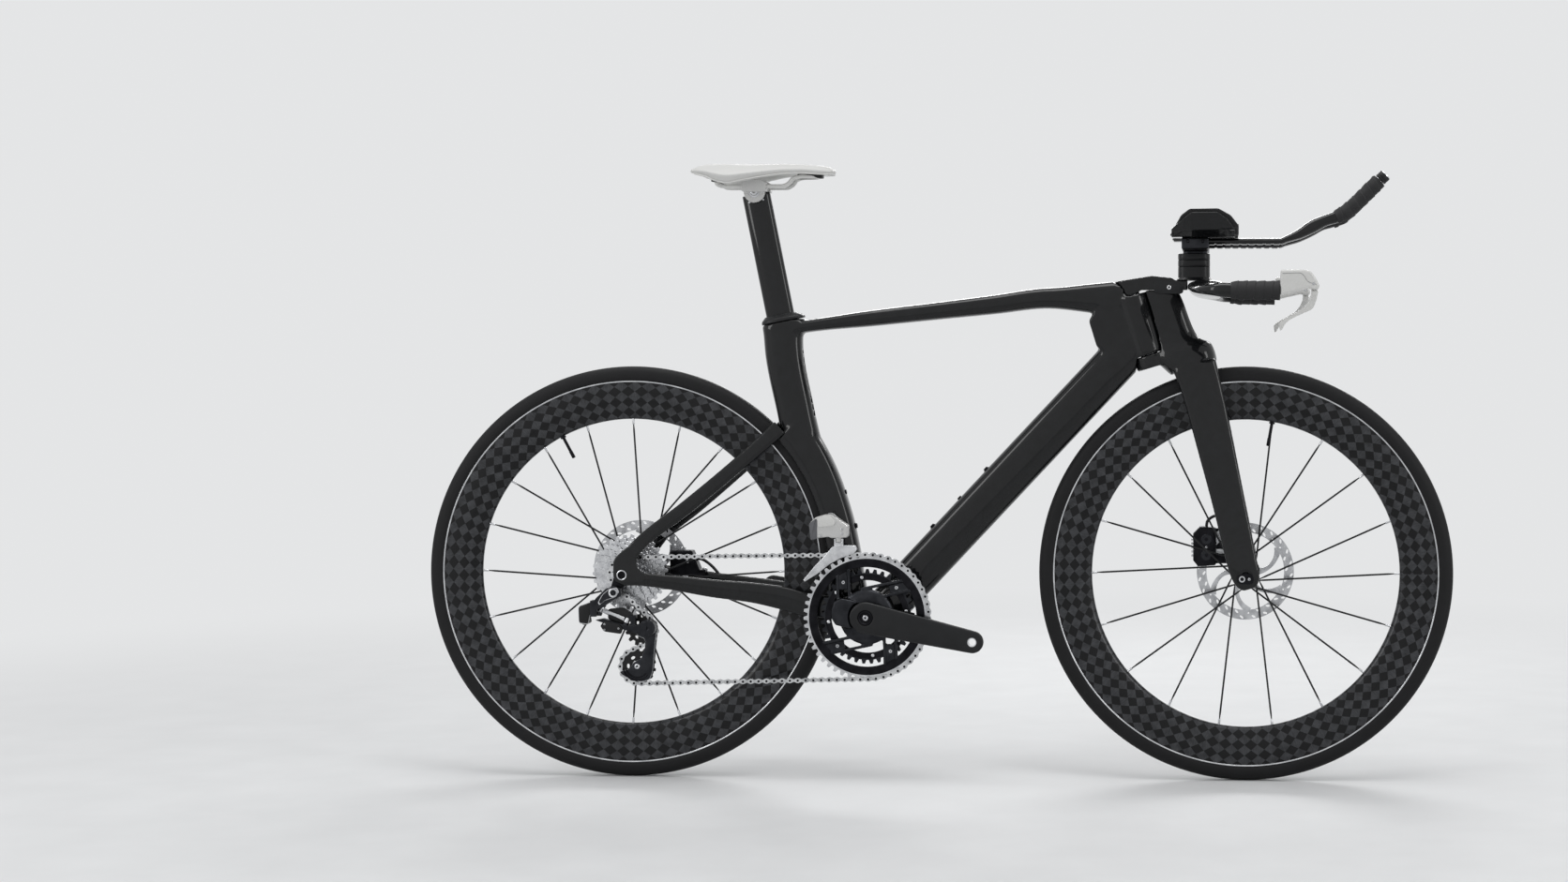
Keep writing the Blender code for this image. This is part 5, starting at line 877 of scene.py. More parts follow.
def fork():
    """Crown with its fairing and two blades, less the rooms of the wheel and of the frame's head."""
    body = [(*steer(s, (rear + fore) / 2), fore - rear, width) for s, rear, fore, width in
            ((0.345, 0.024, 0.1035, 0.074), (0.362, 0.014, 0.1045, 0.070), (0.377, 0.006, 0.1020, 0.064),
             (0.390, 0.006, 0.0865, 0.052), (0.400, 0.006, 0.0830, 0.046), (0.421, 0.006, 0.0803, 0.041),
             (0.457, 0.006, 0.0785, 0.038), (0.500, 0.006, 0.0700, 0.038))]
    joined = [sections(body, STEER_FORE, 2.6, 64, 60)]
    for sign in (-1, 1):
        blade = [(*steer(s, f, sign * y), depth, width) for s, f, y, depth, width in
                 ((0.350, 0.066, 0.0270, 0.0720, 0.0200), (0.300, 0.0655, 0.0300, 0.0665, 0.0160),
                  (0.226, 0.061, 0.0345, 0.0620, 0.0140), (0.120, 0.0537, 0.0425, 0.0545, 0.0130),
                  (0.060, 0.0490, 0.0490, 0.0520, 0.0125), (0.024, 0.0460, 0.0548, 0.0500, 0.0120),
                  (0.006, 0.0453, 0.0559, 0.0480, 0.0108), (-0.012, 0.0453, 0.0559, 0.0400, 0.0108),
                  (-0.022, 0.0453, 0.0557, 0.0220, 0.0090))]
        joined.append(sections(blade, STEER_FORE, 2.8, 48, 70))
    joined += [column(0.366, 0.3875, 0.0265, 64), column(0.372, 0.3900, STEERER_R, 32)]
    first = [wheel_room(FRONT, 0.16), column(0.3875, 0.56, 0.0295, 64)]
    flat = steer(0.4730, 0.0800)[2]
    second = [box((0.25, -0.06, flat), (0.50, 0.06, flat + 0.06)), axle(FRONT, 0.1, AXLE_HOLE_R, 40)]
    skin("fork_shell", "steering", CARBON, "fork", joined, first, second, voxel=0.0018, relax=12)
    piece("steerer_tube", "steering", BLACK_METAL, [column(0.3860, 0.5050, STEERER_R, 48)])


main_frame()
for side, sign in SIDES.items():
    rear_stays(side, sign)
fork()


# Drivetrain

CHAIN_Y = -0.050
INNER_RING_Y = -0.043
UPPER_JOCKEY = np.array([-0.4796, 0.0, 0.2458])
LOWER_JOCKEY = np.array([-0.4857, 0.0, 0.1870])
CAGE_PIVOT = np.array([-0.466, 0.0, 0.251])
COGS = (10, 11, 12, 13, 14, 15, 17, 19, 21, 24, 27, 30)
DRIVEN = 3
COG_Y, COG_PITCH = -0.06068, 0.00356
OUTER_TEETH, INNER_TEETH, UPPER_TEETH, LOWER_TEETH = 50, 37, 12, 14
CRANK_DROP = math.radians(12.5)
CRANK_L = 0.1775
ARM_IN, ARM_HALF = 0.0578, 0.0065


def pitch_radius(teeth):
    """Radius of the chain's pins on a wheel of this many teeth."""
    return PITCH / (2 * math.sin(math.pi / teeth))


def toothed(centre, teeth, gap, rise=0.0024, steps=12):
    """Tooth outline: r = R - 0.0038 + (0.0038 + rise) s, s being the eased cos of the tooth's phase, 0 to 1.

    gap is the angle at which one of the valleys for a roller lies.
    """
    t = gap + np.linspace(0, 2 * np.pi, teeth * steps, endpoint=False)
    bump = np.clip(0.5 - 0.95 * np.cos((t - gap) * teeth), 0, 1)
    bump = bump * bump * (3 - 2 * bump)
    r = pitch_radius(teeth) - 0.0038 + (0.0038 + rise) * bump
    return np.stack([centre[0] + r * np.cos(t), centre[2] + r * np.sin(t)], 1)


def toothed_band(centre, teeth, y, thick, inner, gap, **options):
    """Flat toothed ring whose rims are stepped in by a fifth of its thickness."""
    edge = toothed(centre, teeth, gap, **options)
    middle = centre[[0, 2]]
    bore = circle(centre, inner, len(edge), gap)
    eased = middle + (edge - middle) * (1 - 0.0004 / np.linalg.norm(edge - middle, axis=1)[:, None])
    half = thick / 2
    rows = [(eased, -half), (edge, -half * 0.5), (edge, half * 0.5), (eased, half), (bore, half),
            (bore, -half)]
    points = np.array([np.stack([o[:, 0], np.full(len(o), y + h), o[:, 1]], 1) for o, h in rows])
    return surface(points, loop=True)


def legs_of(wheels):
    """Tangent legs round wheels of (centre, radius, turning way): where each leaves one, meets the next."""
    legs = []
    for (c1, r1, o1), (c2, r2, o2) in zip(wheels, wheels[1:] + wheels[:1]):
        d = np.array([c2[0] - c1[0], c2[2] - c1[2]])
        length = np.linalg.norm(d)
        lean = math.asin((o2 * r2 - o1 * r1) / length)
        c, s = d / length * math.cos(lean), d / length * math.sin(lean)
        way = np.array([c[0] + s[1], c[1] - s[0]])
        normal = np.array([-way[1], way[0]])
        legs.append((c1[[0, 2]] - normal * o1 * r1, c2[[0, 2]] - normal * o2 * r2))
    return legs


def chain_pins():
    """Pins a pitch apart round the chain, and the angle of a valley on each wheel that it runs over.

    Every straight but the last starts and ends in a valley, since the wheels' angles are free. The last
    takes up what is left.
    """
    teeth = (OUTER_TEETH, COGS[DRIVEN], UPPER_TEETH, LOWER_TEETH)
    ways = (1, 1, -1, 1)
    wheels = [(centre, pitch_radius(count), way)
              for centre, count, way in zip((BB, REAR, UPPER_JOCKEY, LOWER_JOCKEY), teeth, ways)]
    legs = legs_of(wheels)
    pins, valleys, ahead = [], [], 0.0
    for k, (centre, radius, turning) in enumerate(wheels):
        meet, leave = legs[k - 1][1] - centre[[0, 2]], legs[k][0] - centre[[0, 2]]
        t0, t1 = math.atan2(meet[1], meet[0]), math.atan2(leave[1], leave[0])
        sweep = ((t1 - t0) * turning) % (2 * math.pi)
        first = ahead / radius
        steps = np.arange(first, sweep, 2 * math.pi / teeth[k])
        at = t0 + turning * steps
        pins.append(centre[[0, 2]] + radius * np.stack([np.cos(at), np.sin(at)], 1))
        valleys.append(at[0])
        spare = PITCH - (sweep - steps[-1]) * radius
        start, end = legs[k]
        length = np.linalg.norm(end - start)
        if k < len(wheels) - 1:
            along = np.arange(spare, length, PITCH)
            ahead = PITCH - (length - along[-1])
        else:
            count = round((length - spare) / PITCH)
            along = spare + (length - spare) * np.arange(count) / count
        pins.append(start + (end - start) * along[:, None] / length)
    return np.concatenate(pins), valleys


def link_plate(a, b, y, thick, end_r, waist):
    """Side plate from pin a to pin b: two round ends joined by a narrow waist, in the side view."""
    way = (b - a) / np.linalg.norm(b - a)
    over = np.array([-way[1], way[0]])
    half = np.linalg.norm(b - a) / 2
    t = np.linspace(-1.9, 1.9, 8)
    u = np.concatenate([half + end_r * np.cos(t), [0], -half - end_r * np.cos(t), [0]])
    v = np.concatenate([end_r * np.sin(t), [waist], -end_r * np.sin(t), [-waist]])
    outline = (a + b) / 2 + u[:, None] * way + v[:, None] * over
    return slab(outline, y - thick / 2, y + thick / 2)


PINS, VALLEYS = chain_pins()


def chain():
    """Outer and inner side plates by turns, with a roller and two dark pin ends at each joint.

    With an odd number of links, the joining link's plates lie outside those of the links beside it.
    """
    outer, inner, pins = [], [], []
    last = len(PINS) - 1
    for k, (a, b) in enumerate(zip(PINS, np.roll(PINS, -1, 0))):
        for sign in (-1, 1):
            if k % 2:
                inner.append(link_plate(a, b, CHAIN_Y + sign * 0.00160, 0.0008, 0.0042, 0.0019))
            else:
                out = 0.00335 if k == last else 0.00245
                outer.append(link_plate(a, b, CHAIN_Y + sign * out, 0.0008, 0.0041, 0.0021))
        middle = np.array([a[0], CHAIN_Y, a[1]])
        inner.append(axle(middle, 0.0012, 0.00385, 10))
        reach = 0.0041 if k in (0, last) else 0.0032
        pins += [rod(middle + ACROSS * side * 0.0018, middle + ACROSS * side * reach, 0.0020, 10)
                 for side in (-1, 1)]
    piece("chain_outer_links", "frame", CHAIN_STEEL, outer, ["chain"])
    piece("chain_inner_links", "frame", CHAIN_STEEL, inner)
    piece("chain_pins", "frame", BLACK_METAL, pins)


def chainrings():
    """Toothed rims on dark webs: the larger one plated, the smaller one in dark alloy as painted shade from
    the larger one, and pinned to its web.
    """
    # The smaller ring's teeth take the dark cast alloy as painted shade, for the larger ring's shadow on
    # them.
    rings = (("outer", SILVER, OUTER_TEETH, CHAIN_Y, 0.0945, 0.0030, 0.0810, VALLEYS[0]),
             ("inner", CAST, INNER_TEETH, INNER_RING_Y, 0.0688, 0.0026, 0.0590, 0.3))
    for name, metal, teeth, y, rim_r, web, bore, gap in rings:
        piece(name + "_ring_teeth", "cranks", metal, [toothed_band(BB, teeth, y, 0.0018, rim_r, gap)],
              ["chainring_" + name])
        half = web / 2
        profile = [(bore, -half + 0.0005), (bore + 0.0006, -half), (rim_r - 0.0006, -half),
                   (rim_r + 0.0002, -half + 0.0006), (rim_r + 0.0002, half - 0.0006), (rim_r - 0.0006, half),
                   (bore + 0.0006, half), (bore, half - 0.0005)]
        piece(name + "_ring_web", "cranks", BLACK_METAL, [fitting(BB + ACROSS * y, profile, 160)])
    shapes = []
    for angle in np.arange(0, 360, 45) + 8:
        at = polar(BB, math.radians(angle), 0.0640, INNER_RING_Y - 0.0013)
        shapes.append(turned(at, [(0.0002, -0.0010), (0.0016, -0.0010), (0.0026, -0.0005), (0.0026, 0.0002),
                                  (0.0002, 0.0002)], 14))
    piece("inner_ring_rivets", "cranks", SILVER, shapes)


def spider():
    """A domed hub, a block behind the arm's root and four forked arms along the dome's edge, in one casting.

    Each arm's ribs run the way (cos w, sin w), off the axis, and end on the circle r = 83.5 mm.
    """
    back, face = -0.0470, -0.0515
    front = -0.0575
    dome = [(0.0123, front), (0.0330, front), (0.0415, front + 0.0030), (0.0450, face), (0.0450, back),
            (0.0200, back + 0.0040), (0.0123, back + 0.0040)]
    joined = [turned(BB, dome, 96, closed=True)]
    bolts, shapes = [], []
    screw_profile = [(0.0011, 0.0006), (0.0011, -0.0002), (0.0026, -0.0002), (0.0031, 0.0004),
                     (0.0031, 0.0016), (0.0011, 0.0016)]
    for way in np.radians((12, 92, 192, 272)):
        ahead = np.array([math.cos(way), 0, math.sin(way)])
        over = np.array([-ahead[2], 0, ahead[0]])
        for offset, start in ((0.0272, 0.0300), (0.0460, 0.0)):
            near, far = offset - 0.0024, offset + 0.0024
            ends = [math.sqrt(0.0835**2 - o**2) for o in (near, far)]
            rib = [BB + ahead * s + over * o
                   for s, o in ((start, near), (ends[0], near), (ends[1], far), (start, far))]
            joined.append(slab(rib, back, face - 0.0016))
        floor = [BB + ahead * s + over * o for s, o in ((0.0450, 0.0270), (0.0790, 0.0270), (0.0750, 0.0366),
                                                        (0.0695, 0.0462), (0.0450, 0.0462))]
        joined.append(slab(floor, back, face + 0.0012))
        at = BB + ahead * 0.0570 + over * 0.0366 + ACROSS * (face + 0.0014)
        bolts.append(rod(at - ACROSS * 0.0050, at + ACROSS * 0.0010, 0.0036, 24))
        shapes.append(turned(at - ACROSS * 0.0006, screw_profile, 24, closed=True))
    root = [polar(BB, turn, 0.0275) for turn in np.radians(np.linspace(120, 218, 9))]
    block = [(-0.0257, -0.0191), (-0.0500, -0.0125), (-0.0565, -0.0020), (-0.0575, 0.0103),
             (-0.0525, 0.0255), (-0.0404, 0.0312), (-0.0200, 0.0275)]
    edge = [BB + np.array([x, 0, z]) for x, z in block]
    joined.append(slab(root + edge, back, front - 0.0045, edge=0.0030))
    skin("spider_casting", "cranks", CAST, "spider", joined, bolts, voxel=0.0011, relax=3)
    piece("ring_bolts", "cranks", SILVER, shapes)


def crank_arm(side, sign):
    """Arm whose depth follows a circle at each end: d = 2 sqrt(r^2 - s^2), and tapers evenly between."""
    ahead = np.array([math.cos(CRANK_DROP), 0.0, -math.sin(CRANK_DROP)]) * -sign
    over = np.array([-ahead[2], 0.0, ahead[0]])
    big, small = 0.0260, 0.0183
    s = np.concatenate([-big * np.cos(np.linspace(0.12, 1.5, 14)), np.linspace(0.003, CRANK_L - 0.003, 24),
                        CRANK_L + small * np.cos(np.linspace(1.5, 0.12, 14))])
    taper = big + (small - big) * np.clip(s / CRANK_L, 0, 1)
    back, past = np.clip(-s, 0, None), np.clip(s - CRANK_L, 0, None)
    depth = np.sqrt(np.clip(taper**2 - back**2 - past**2, 1e-8, None))
    half = ARM_HALF - 0.0008 * np.clip(s / CRANK_L, 0, 1)
    centres = BB + ahead * s[:, None] + ACROSS * sign * (ARM_IN + ARM_HALF)
    arm = swept(centres, over * depth[:, None], ACROSS * half[:, None], 56, 4.2)
    eye, outer = BB + ahead * CRANK_L, ACROSS * sign * 0.0708
    removed = [rod(eye + ACROSS * sign * 0.04, eye + ACROSS * sign * 0.09, 0.00715, 40),
               rod(BB + outer - ACROSS * sign * 0.0030, BB + outer + ACROSS * sign * 0.01, 0.0125, 48)]
    skin("crank_body_" + side, "cranks", SATIN, "crank_arm_" + side, [arm], removed, voxel=0.0011, relax=5)
    insert = [(0.0060, 0.0), (0.0060, 0.0115), (0.0074, 0.0118), (0.0074, 0.0001), (0.0068, 0.0)]
    piece("pedal_insert_" + side, "cranks", SILVER, [fitting(eye + ACROSS * sign * 0.0584, insert, 48, sign)])
    ring = [(0.0040, 0.0), (0.0040, 0.0008), (0.0078, 0.0010), (0.0084, 0.0024), (0.0092, 0.0030),
            (0.0116, 0.0030), (0.0122, 0.0022), (0.0122, 0.0)]
    bolt = [(0.0018, 0.0), (0.0018, 0.0013), (0.0034, 0.0016), (0.0044, 0.0010), (0.0044, 0.0)]
    at = BB + outer - ACROSS * sign * 0.0032
    piece("crank_cap_" + side, "cranks", BLACK_METAL, [fitting(at, ring, 64, sign)])
    piece("crank_bolt_" + side, "cranks", SILVER, [fitting(at, bolt, 48, sign)])
    if sign < 0:
        piece("spindle", "cranks", BLACK_METAL, [rod(BB - ACROSS * 0.0640, BB + ACROSS * 0.0668, 0.0120, 48)])


def cassette():
    """Twelve cogs: a toothed rim each, and a pierced web under the larger ones, on a stepped carrier."""
    shapes, webs = [], []
    for k, teeth in enumerate(COGS):
        y = COG_Y + k * COG_PITCH
        gap = VALLEYS[1] if k == DRIVEN else VALLEYS[1] + 0.21 * k
        radius = pitch_radius(teeth)
        inner = 0.0112 if teeth < 13 else radius - 0.0085 if teeth > 16 else 0.0150
        shapes.append(toothed_band(REAR, teeth, y, 0.0015, inner, gap, steps=10, rise=0.0016))
        if teeth > 16:
            floor = max(0.0170, inner - 0.0125)
            webs += pierced_ring(REAR, y, 0.0013, floor, inner + 0.0002, teeth // 2, 0.0021, slot=(1.5, 1.0),
                                 phase=0.17 * k)
    piece("cogs_rims", "cogs", SILVER, shapes, ["cassette"])
    piece("cogs_webs", "cogs", STEEL, webs)
    y0 = -0.0618
    core = [(0.0101, 0.0), (0.0112, -0.0002), (0.0112, 0.0110), (0.0150, 0.0115), (0.0160, 0.0230),
            (0.0172, 0.0235), (0.0285, 0.0410), (0.0285, 0.0415), (0.0101, 0.0415)]
    piece("cogs_core", "cogs", CAST, [fitting(REAR + ACROSS * y0, core, 96)])
    ring = [(0.0103, -0.0016), (0.0118, -0.0016), (0.0124, -0.0010), (0.0124, 0.0004), (0.0103, 0.0004)]
    piece("cogs_lock_ring", "cogs", SILVER, [fitting(REAR + ACROSS * y0, ring, 72)])


def jockey(name, body, centre, teeth, gap):
    """Toothed nylon wheel with windows between spokes, and a steel bearing in its middle."""
    middle = centre + ACROSS * CHAIN_Y
    radius = pitch_radius(teeth)
    shapes = pierced_ring(middle, CHAIN_Y, 0.0024, 0.0088, radius - 0.0064, 6, 0.0024, slot=(1.6, 1.0))
    shapes.append(toothed_band(middle, teeth, CHAIN_Y, 0.0021, radius - 0.0068, gap, rise=0.0018))
    piece(name + "_rim", body, NYLON, shapes, [name])
    bearing = [(0.0033, -0.0026), (0.0080, -0.0026), (0.0090, -0.0020), (0.0090, 0.0020), (0.0080, 0.0026),
               (0.0033, 0.0026)]
    piece(name + "_bearing", body, STEEL, [fitting(middle, bearing, 48)])


chain()
chainrings()
spider()
for side, sign in SIDES.items():
    crank_arm(side, sign)
cassette()
jockey("jockey_upper", "upper_jockey", UPPER_JOCKEY, UPPER_TEETH, VALLEYS[2])
jockey("jockey_lower", "lower_jockey", LOWER_JOCKEY, LOWER_TEETH, VALLEYS[3])


# Seat group


def saddle_rows(count):
    """Saddle stations (forward, crown height, skirt height, half width, hollow) read at even steps."""
    table = (
        (-0.4056, 0.9990, 0.9965, 0.0260, 0.0005), (-0.3970, 1.0030, 0.9923, 0.0500, 0.0015),
        (-0.3860, 1.0070, 0.9890, 0.0600, 0.0030), (-0.3710, 1.0094, 0.9850, 0.0650, 0.0055),
        (-0.3570, 1.0095, 0.9790, 0.0660, 0.0080), (-0.3380, 1.0094, 0.9750, 0.0655, 0.0150),
        (-0.3120, 1.0084, 0.9800, 0.0610, 0.0130), (-0.2810, 1.0090, 0.9865, 0.0500, 0.0090),
        (-0.2500, 1.0099, 0.9915, 0.0390, 0.0045), (-0.2190, 1.0090, 0.9930, 0.0310, 0.0015),
        (-0.1960, 1.0070, 0.9920, 0.0265, 0.0010), (-0.1760, 1.0030, 0.9915, 0.0215, 0.0005),
        (-0.1696, 0.9985, 0.9950, 0.0150, 0.0003))
    return through(table, count)


def saddle_section(rows, u, under, drop=0.0):
    """Crown z = side + (top - side)(1 - |u|^2.6), dished in the middle, its underside hollow."""
    x, top, skirt, wide, lift = (column[:, None] for column in rows.T)
    side = skirt + (top - skirt) * 0.35
    fade = np.clip((x + 0.385) / 0.03, 0, 1) * np.clip((-0.19 - x) / 0.03, 0, 1)
    dish = 0.0030 * np.exp(-((u * wide) / 0.0085) ** 2) * fade
    crown = side + (top - side) * (1 - np.abs(u) ** 2.6) - dish
    hollow = skirt + lift * np.clip((0.78 - np.abs(u)) / 0.15, 0, 1) - drop
    return np.stack([x + 0 * u, u * wide, hollow if under else crown], 2)


def saddle():
    """Padded cover over a hard base, on a bent rail held by the post's tilting clamp."""
    rows = saddle_rows(110)
    over, below = np.linspace(1, -1, 41)[None], np.linspace(-0.95, 0.95, 33)[None]
    whole = surface(np.concatenate([saddle_section(rows, over, False), saddle_section(rows, below, True)], 1))
    cushion = skin("saddle_cushion", "saddle", COVER, "saddle_shell", [whole], voxel=0.0017, relax=7)
    inner = rows[6:-6]
    wide, back = np.linspace(-0.86, 0.86, 33)[None], np.linspace(0.86, -0.86, 33)[None]
    base = np.concatenate([saddle_section(inner, wide, True, -0.0002),
                           saddle_section(inner, back, True, 0.0016)], 1)
    piece("saddle_base", "saddle", WHITE, [surface(base)])
    rim = saddle_section(rows[2:-2], np.array([[-0.985, 0.985]]), True, 0.0002)
    edge = np.concatenate([rim[:, 0], rim[::-1, 1]])
    piece("saddle_piping", "saddle", WHITE, [tube(edge, 0.0008, 8, 240)])
    half = [(-0.3625, 0.0300, 0.9866), (-0.3600, 0.0290, 0.9755), (-0.3520, 0.0250, 0.97185),
            (-0.3440, 0.0220, 0.97135), (-0.2540, 0.0220, 0.97135), (-0.2440, 0.0205, 0.9755),
            (-0.2350, 0.0185, 0.9850), (-0.2200, 0.0160, 0.9880), (-0.2020, 0.0110, 0.9880),
            (-0.1960, 0.0, 0.9880)]
    path = [(x, -y, z) for x, y, z in half] + [(x, y, z) for x, y, z in reversed(half[:-1])]
    piece("saddle_rail", "saddle", WHITE, [tube(path, 0.0035, 20, 220)], ["saddle_rails"])
    sockets = [rod((-0.3640, sign * 0.0300, 0.9780), (-0.3622, sign * 0.0300, 0.9890), 0.0056, 24, 0.0012)
               for sign in (-1, 1)]
    sockets.append(lofted([(-0.2290, 0, 0.9885, 0.0080, 0.0400), (-0.2050, 0, 0.9890, 0.0090, 0.0320),
                           (-0.1900, 0, 0.9895, 0.0080, 0.0200)], 32, 3, 12))
    piece("rail_sockets", "saddle", NYLON, sockets)


def saddle_clamp():
    """Round head with stepped rings and a socket bolt on each side, and ears that close over the rails."""
    centre = POST_HEAD
    rail_z = centre[2] + 0.0085
    joined = [axle(centre, 0.0150, 0.0175, 96)]
    removed = []
    for sign in (-1, 1):
        low, high = sorted((sign * 0.0130, sign * 0.0290))
        ear = [(-0.018, -0.0085), (0.022, -0.0085), (0.022, 0.006), (0.012, 0.0120), (-0.012, 0.0120),
               (-0.018, 0.006)]
        joined.append(slab([(centre[0] + x, rail_z + z) for x, z in ear], low, high))
        start = np.array([centre[0] - 0.05, sign * 0.0220, rail_z])
        removed.append(rod(start, start + [0.1, 0, 0], 0.0038, 32))
        groove = [(0.0105, 0.0), (0.0112, 0.0), (0.0112, 0.0030), (0.0105, 0.0030)]
        removed.append(fitting(centre + ACROSS * sign * 0.0146, groove, 72, sign))
    skin("clamp_head", "saddle_head", PEARL, "saddle_clamp", joined, removed, voxel=0.0007, relax=3)
    for side, sign in SIDES.items():
        bolt = [(0.0025, -0.0010), (0.0025, 0.0014), (0.0040, 0.0016), (0.0056, 0.0010), (0.0060, 0.0),
                (0.0060, -0.0010)]
        washer = [(0.0066, -0.0004), (0.0066, 0.0006), (0.0088, 0.0006), (0.0092, 0.0), (0.0092, -0.0004)]
        at = centre + ACROSS * sign * 0.0150
        piece("clamp_bolt_" + side, "saddle_head", SILVER,
              [fitting(at, shape, 48, sign) for shape in (bolt, washer)])


def seatpost():
    """Post with a round cradle for the clamp, and the frame's collar round its foot."""
    skin("post_body", "post", CARBON, "seatpost", [post(0.3700, 0.7150, 64)],
         [axle(POST_HEAD, 0.05, 0.0178, 96)], voxel=0.0012, relax=3)
    screws = [rod(seat(0.7030, POST_F + f, -0.0096), seat(0.7030, POST_F + f, -0.0114), 0.0018, 16, 0.0004)
              for f in (-0.0115, 0.0115)]
    piece("cradle_screws", "post", STEEL, screws)
    rows = [(*seat(0.5003, -0.0470), 0.0718, 0.0460), (*seat(0.5030, -0.0470), 0.0716, 0.0458),
            (*seat(0.5120, -0.0500), 0.0515, 0.0315)]
    skin("collar_body", "frame", SATIN, "seat_clamp", [sections(rows, SEAT_FORE, 2.8, 64, 20)],
         [post(0.49, 0.53, 64, SEAM)], voxel=0.0007, relax=3)


# Cockpit

BAR_X, BAR_Y, BAR_Z, BAR_TOP_Z = 0.442, 0.200, 0.796, 0.8165
HORN_END_X = 0.5565
EXT_Y, EXT_Z = 0.072, 0.877


def copied(node):
    """A merged copy of a node's solid."""
    solid = bmesh.new()
    solid.from_mesh(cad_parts[node].data)
    bmesh.ops.remove_doubles(solid, verts=solid.verts, dist=1e-6)
    mesh = bpy.data.meshes.new(node + "_copy")
    solid.to_mesh(mesh)
    solid.free()
    return mesh


def stem():
    """Stem moulded from its solid, with a cover plate and a clamp bolt on each cheek."""
    skin("stem_body", "steering", CARBON, "stem", copied("stem"), voxel=0.0011, relax=5)
    cover = rounded([(0.3560, 0.7945), (0.4020, 0.7945), (0.4045, 0.8080), (0.3900, 0.8140),
                     (0.3560, 0.8160)], 6, 0.6)
    for side, sign in SIDES.items():
        low, high = sorted((sign * 0.0200, sign * 0.0219))
        piece("stem_cover_" + side, "steering", SATIN, [slab(cover, low, high, 0.0004)])
        at = np.array([0.3805, sign * 0.0216, 0.8050])
        profile = [(0.0017, -0.0004), (0.0017, 0.0009), (0.0026, 0.0011), (0.0034, 0.0006), (0.0035, -0.0004)]
        piece("stem_bolt_" + side, "steering", SILVER, [fitting(at, profile, 32, sign)])


def base_bar():
    """Wing section whose chord turns from across to forward, and whose ends close to round horns."""
    half = [(BAR_X, 0.0, BAR_TOP_Z - 0.0110, 0, 0.0620, 0.0220),
            (BAR_X, 0.032, BAR_TOP_Z - 0.0110, 0, 0.0620, 0.0220),
            (BAR_X + 0.001, 0.062, BAR_Z + 0.0055, 0, 0.0600, 0.0165),
            (BAR_X + 0.003, 0.130, BAR_Z + 0.0025, 0, 0.0560, 0.0155),
            (BAR_X + 0.006, 0.165, BAR_Z + 0.0015, 15, 0.0510, 0.0160),
            (BAR_X + 0.016, 0.188, BAR_Z + 0.001, 45, 0.0350, 0.0195),
            (BAR_X + 0.028, 0.1985, BAR_Z + 0.0005, 75, 0.0230, 0.0230),
            (BAR_X + 0.038, BAR_Y, BAR_Z, 90, 0.0230, 0.0230),
            (HORN_END_X, BAR_Y, BAR_Z - 0.0010, 90, 0.0230, 0.0230)]
    rows = through(half, 120)
    mirror = rows[:0:-1] * [1, -1, 1, -1, 1, 1]
    rows = np.concatenate([mirror, rows])
    t = np.radians(rows[:, 3])
    chord = np.stack([np.cos(t), -np.sin(t), 0 * t], 1) * rows[:, 4:5] / 2
    tall = np.outer(rows[:, 5] / 2, [0, 0, 1])
    piece("bar_wing", "steering", CARBON, [swept(rows[:, :3], chord, tall, 56, 2.5)], ["base_bar"])


def taped(path, radius, pitch, start_radius):
    """Helical tape: the radius grows through each turn of the phase s / pitch - angle / 2 pi, then drops.

    Each lap also swells a little along the path, as stretched tape does.
    """
    lap, sides = 0.0012, 72
    rows = through(path, 220)
    at = np.concatenate([[0.0], np.cumsum(np.linalg.norm(np.diff(rows, axis=0), axis=1))])
    along = units(np.gradient(rows, axis=0))
    over = units(np.cross(along, ACROSS))
    wide = np.cross(over, along)
    t = np.linspace(0, 2 * np.pi, sides, endpoint=False)
    phase = (at[:, None] / pitch - t[None] / (2 * np.pi)) % 1.0
    swell = lap * (phase**0.7) * np.clip((1 - phase) / 0.10, 0, 1)
    swell = swell + 0.0003 * np.sin(2 * np.pi * (at[:, None] / 0.021 + t[None] / 9.0))
    taper = np.interp(at, [0, pitch, at[-1]], [start_radius - radius, 0.0, 0.0])
    r = radius - lap * 0.6 + swell + taper[:, None]
    r[0] = r[-1] = radius - 0.0022
    out = np.cos(t)[None, :, None] * over[:, None] + np.sin(t)[None, :, None] * wide[:, None]
    points = rows[:, None] + out * r[:, :, None]
    return surface(points, size=(2 * np.pi * radius, at[-1]))


def hand_grips(side, sign):
    """Tape round the bar's end."""
    path = [(x, sign * BAR_Y, BAR_Z - drop) for x, drop in ((0.4803, 0.0001), (0.5150, 0.0004),
                                                            (0.5564, 0.0006))]
    piece("bar_tape_" + side, "steering", TAPE, [taped(path, 0.0150, 0.0138, 0.0132)], ["bar_grip_" + side],
          40)


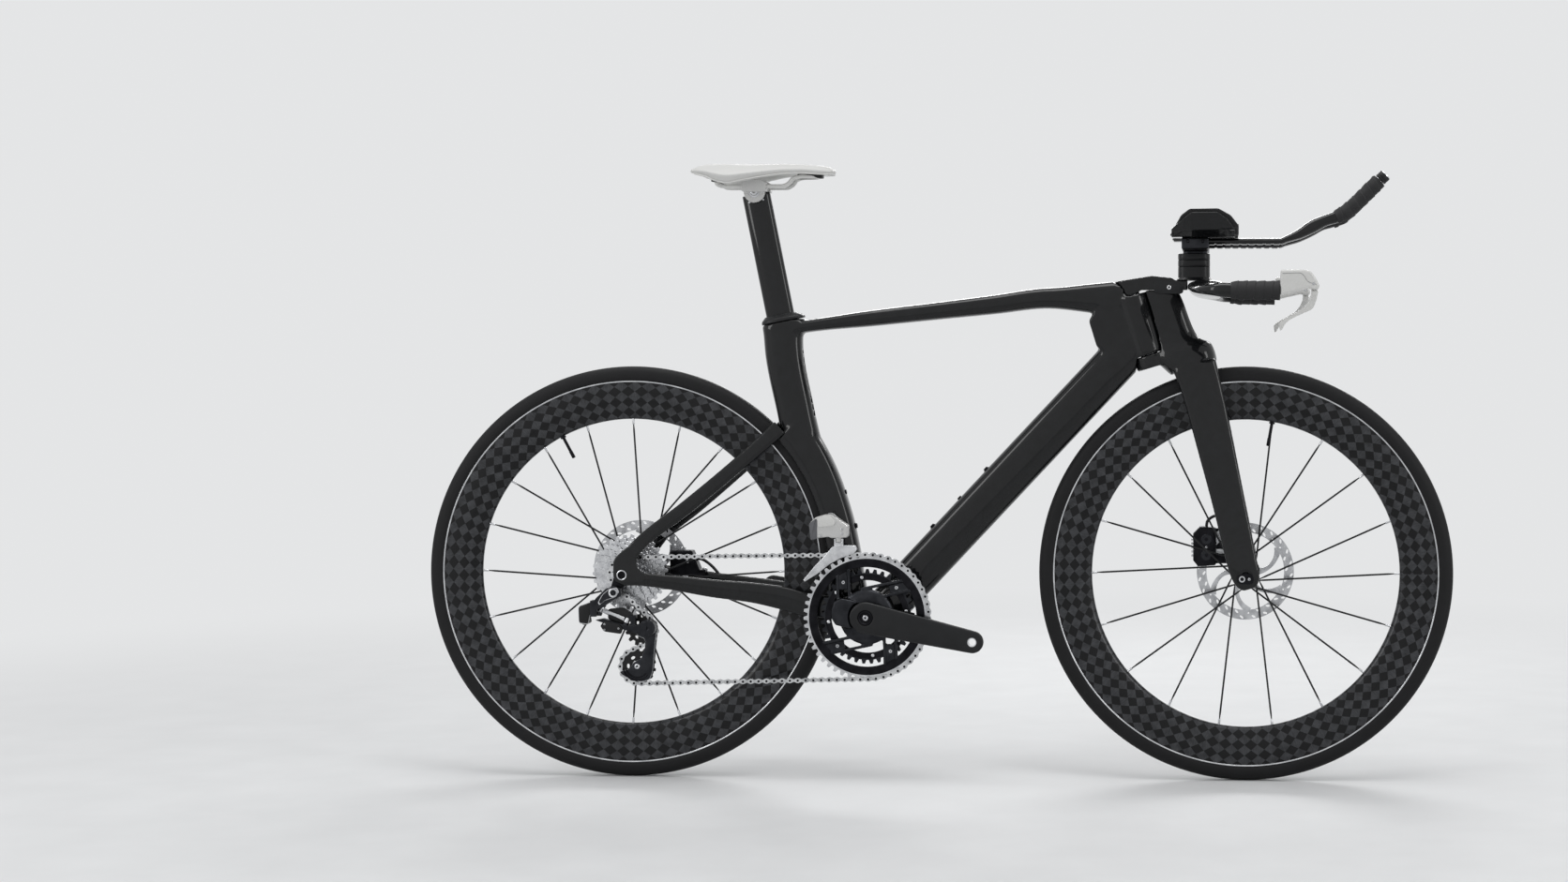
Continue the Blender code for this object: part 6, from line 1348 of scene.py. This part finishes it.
def brakes(side, sign):
    """Hood and lever from their solids, eased, with the hinge pin's ends and the hood's seam line."""
    y = sign * BAR_Y
    hood, lever = "brake_hood_" + side, "brake_lever_" + side
    skin("hood_body_" + side, "steering", WHITE, hood, copied(hood), voxel=0.0007, relax=5)
    skin("lever_blade_" + side, "lever_" + side, WHITE, lever, copied(lever), voxel=0.0006, relax=6)
    x0 = HORN_END_X + SEAM
    pin = [rod((x0 + 0.0515, y + s * 0.0143, BAR_Z + 0.0095), (x0 + 0.0515, y + s * 0.0154, BAR_Z + 0.0095),
               0.0023, 24, 0.0004) for s in (-1, 1)]
    piece("lever_pin_" + side, "steering", SILVER, pin)
    seam = [(0.0035, 0.0255), (0.0300, 0.0262), (0.0350, 0.0238), (0.0430, 0.0130), (0.0560, 0.0085)]
    lines = []
    for s in (-1, 1):
        path = through([(x0 + x, y + s * 0.0149, BAR_Z + z) for x, z in seam], 40)
        lines.append(tube(path, 0.00035, 6, 60))
    piece("hood_seams_" + side, "steering", GREY, lines)
    rim = [(0.0116, 0.0), (0.0158, 0.0), (0.0158, 0.00096), (0.0116, 0.00096)]
    piece("hood_collar_" + side, "steering", NYLON,
          [turned((x0 - 0.0010, y, BAR_Z), rim, 48, (1, 0, 0), closed=True)])


def riser():
    """Three spacers with fine gaps between them, a neck, and a bridge whose ears hold the extensions."""
    x = BAR_X - 0.021
    shapes = []
    for low, high in ((BAR_TOP_Z + SEAM, 0.8388), (0.8391, 0.8498), (0.8501, 0.8600)):
        flare = 0.0060 if low < 0.82 else 0.0
        rows = np.array([(x, 0, low, 0.0512 + flare, 0.0480 + flare * 1.8),
                         (x, 0, low + 0.0006, 0.0520 + flare * 0.9, 0.0488 + flare * 1.6),
                         (x, 0, min(low + 0.0045, high - 0.0007), 0.0522, 0.0490),
                         (x, 0, high - 0.0006, 0.0520, 0.0486), (x, 0, high, 0.0508, 0.0474)])
        shapes.append(swept(rows[:, :3], np.outer(rows[:, 3] / 2, [1, 0, 0]),
                            np.outer(rows[:, 4] / 2, ACROSS), 72, 4))
    piece("riser_spacers", "steering", SATIN, shapes, ["riser"])
    shelf = EXT_Z - 0.0055 - SEAM
    x0, x1 = BAR_X - 0.040, BAR_X + 0.0035
    reach = EXT_Y + 0.0150 + SEAM + 0.005
    neck = lofted([(x + 0.002, 0, 0.8595, 0.0420, 0.0400), (x + 0.002, 0, 0.8660, 0.0360, 0.0360)], 48, 4, 6)
    joined = [box((x0, -reach, shelf - 0.0065), (x1, reach, shelf)), neck]
    bolts = []
    for sign in (-1, 1):
        for edge in (-1, 1):
            inner = EXT_Y + edge * 0.0153
            low, high = sorted((sign * inner, sign * (inner + edge * 0.005)))
            joined.append(box((x0, low, shelf - 0.003), (x1, high, EXT_Z + 0.0058)))
        for along in (0.010, 0.034):
            at = np.array([x0 + along, sign * (reach + 0.0001), EXT_Z])
            head = [(0.0012, -0.0004), (0.0012, 0.0010), (0.0022, 0.0012), (0.0030, 0.0007),
                    (0.0031, -0.0004)]
            bolts.append(fitting(at, head, 24, sign))
    piece("extension_bridge", "steering", CAST, None,
          mesh=moulded("extension_bridge", joined, voxel=0.0011, relax=2))
    piece("bridge_bolts", "steering", BLACK_METAL, bolts)


def extension(side, sign):
    """Flat bar with grooves 13 mm apart under it, rising to a round end with a taped grip and a button."""
    rise = ((0.2300, 0.0430), (0.2450, 0.0535), (0.2602, 0.0677), (0.2753, 0.0828))
    x1 = BAR_X - 0.0137
    stations = [(BAR_X - 0.0330, 0.0, 0.0110, 0.0300), (BAR_X + 0.0600, 0.0, 0.0110, 0.0300),
                (BAR_X + 0.1180, 0.0, 0.0110, 0.0300), (x1 + 0.1410, 0.0034, 0.0115, 0.0290),
                (x1 + 0.1620, 0.0117, 0.0160, 0.0280), (x1 + 0.1850, 0.0246, 0.0205, 0.0260),
                (x1 + 0.2045, 0.0337, 0.0180, 0.0220), (x1 + 0.2210, 0.0390, 0.0190, 0.0190)]
    stations += [(x1 + x, z, 0.0190, 0.0190) for x, z in (*rise, (0.2905, 0.0975))]
    y = sign * EXT_Y
    flat, quads, ends, reach = lofted([(x, y, EXT_Z + z, depth, width) for x, z, depth, width in stations],
                                      56, 2.6, 420)
    under = (flat[:, 2] < EXT_Z - 0.0040) & (flat[:, 0] < 0.566)
    groove = under & (np.abs((flat[:, 0] - 0.4155) % 0.0130 - 0.0020) < 0.0020)
    flat[:, 2] += np.where(groove, 0.0012, 0.0)
    piece("extension_bar_" + side, "bar_" + side, CARBON, [(flat, quads, ends, reach)],
          ["extension_" + side], 30)
    path = [(x1 + x, y, EXT_Z + z) for x, z in ((0.2210, 0.0390), *rise, (0.2903, 0.0973))]
    piece("extension_tape_" + side, "bar_" + side, TAPE, [taped(path, 0.0124, 0.0150, 0.0112)],
          ["extension_grip_" + side], 40)
    start, along = np.array([0.719878, y, 0.975543]), np.array([0.7188, 0, 0.6952])
    cap = [(0.0045, SEAM), (0.0096, SEAM), (0.0100, 0.0007), (0.0100, 0.0036), (0.0096, 0.0040),
           (0.0096, 0.0048), (0.0100, 0.0052), (0.0100, 0.0106), (0.0092, 0.0118), (0.0070, 0.0121),
           (0.0066, 0.0115), (0.0030, 0.0112)]
    piece("button_cap_" + side, "button_" + side, NYLON, [turned(start, cap, 64, along)],
          ["shift_button_" + side])
    # The thin silver ring at the button's end edge is a painted highlight on the black cap's rim.
    ring = [(0.0090, 0.0112), (0.0098, 0.0112), (0.0095, 0.0122), (0.0090, 0.0124)]
    piece("button_edge_highlight_" + side, "button_" + side, SILVER, [turned(start, ring, 64, along, closed=True)])


def arm_rest(side):
    """Cup from its solid, eased, and a foam pad in it whose rear end is cut to slope from its foot."""
    heel = [(0.3600, 0.8700), (0.3770, 0.8700), (0.3804, 0.8811), (0.4040, 0.9210), (0.3600, 0.9210)]
    cup, pad = "arm_cup_" + side, "arm_pad_" + side
    skin("cup_shell_" + side, "steering", CARBON, cup, copied(cup), voxel=0.0012, relax=4)
    cushion = skin("pad_cushion_" + side, "steering", FOAM, pad, copied(pad), [slab(heel, -0.14, 0.14)],
                   voxel=0.0015, relax=9)


saddle()
saddle_clamp()
seatpost()
stem()
base_bar()
riser()
for side, sign in SIDES.items():
    hand_grips(side, sign)
    brakes(side, sign)
    extension(side, sign)
    arm_rest(side)


# Derailleurs, calipers and small fasteners


def screw(at, way, radius, height=0.0012):
    """Socket screw: a domed ring about its hexagon hole."""
    profile = [(radius * 0.45, -0.0006), (radius * 0.45, height * 0.8), (radius * 0.6, height),
               (radius * 0.85, height * 0.85), (radius, height * 0.4), (radius, -0.0006)]
    return turned(np.asarray(at, float), profile, 24, way, closed=True)


def shrunk(outline, share):
    """An outline moved towards its middle by this share."""
    return outline * (1 - share) + outline.mean(0) * share


def rear_derailleur():
    """Body, battery, link, motor head and hanger, each eased from its solid, with covers, pins and screws."""
    for node, body, colour, relax in (("derailleur_body", "frame", CAST, 4),
                                      ("derailleur_battery", "frame", NYLON, 4),
                                      ("derailleur_link", "derailleur_bar", SILVER, 4),
                                      ("derailleur_knuckle", "derailleur_head", CAST, 4),
                                      ("derailleur_hanger", "frame", BLACK_METAL, 3)):
        skin(node + "_eased", body, colour, node, copied(node), voxel=0.0006, relax=relax)
    case = rounded([(-0.0700, -0.0505), (-0.0480, -0.0425), (-0.0445, -0.0430), (-0.0475, -0.0500),
                    (-0.0535, -0.0800), (-0.0690, -0.0780)], 5, 0.35)
    case = case + REAR[[0, 2]]
    piece("battery_case", "frame", NYLON, [slab(case, -0.0845, -0.0802, 0.0008)])
    # The silver band just inside the battery case's rim is a painted highlight along its edges.
    piece("battery_edge_highlight", "frame", SILVER, [band(shrunk(case, 0.015), shrunk(case, 0.06), -0.0848, -0.0840)])
    # The silver band round the bracket's outline is a painted highlight, for the light on its bevelled edge.
    bracket = [(-0.0185, -0.0215), (-0.0060, -0.0190), (-0.0020, -0.0260), (-0.0080, -0.0350),
               (-0.0250, -0.0400), (-0.0340, -0.0480), (-0.0370, -0.0440), (-0.0300, -0.0310)]
    outline = rounded(bracket, 5, 0.5) + REAR[[0, 2]]
    piece("bracket_edge_highlight", "frame", SILVER, [band(outline, shrunk(outline, 0.10), -0.0880, -0.0866)])
    bolt = beside(REAR, -0.0120, -0.0280)
    ring = [(0.0048, -0.0006), (0.0048, 0.0016), (0.0056, 0.0022), (0.0074, 0.0018), (0.0080, 0.0004),
            (0.0080, -0.0006)]
    piece("hanger_bolt_ring", "frame", SILVER,
          [turned(bolt - ACROSS * 0.0872, ring, 48, -ACROSS, closed=True)])
    link_axis = np.array([0.377656, 0.241922, 0.893784])
    for name, body, x, z in (("back_link_pin", "frame", -0.0370, -0.0570),
                             ("front_link_pin", "derailleur_head", 0.0056, -0.0750)):
        at = beside(REAR, x, z, -0.0660)
        piece(name, body, STEEL, [rod(at + link_axis * s * 0.0096, at + link_axis * s * 0.0112, 0.0024, 24,
                                      0.0005) for s in (-1, 1)])
    arm = lofted([(*beside(REAR, -0.0330, -0.0590, -0.0712), 0.0060, 0.0020),
                  (*beside(REAR, -0.0160, -0.0640, -0.0722), 0.0052, 0.0024),
                  (*beside(REAR, 0.0020, -0.0720, -0.0714), 0.0060, 0.0020)], 28, 3, 40)
    piece("link_arm", "derailleur_bar", SILVER, [arm])
    inner = [(-0.0253, -0.0561), (-0.0012, -0.0538), (0.0150, -0.0640), (0.0130, -0.0760),
             (-0.0050, -0.0800), (-0.0253, -0.0726)]
    piece("inner_link", "derailleur_bar", NYLON,
          [slab(rounded(inner, 5, 0.4) + REAR[[0, 2]], -0.0695, -0.0610, 0.0012)])
    motor = rounded([(-0.0300, -0.0745), (-0.0050, -0.0800), (0.0010, -0.0880), (-0.0020, -0.0960),
                     (-0.0300, -0.0920), (-0.0360, -0.0830)], 5, 0.4) + REAR[[0, 2]]
    piece("motor_cover", "derailleur_head", NYLON, [slab(motor, -0.0765, -0.0738, 0.0007)])
    seats = [beside(REAR, -0.0290, -0.0800, -0.0766), beside(REAR, -0.0060, -0.0870, -0.0766),
             beside(REAR, -0.0290, -0.0890, -0.0766)]
    piece("motor_screws", "derailleur_head", STEEL, [screw(at, -ACROSS, 0.0017, 0.0008) for at in seats])
    cap = [(0.0024, -0.0006), (0.0024, 0.0008), (0.0040, 0.0016), (0.0105, 0.0012), (0.0118, 0.0002),
           (0.0118, -0.0006)]
    piece("cage_pivot_cap", "derailleur_head", CAST,
          [turned(CAGE_PIVOT - ACROSS * 0.0720, cap, 56, -ACROSS, closed=True)])


def jockey_cage():
    """Two curved plates, the outer one swept back round the lower wheel, with shields and wheel bolts."""
    outline = [(-0.4740, 0.2610), (-0.4600, 0.2615), (-0.4535, 0.2540), (-0.4536, 0.2440), (-0.4570, 0.2150),
               (-0.4595, 0.1800), (-0.4644, 0.1655), (-0.4740, 0.1622), (-0.4821, 0.1616), (-0.5017, 0.1675),
               (-0.5144, 0.1753), (-0.5124, 0.1792), (-0.5000, 0.1812), (-0.4950, 0.1870), (-0.4915, 0.1940),
               (-0.4790, 0.1990), (-0.4730, 0.2150), (-0.4720, 0.2330), (-0.4840, 0.2365), (-0.4890, 0.2450),
               (-0.4850, 0.2540)]
    shape = rounded(outline, 6, 0.8)
    plates = [slab(shape, CHAIN_Y + low, CHAIN_Y + high, 0.0004)
              for low, high in ((-0.0053, -0.0037), (0.0037, 0.0053))]
    piece("cage_plates", "jockey_cage", CAST, plates, ["derailleur_cage"])
    edge = shrunk(shape, 0.005)
    piece("cage_edge", "jockey_cage", SILVER,
          [band(edge, edge * 0.985 + shape.mean(0) * 0.015, CHAIN_Y - 0.00555, CHAIN_Y - 0.0050)])
    bolts = []
    for centre in (UPPER_JOCKEY, LOWER_JOCKEY):
        middle = centre + ACROSS * CHAIN_Y
        bolts += [axle(middle, 0.0050, 0.0029, 24), screw(middle - ACROSS * 0.0053, -ACROSS, 0.0042, 0.0014)]
    piece("jockey_bolts", "jockey_cage", STEEL, bolts)
    fins = []
    t = math.radians(196) + np.linspace(0, 2.2, 24)
    for low, high in ((0.0170, 0.0196), (0.0216, 0.0238)):
        arc = [LOWER_JOCKEY[[0, 2]] + r * np.stack([np.cos(a), np.sin(a)], 1)
               for r, a in ((high, t), (low, t[::-1]))]
        fins.append(slab(np.concatenate(arc), CHAIN_Y - 0.0064, CHAIN_Y - 0.0052, 0.0003))
    piece("cage_ribs", "jockey_cage", BLACK_METAL, fins)


def front_derailleur():
    """Body and cage from their solids, with a battery, its catch and adjusting screws."""
    body, cage = "front_derailleur_body", "front_derailleur_cage"
    skin("shifter_body", "frame", PEARL, body, copied(body), voxel=0.0007, relax=4)
    skin("shifter_cage", "chain_guide", SILVER, cage, copied(cage), voxel=0.0006, relax=3)
    battery = rounded([(-0.2040, 0.4205), (-0.1925, 0.4290), (-0.1905, 0.4260), (-0.1905, 0.3960),
                       (-0.2010, 0.3940)], 4, 0.3)
    piece("shifter_battery", "frame", GREY, [slab(battery, -0.0572, -0.0300, 0.0010)])
    top = rounded([(-0.1895, 0.4290), (-0.1780, 0.4345), (-0.1700, 0.4350), (-0.1600, 0.4240),
                   (-0.1640, 0.4170), (-0.1895, 0.4150)], 4, 0.3)
    piece("shifter_cover", "frame", WHITE, [slab(top, -0.0575, -0.0558, 0.0006)])
    wire = [(-0.1735, -0.0500, 0.4355), (-0.1690, -0.0500, 0.4375), (-0.1650, -0.0500, 0.4365),
            (-0.1560, -0.0500, 0.4260), (-0.1530, -0.0500, 0.4215)]
    piece("shifter_catch", "frame", STEEL, [tube(wire, 0.0006, 8, 40)])
    at = [(-0.1500, -0.0560, 0.4120), (-0.1500, -0.0560, 0.4045), (-0.1850, -0.0560, 0.4010)]
    piece("shifter_screws", "frame", STEEL, [screw(p, -ACROSS, 0.0022) for p in at])
    mount = rod((-0.1520, -0.0310, 0.4080), (-0.1400, -0.0310, 0.4080), 0.0032, 24, 0.0006)
    piece("shifter_mount_bolt", "frame", BLACK_METAL,
          [mount, rod((-0.1490, -0.0300, 0.4080), (-0.1475, -0.0300, 0.4080), 0.0060, 24)])


def calipers():
    """Brake calipers from their solids, with their pads' finned backs, hose, bleed and mounting bolts."""
    slope = [slab([(-0.4210, 0.3760), (-0.4045, 0.3360), (-0.3800, 0.3360), (-0.3800, 0.3760)], 0.020, 0.090)]
    for node, body, removed in (("rear_caliper", "frame", [slope]), ("front_caliper", "steering", [])):
        skin(node + "_eased", body, BLACK_METAL, node, copied(node), *removed, voxel=0.0008, relax=4)
    fins = []
    for k in range(5):
        x = -0.4500 + 0.0042 * k
        fins.append(slab([(x, 0.3655), (x + 0.0026, 0.3655), (x + 0.0026, 0.3725), (x, 0.3705)], 0.0528,
                         0.0582))
    piece("rear_pad_fins", "frame", STEEL, fins)
    bolts = [rod((-0.3985, 0.0555, 0.3345), (-0.3985, 0.0555, 0.3385), 0.0032, 24, 0.0006)]
    bolts.append(screw((-0.4250, 0.0440, 0.3500), -ACROSS, 0.0030))
    piece("rear_caliper_bolts", "frame", SILVER, bolts)
    piece("rear_pad_pin", "frame", SILVER,
          [rod((-0.4330, 0.0430, 0.3600), (-0.4330, 0.0680, 0.3600), 0.0014, 16)])
    hose = [(-0.4150, 0.0620, 0.3540), (-0.4040, 0.0615, 0.3520), (-0.3900, 0.0580, 0.3440),
            (-0.3780, 0.0540, 0.3330), (-0.3700, 0.0510, 0.3230)]
    piece("rear_hose", "frame", NYLON, [tube(hose, 0.0025, 20, 40)])
    fins = []
    for k in range(5):
        low, high = beside(FRONT, -0.0890, 0.0240 + 0.0066 * k), beside(FRONT, -0.0840, 0.0274 + 0.0066 * k)
        fins.append(box((low[0], 0.0318, low[2]), (high[0], 0.0402, high[2])))
    piece("front_pad_fins", "steering", STEEL, fins)
    rim = [(0.0030, -0.0004), (0.0030, 0.0008), (0.0080, 0.0010), (0.0088, 0.0004), (0.0088, -0.0004)]
    rings = [turned(beside(FRONT, -0.0640, z, 0.0245), rim, 48, -ACROSS, closed=True)
             for z in (0.0270, 0.0530)]
    piece("front_piston_caps", "steering", CAST, rings)
    bolts = [screw(beside(FRONT, x, z, 0.0478), ACROSS, 0.0034)
             for x, z in ((-0.0440, 0.0610), (-0.0360, 0.0210))]
    bolts.append(screw(beside(FRONT, -0.0640, 0.0400, 0.0245), -ACROSS, 0.0022))
    piece("front_caliper_bolts", "steering", SILVER, bolts)
    hose = [beside(FRONT, -0.0640, 0.0730, 0.0410), beside(FRONT, -0.0630, 0.0800, 0.0410),
            beside(FRONT, -0.0560, 0.0880, 0.0400), beside(FRONT, -0.0440, 0.0930, 0.0385)]
    piece("front_hose", "steering", NYLON, [tube(hose, 0.0025, 20, 40)])


def dropout_details():
    """Axle ends, the fork's inset plate and the bolts for bottles."""
    cup = [(0.0042, -0.0008), (0.0042, 0.0006), (0.0060, 0.0010), (0.0096, 0.0008), (0.0104, 0.0002),
           (0.0104, -0.0008)]
    nut = [(AXLE_HOLE_R, -0.0008), (AXLE_HOLE_R, 0.0010), (0.0072, 0.0014), (0.0082, 0.0010),
           (0.0086, -0.0008)]
    piece("rear_axle_end", "frame", SILVER, [turned(REAR - ACROSS * 0.0799, nut, 56, -ACROSS, closed=True)])
    piece("rear_axle_head", "frame", BLACK_METAL, [fitting(REAR + ACROSS * 0.0799, cup, 56)])
    piece("front_axle_head", "steering", BLACK_METAL, [fitting(FRONT + ACROSS * 0.0613, cup, 56)])
    plate_line = rounded([(0.4900, 0.3265), (0.5150, 0.3245), (0.5185, 0.3330), (0.5150, 0.3430),
                          (0.4900, 0.3405)], 6, 0.7)
    piece("dropout_plate", "steering", BLACK_METAL, [slab(plate_line, -0.0620, -0.0604, 0.0004)])
    piece("dropout_screw", "steering", SILVER, [screw((0.5105, -0.0620, 0.3335), -ACROSS, 0.0022, 0.0008)])
    end_ring = [(0.0030, -0.0004), (0.0030, 0.0006), (0.0050, 0.0006), (0.0054, -0.0004)]
    piece("dropout_axle_end", "steering", STEEL,
          [turned((0.4990, -0.0618, 0.3336), end_ring, 40, -ACROSS, closed=True)])
    down = (DOWN_HIGH - DOWN_LOW) / np.linalg.norm(DOWN_HIGH - DOWN_LOW)
    up = np.array([-down[2], 0.0, down[0]])
    ahead = np.array([math.cos(math.radians(11)), 0.0, math.sin(math.radians(11))])
    bolts = []
    for way, places in ((up, ((-0.0083, 0.4130), (0.0366, 0.4590), (0.0799, 0.5070))),
                        (ahead, ((-0.1536, 0.4690), (-0.1358, 0.4135)))):
        for x, z in places:
            foot = np.array([x, 0.0, z]) - way * 0.0016
            bolts += [rod(foot, foot + way * 0.0022, 0.0056, 28, 0.0006),
                      rod(foot + way * 0.0020, foot + way * 0.0046, 0.0040, 24, 0.0008)]
    piece("bottle_bolts", "frame", BLACK_METAL, bolts)


rear_derailleur()
jockey_cage()
front_derailleur()
calipers()
dropout_details()


# Remaining nodes keep their solid and take a finish by name


KEPT = {"headset_upper": STEEL, "headset_lower": STEEL, "front_axle": BLACK_METAL,
        "rear_axle": BLACK_METAL, "bottom_bracket": BLACK_METAL}
for node, material in KEPT.items():
    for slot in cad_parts[node].material_slots:
        slot.material = material
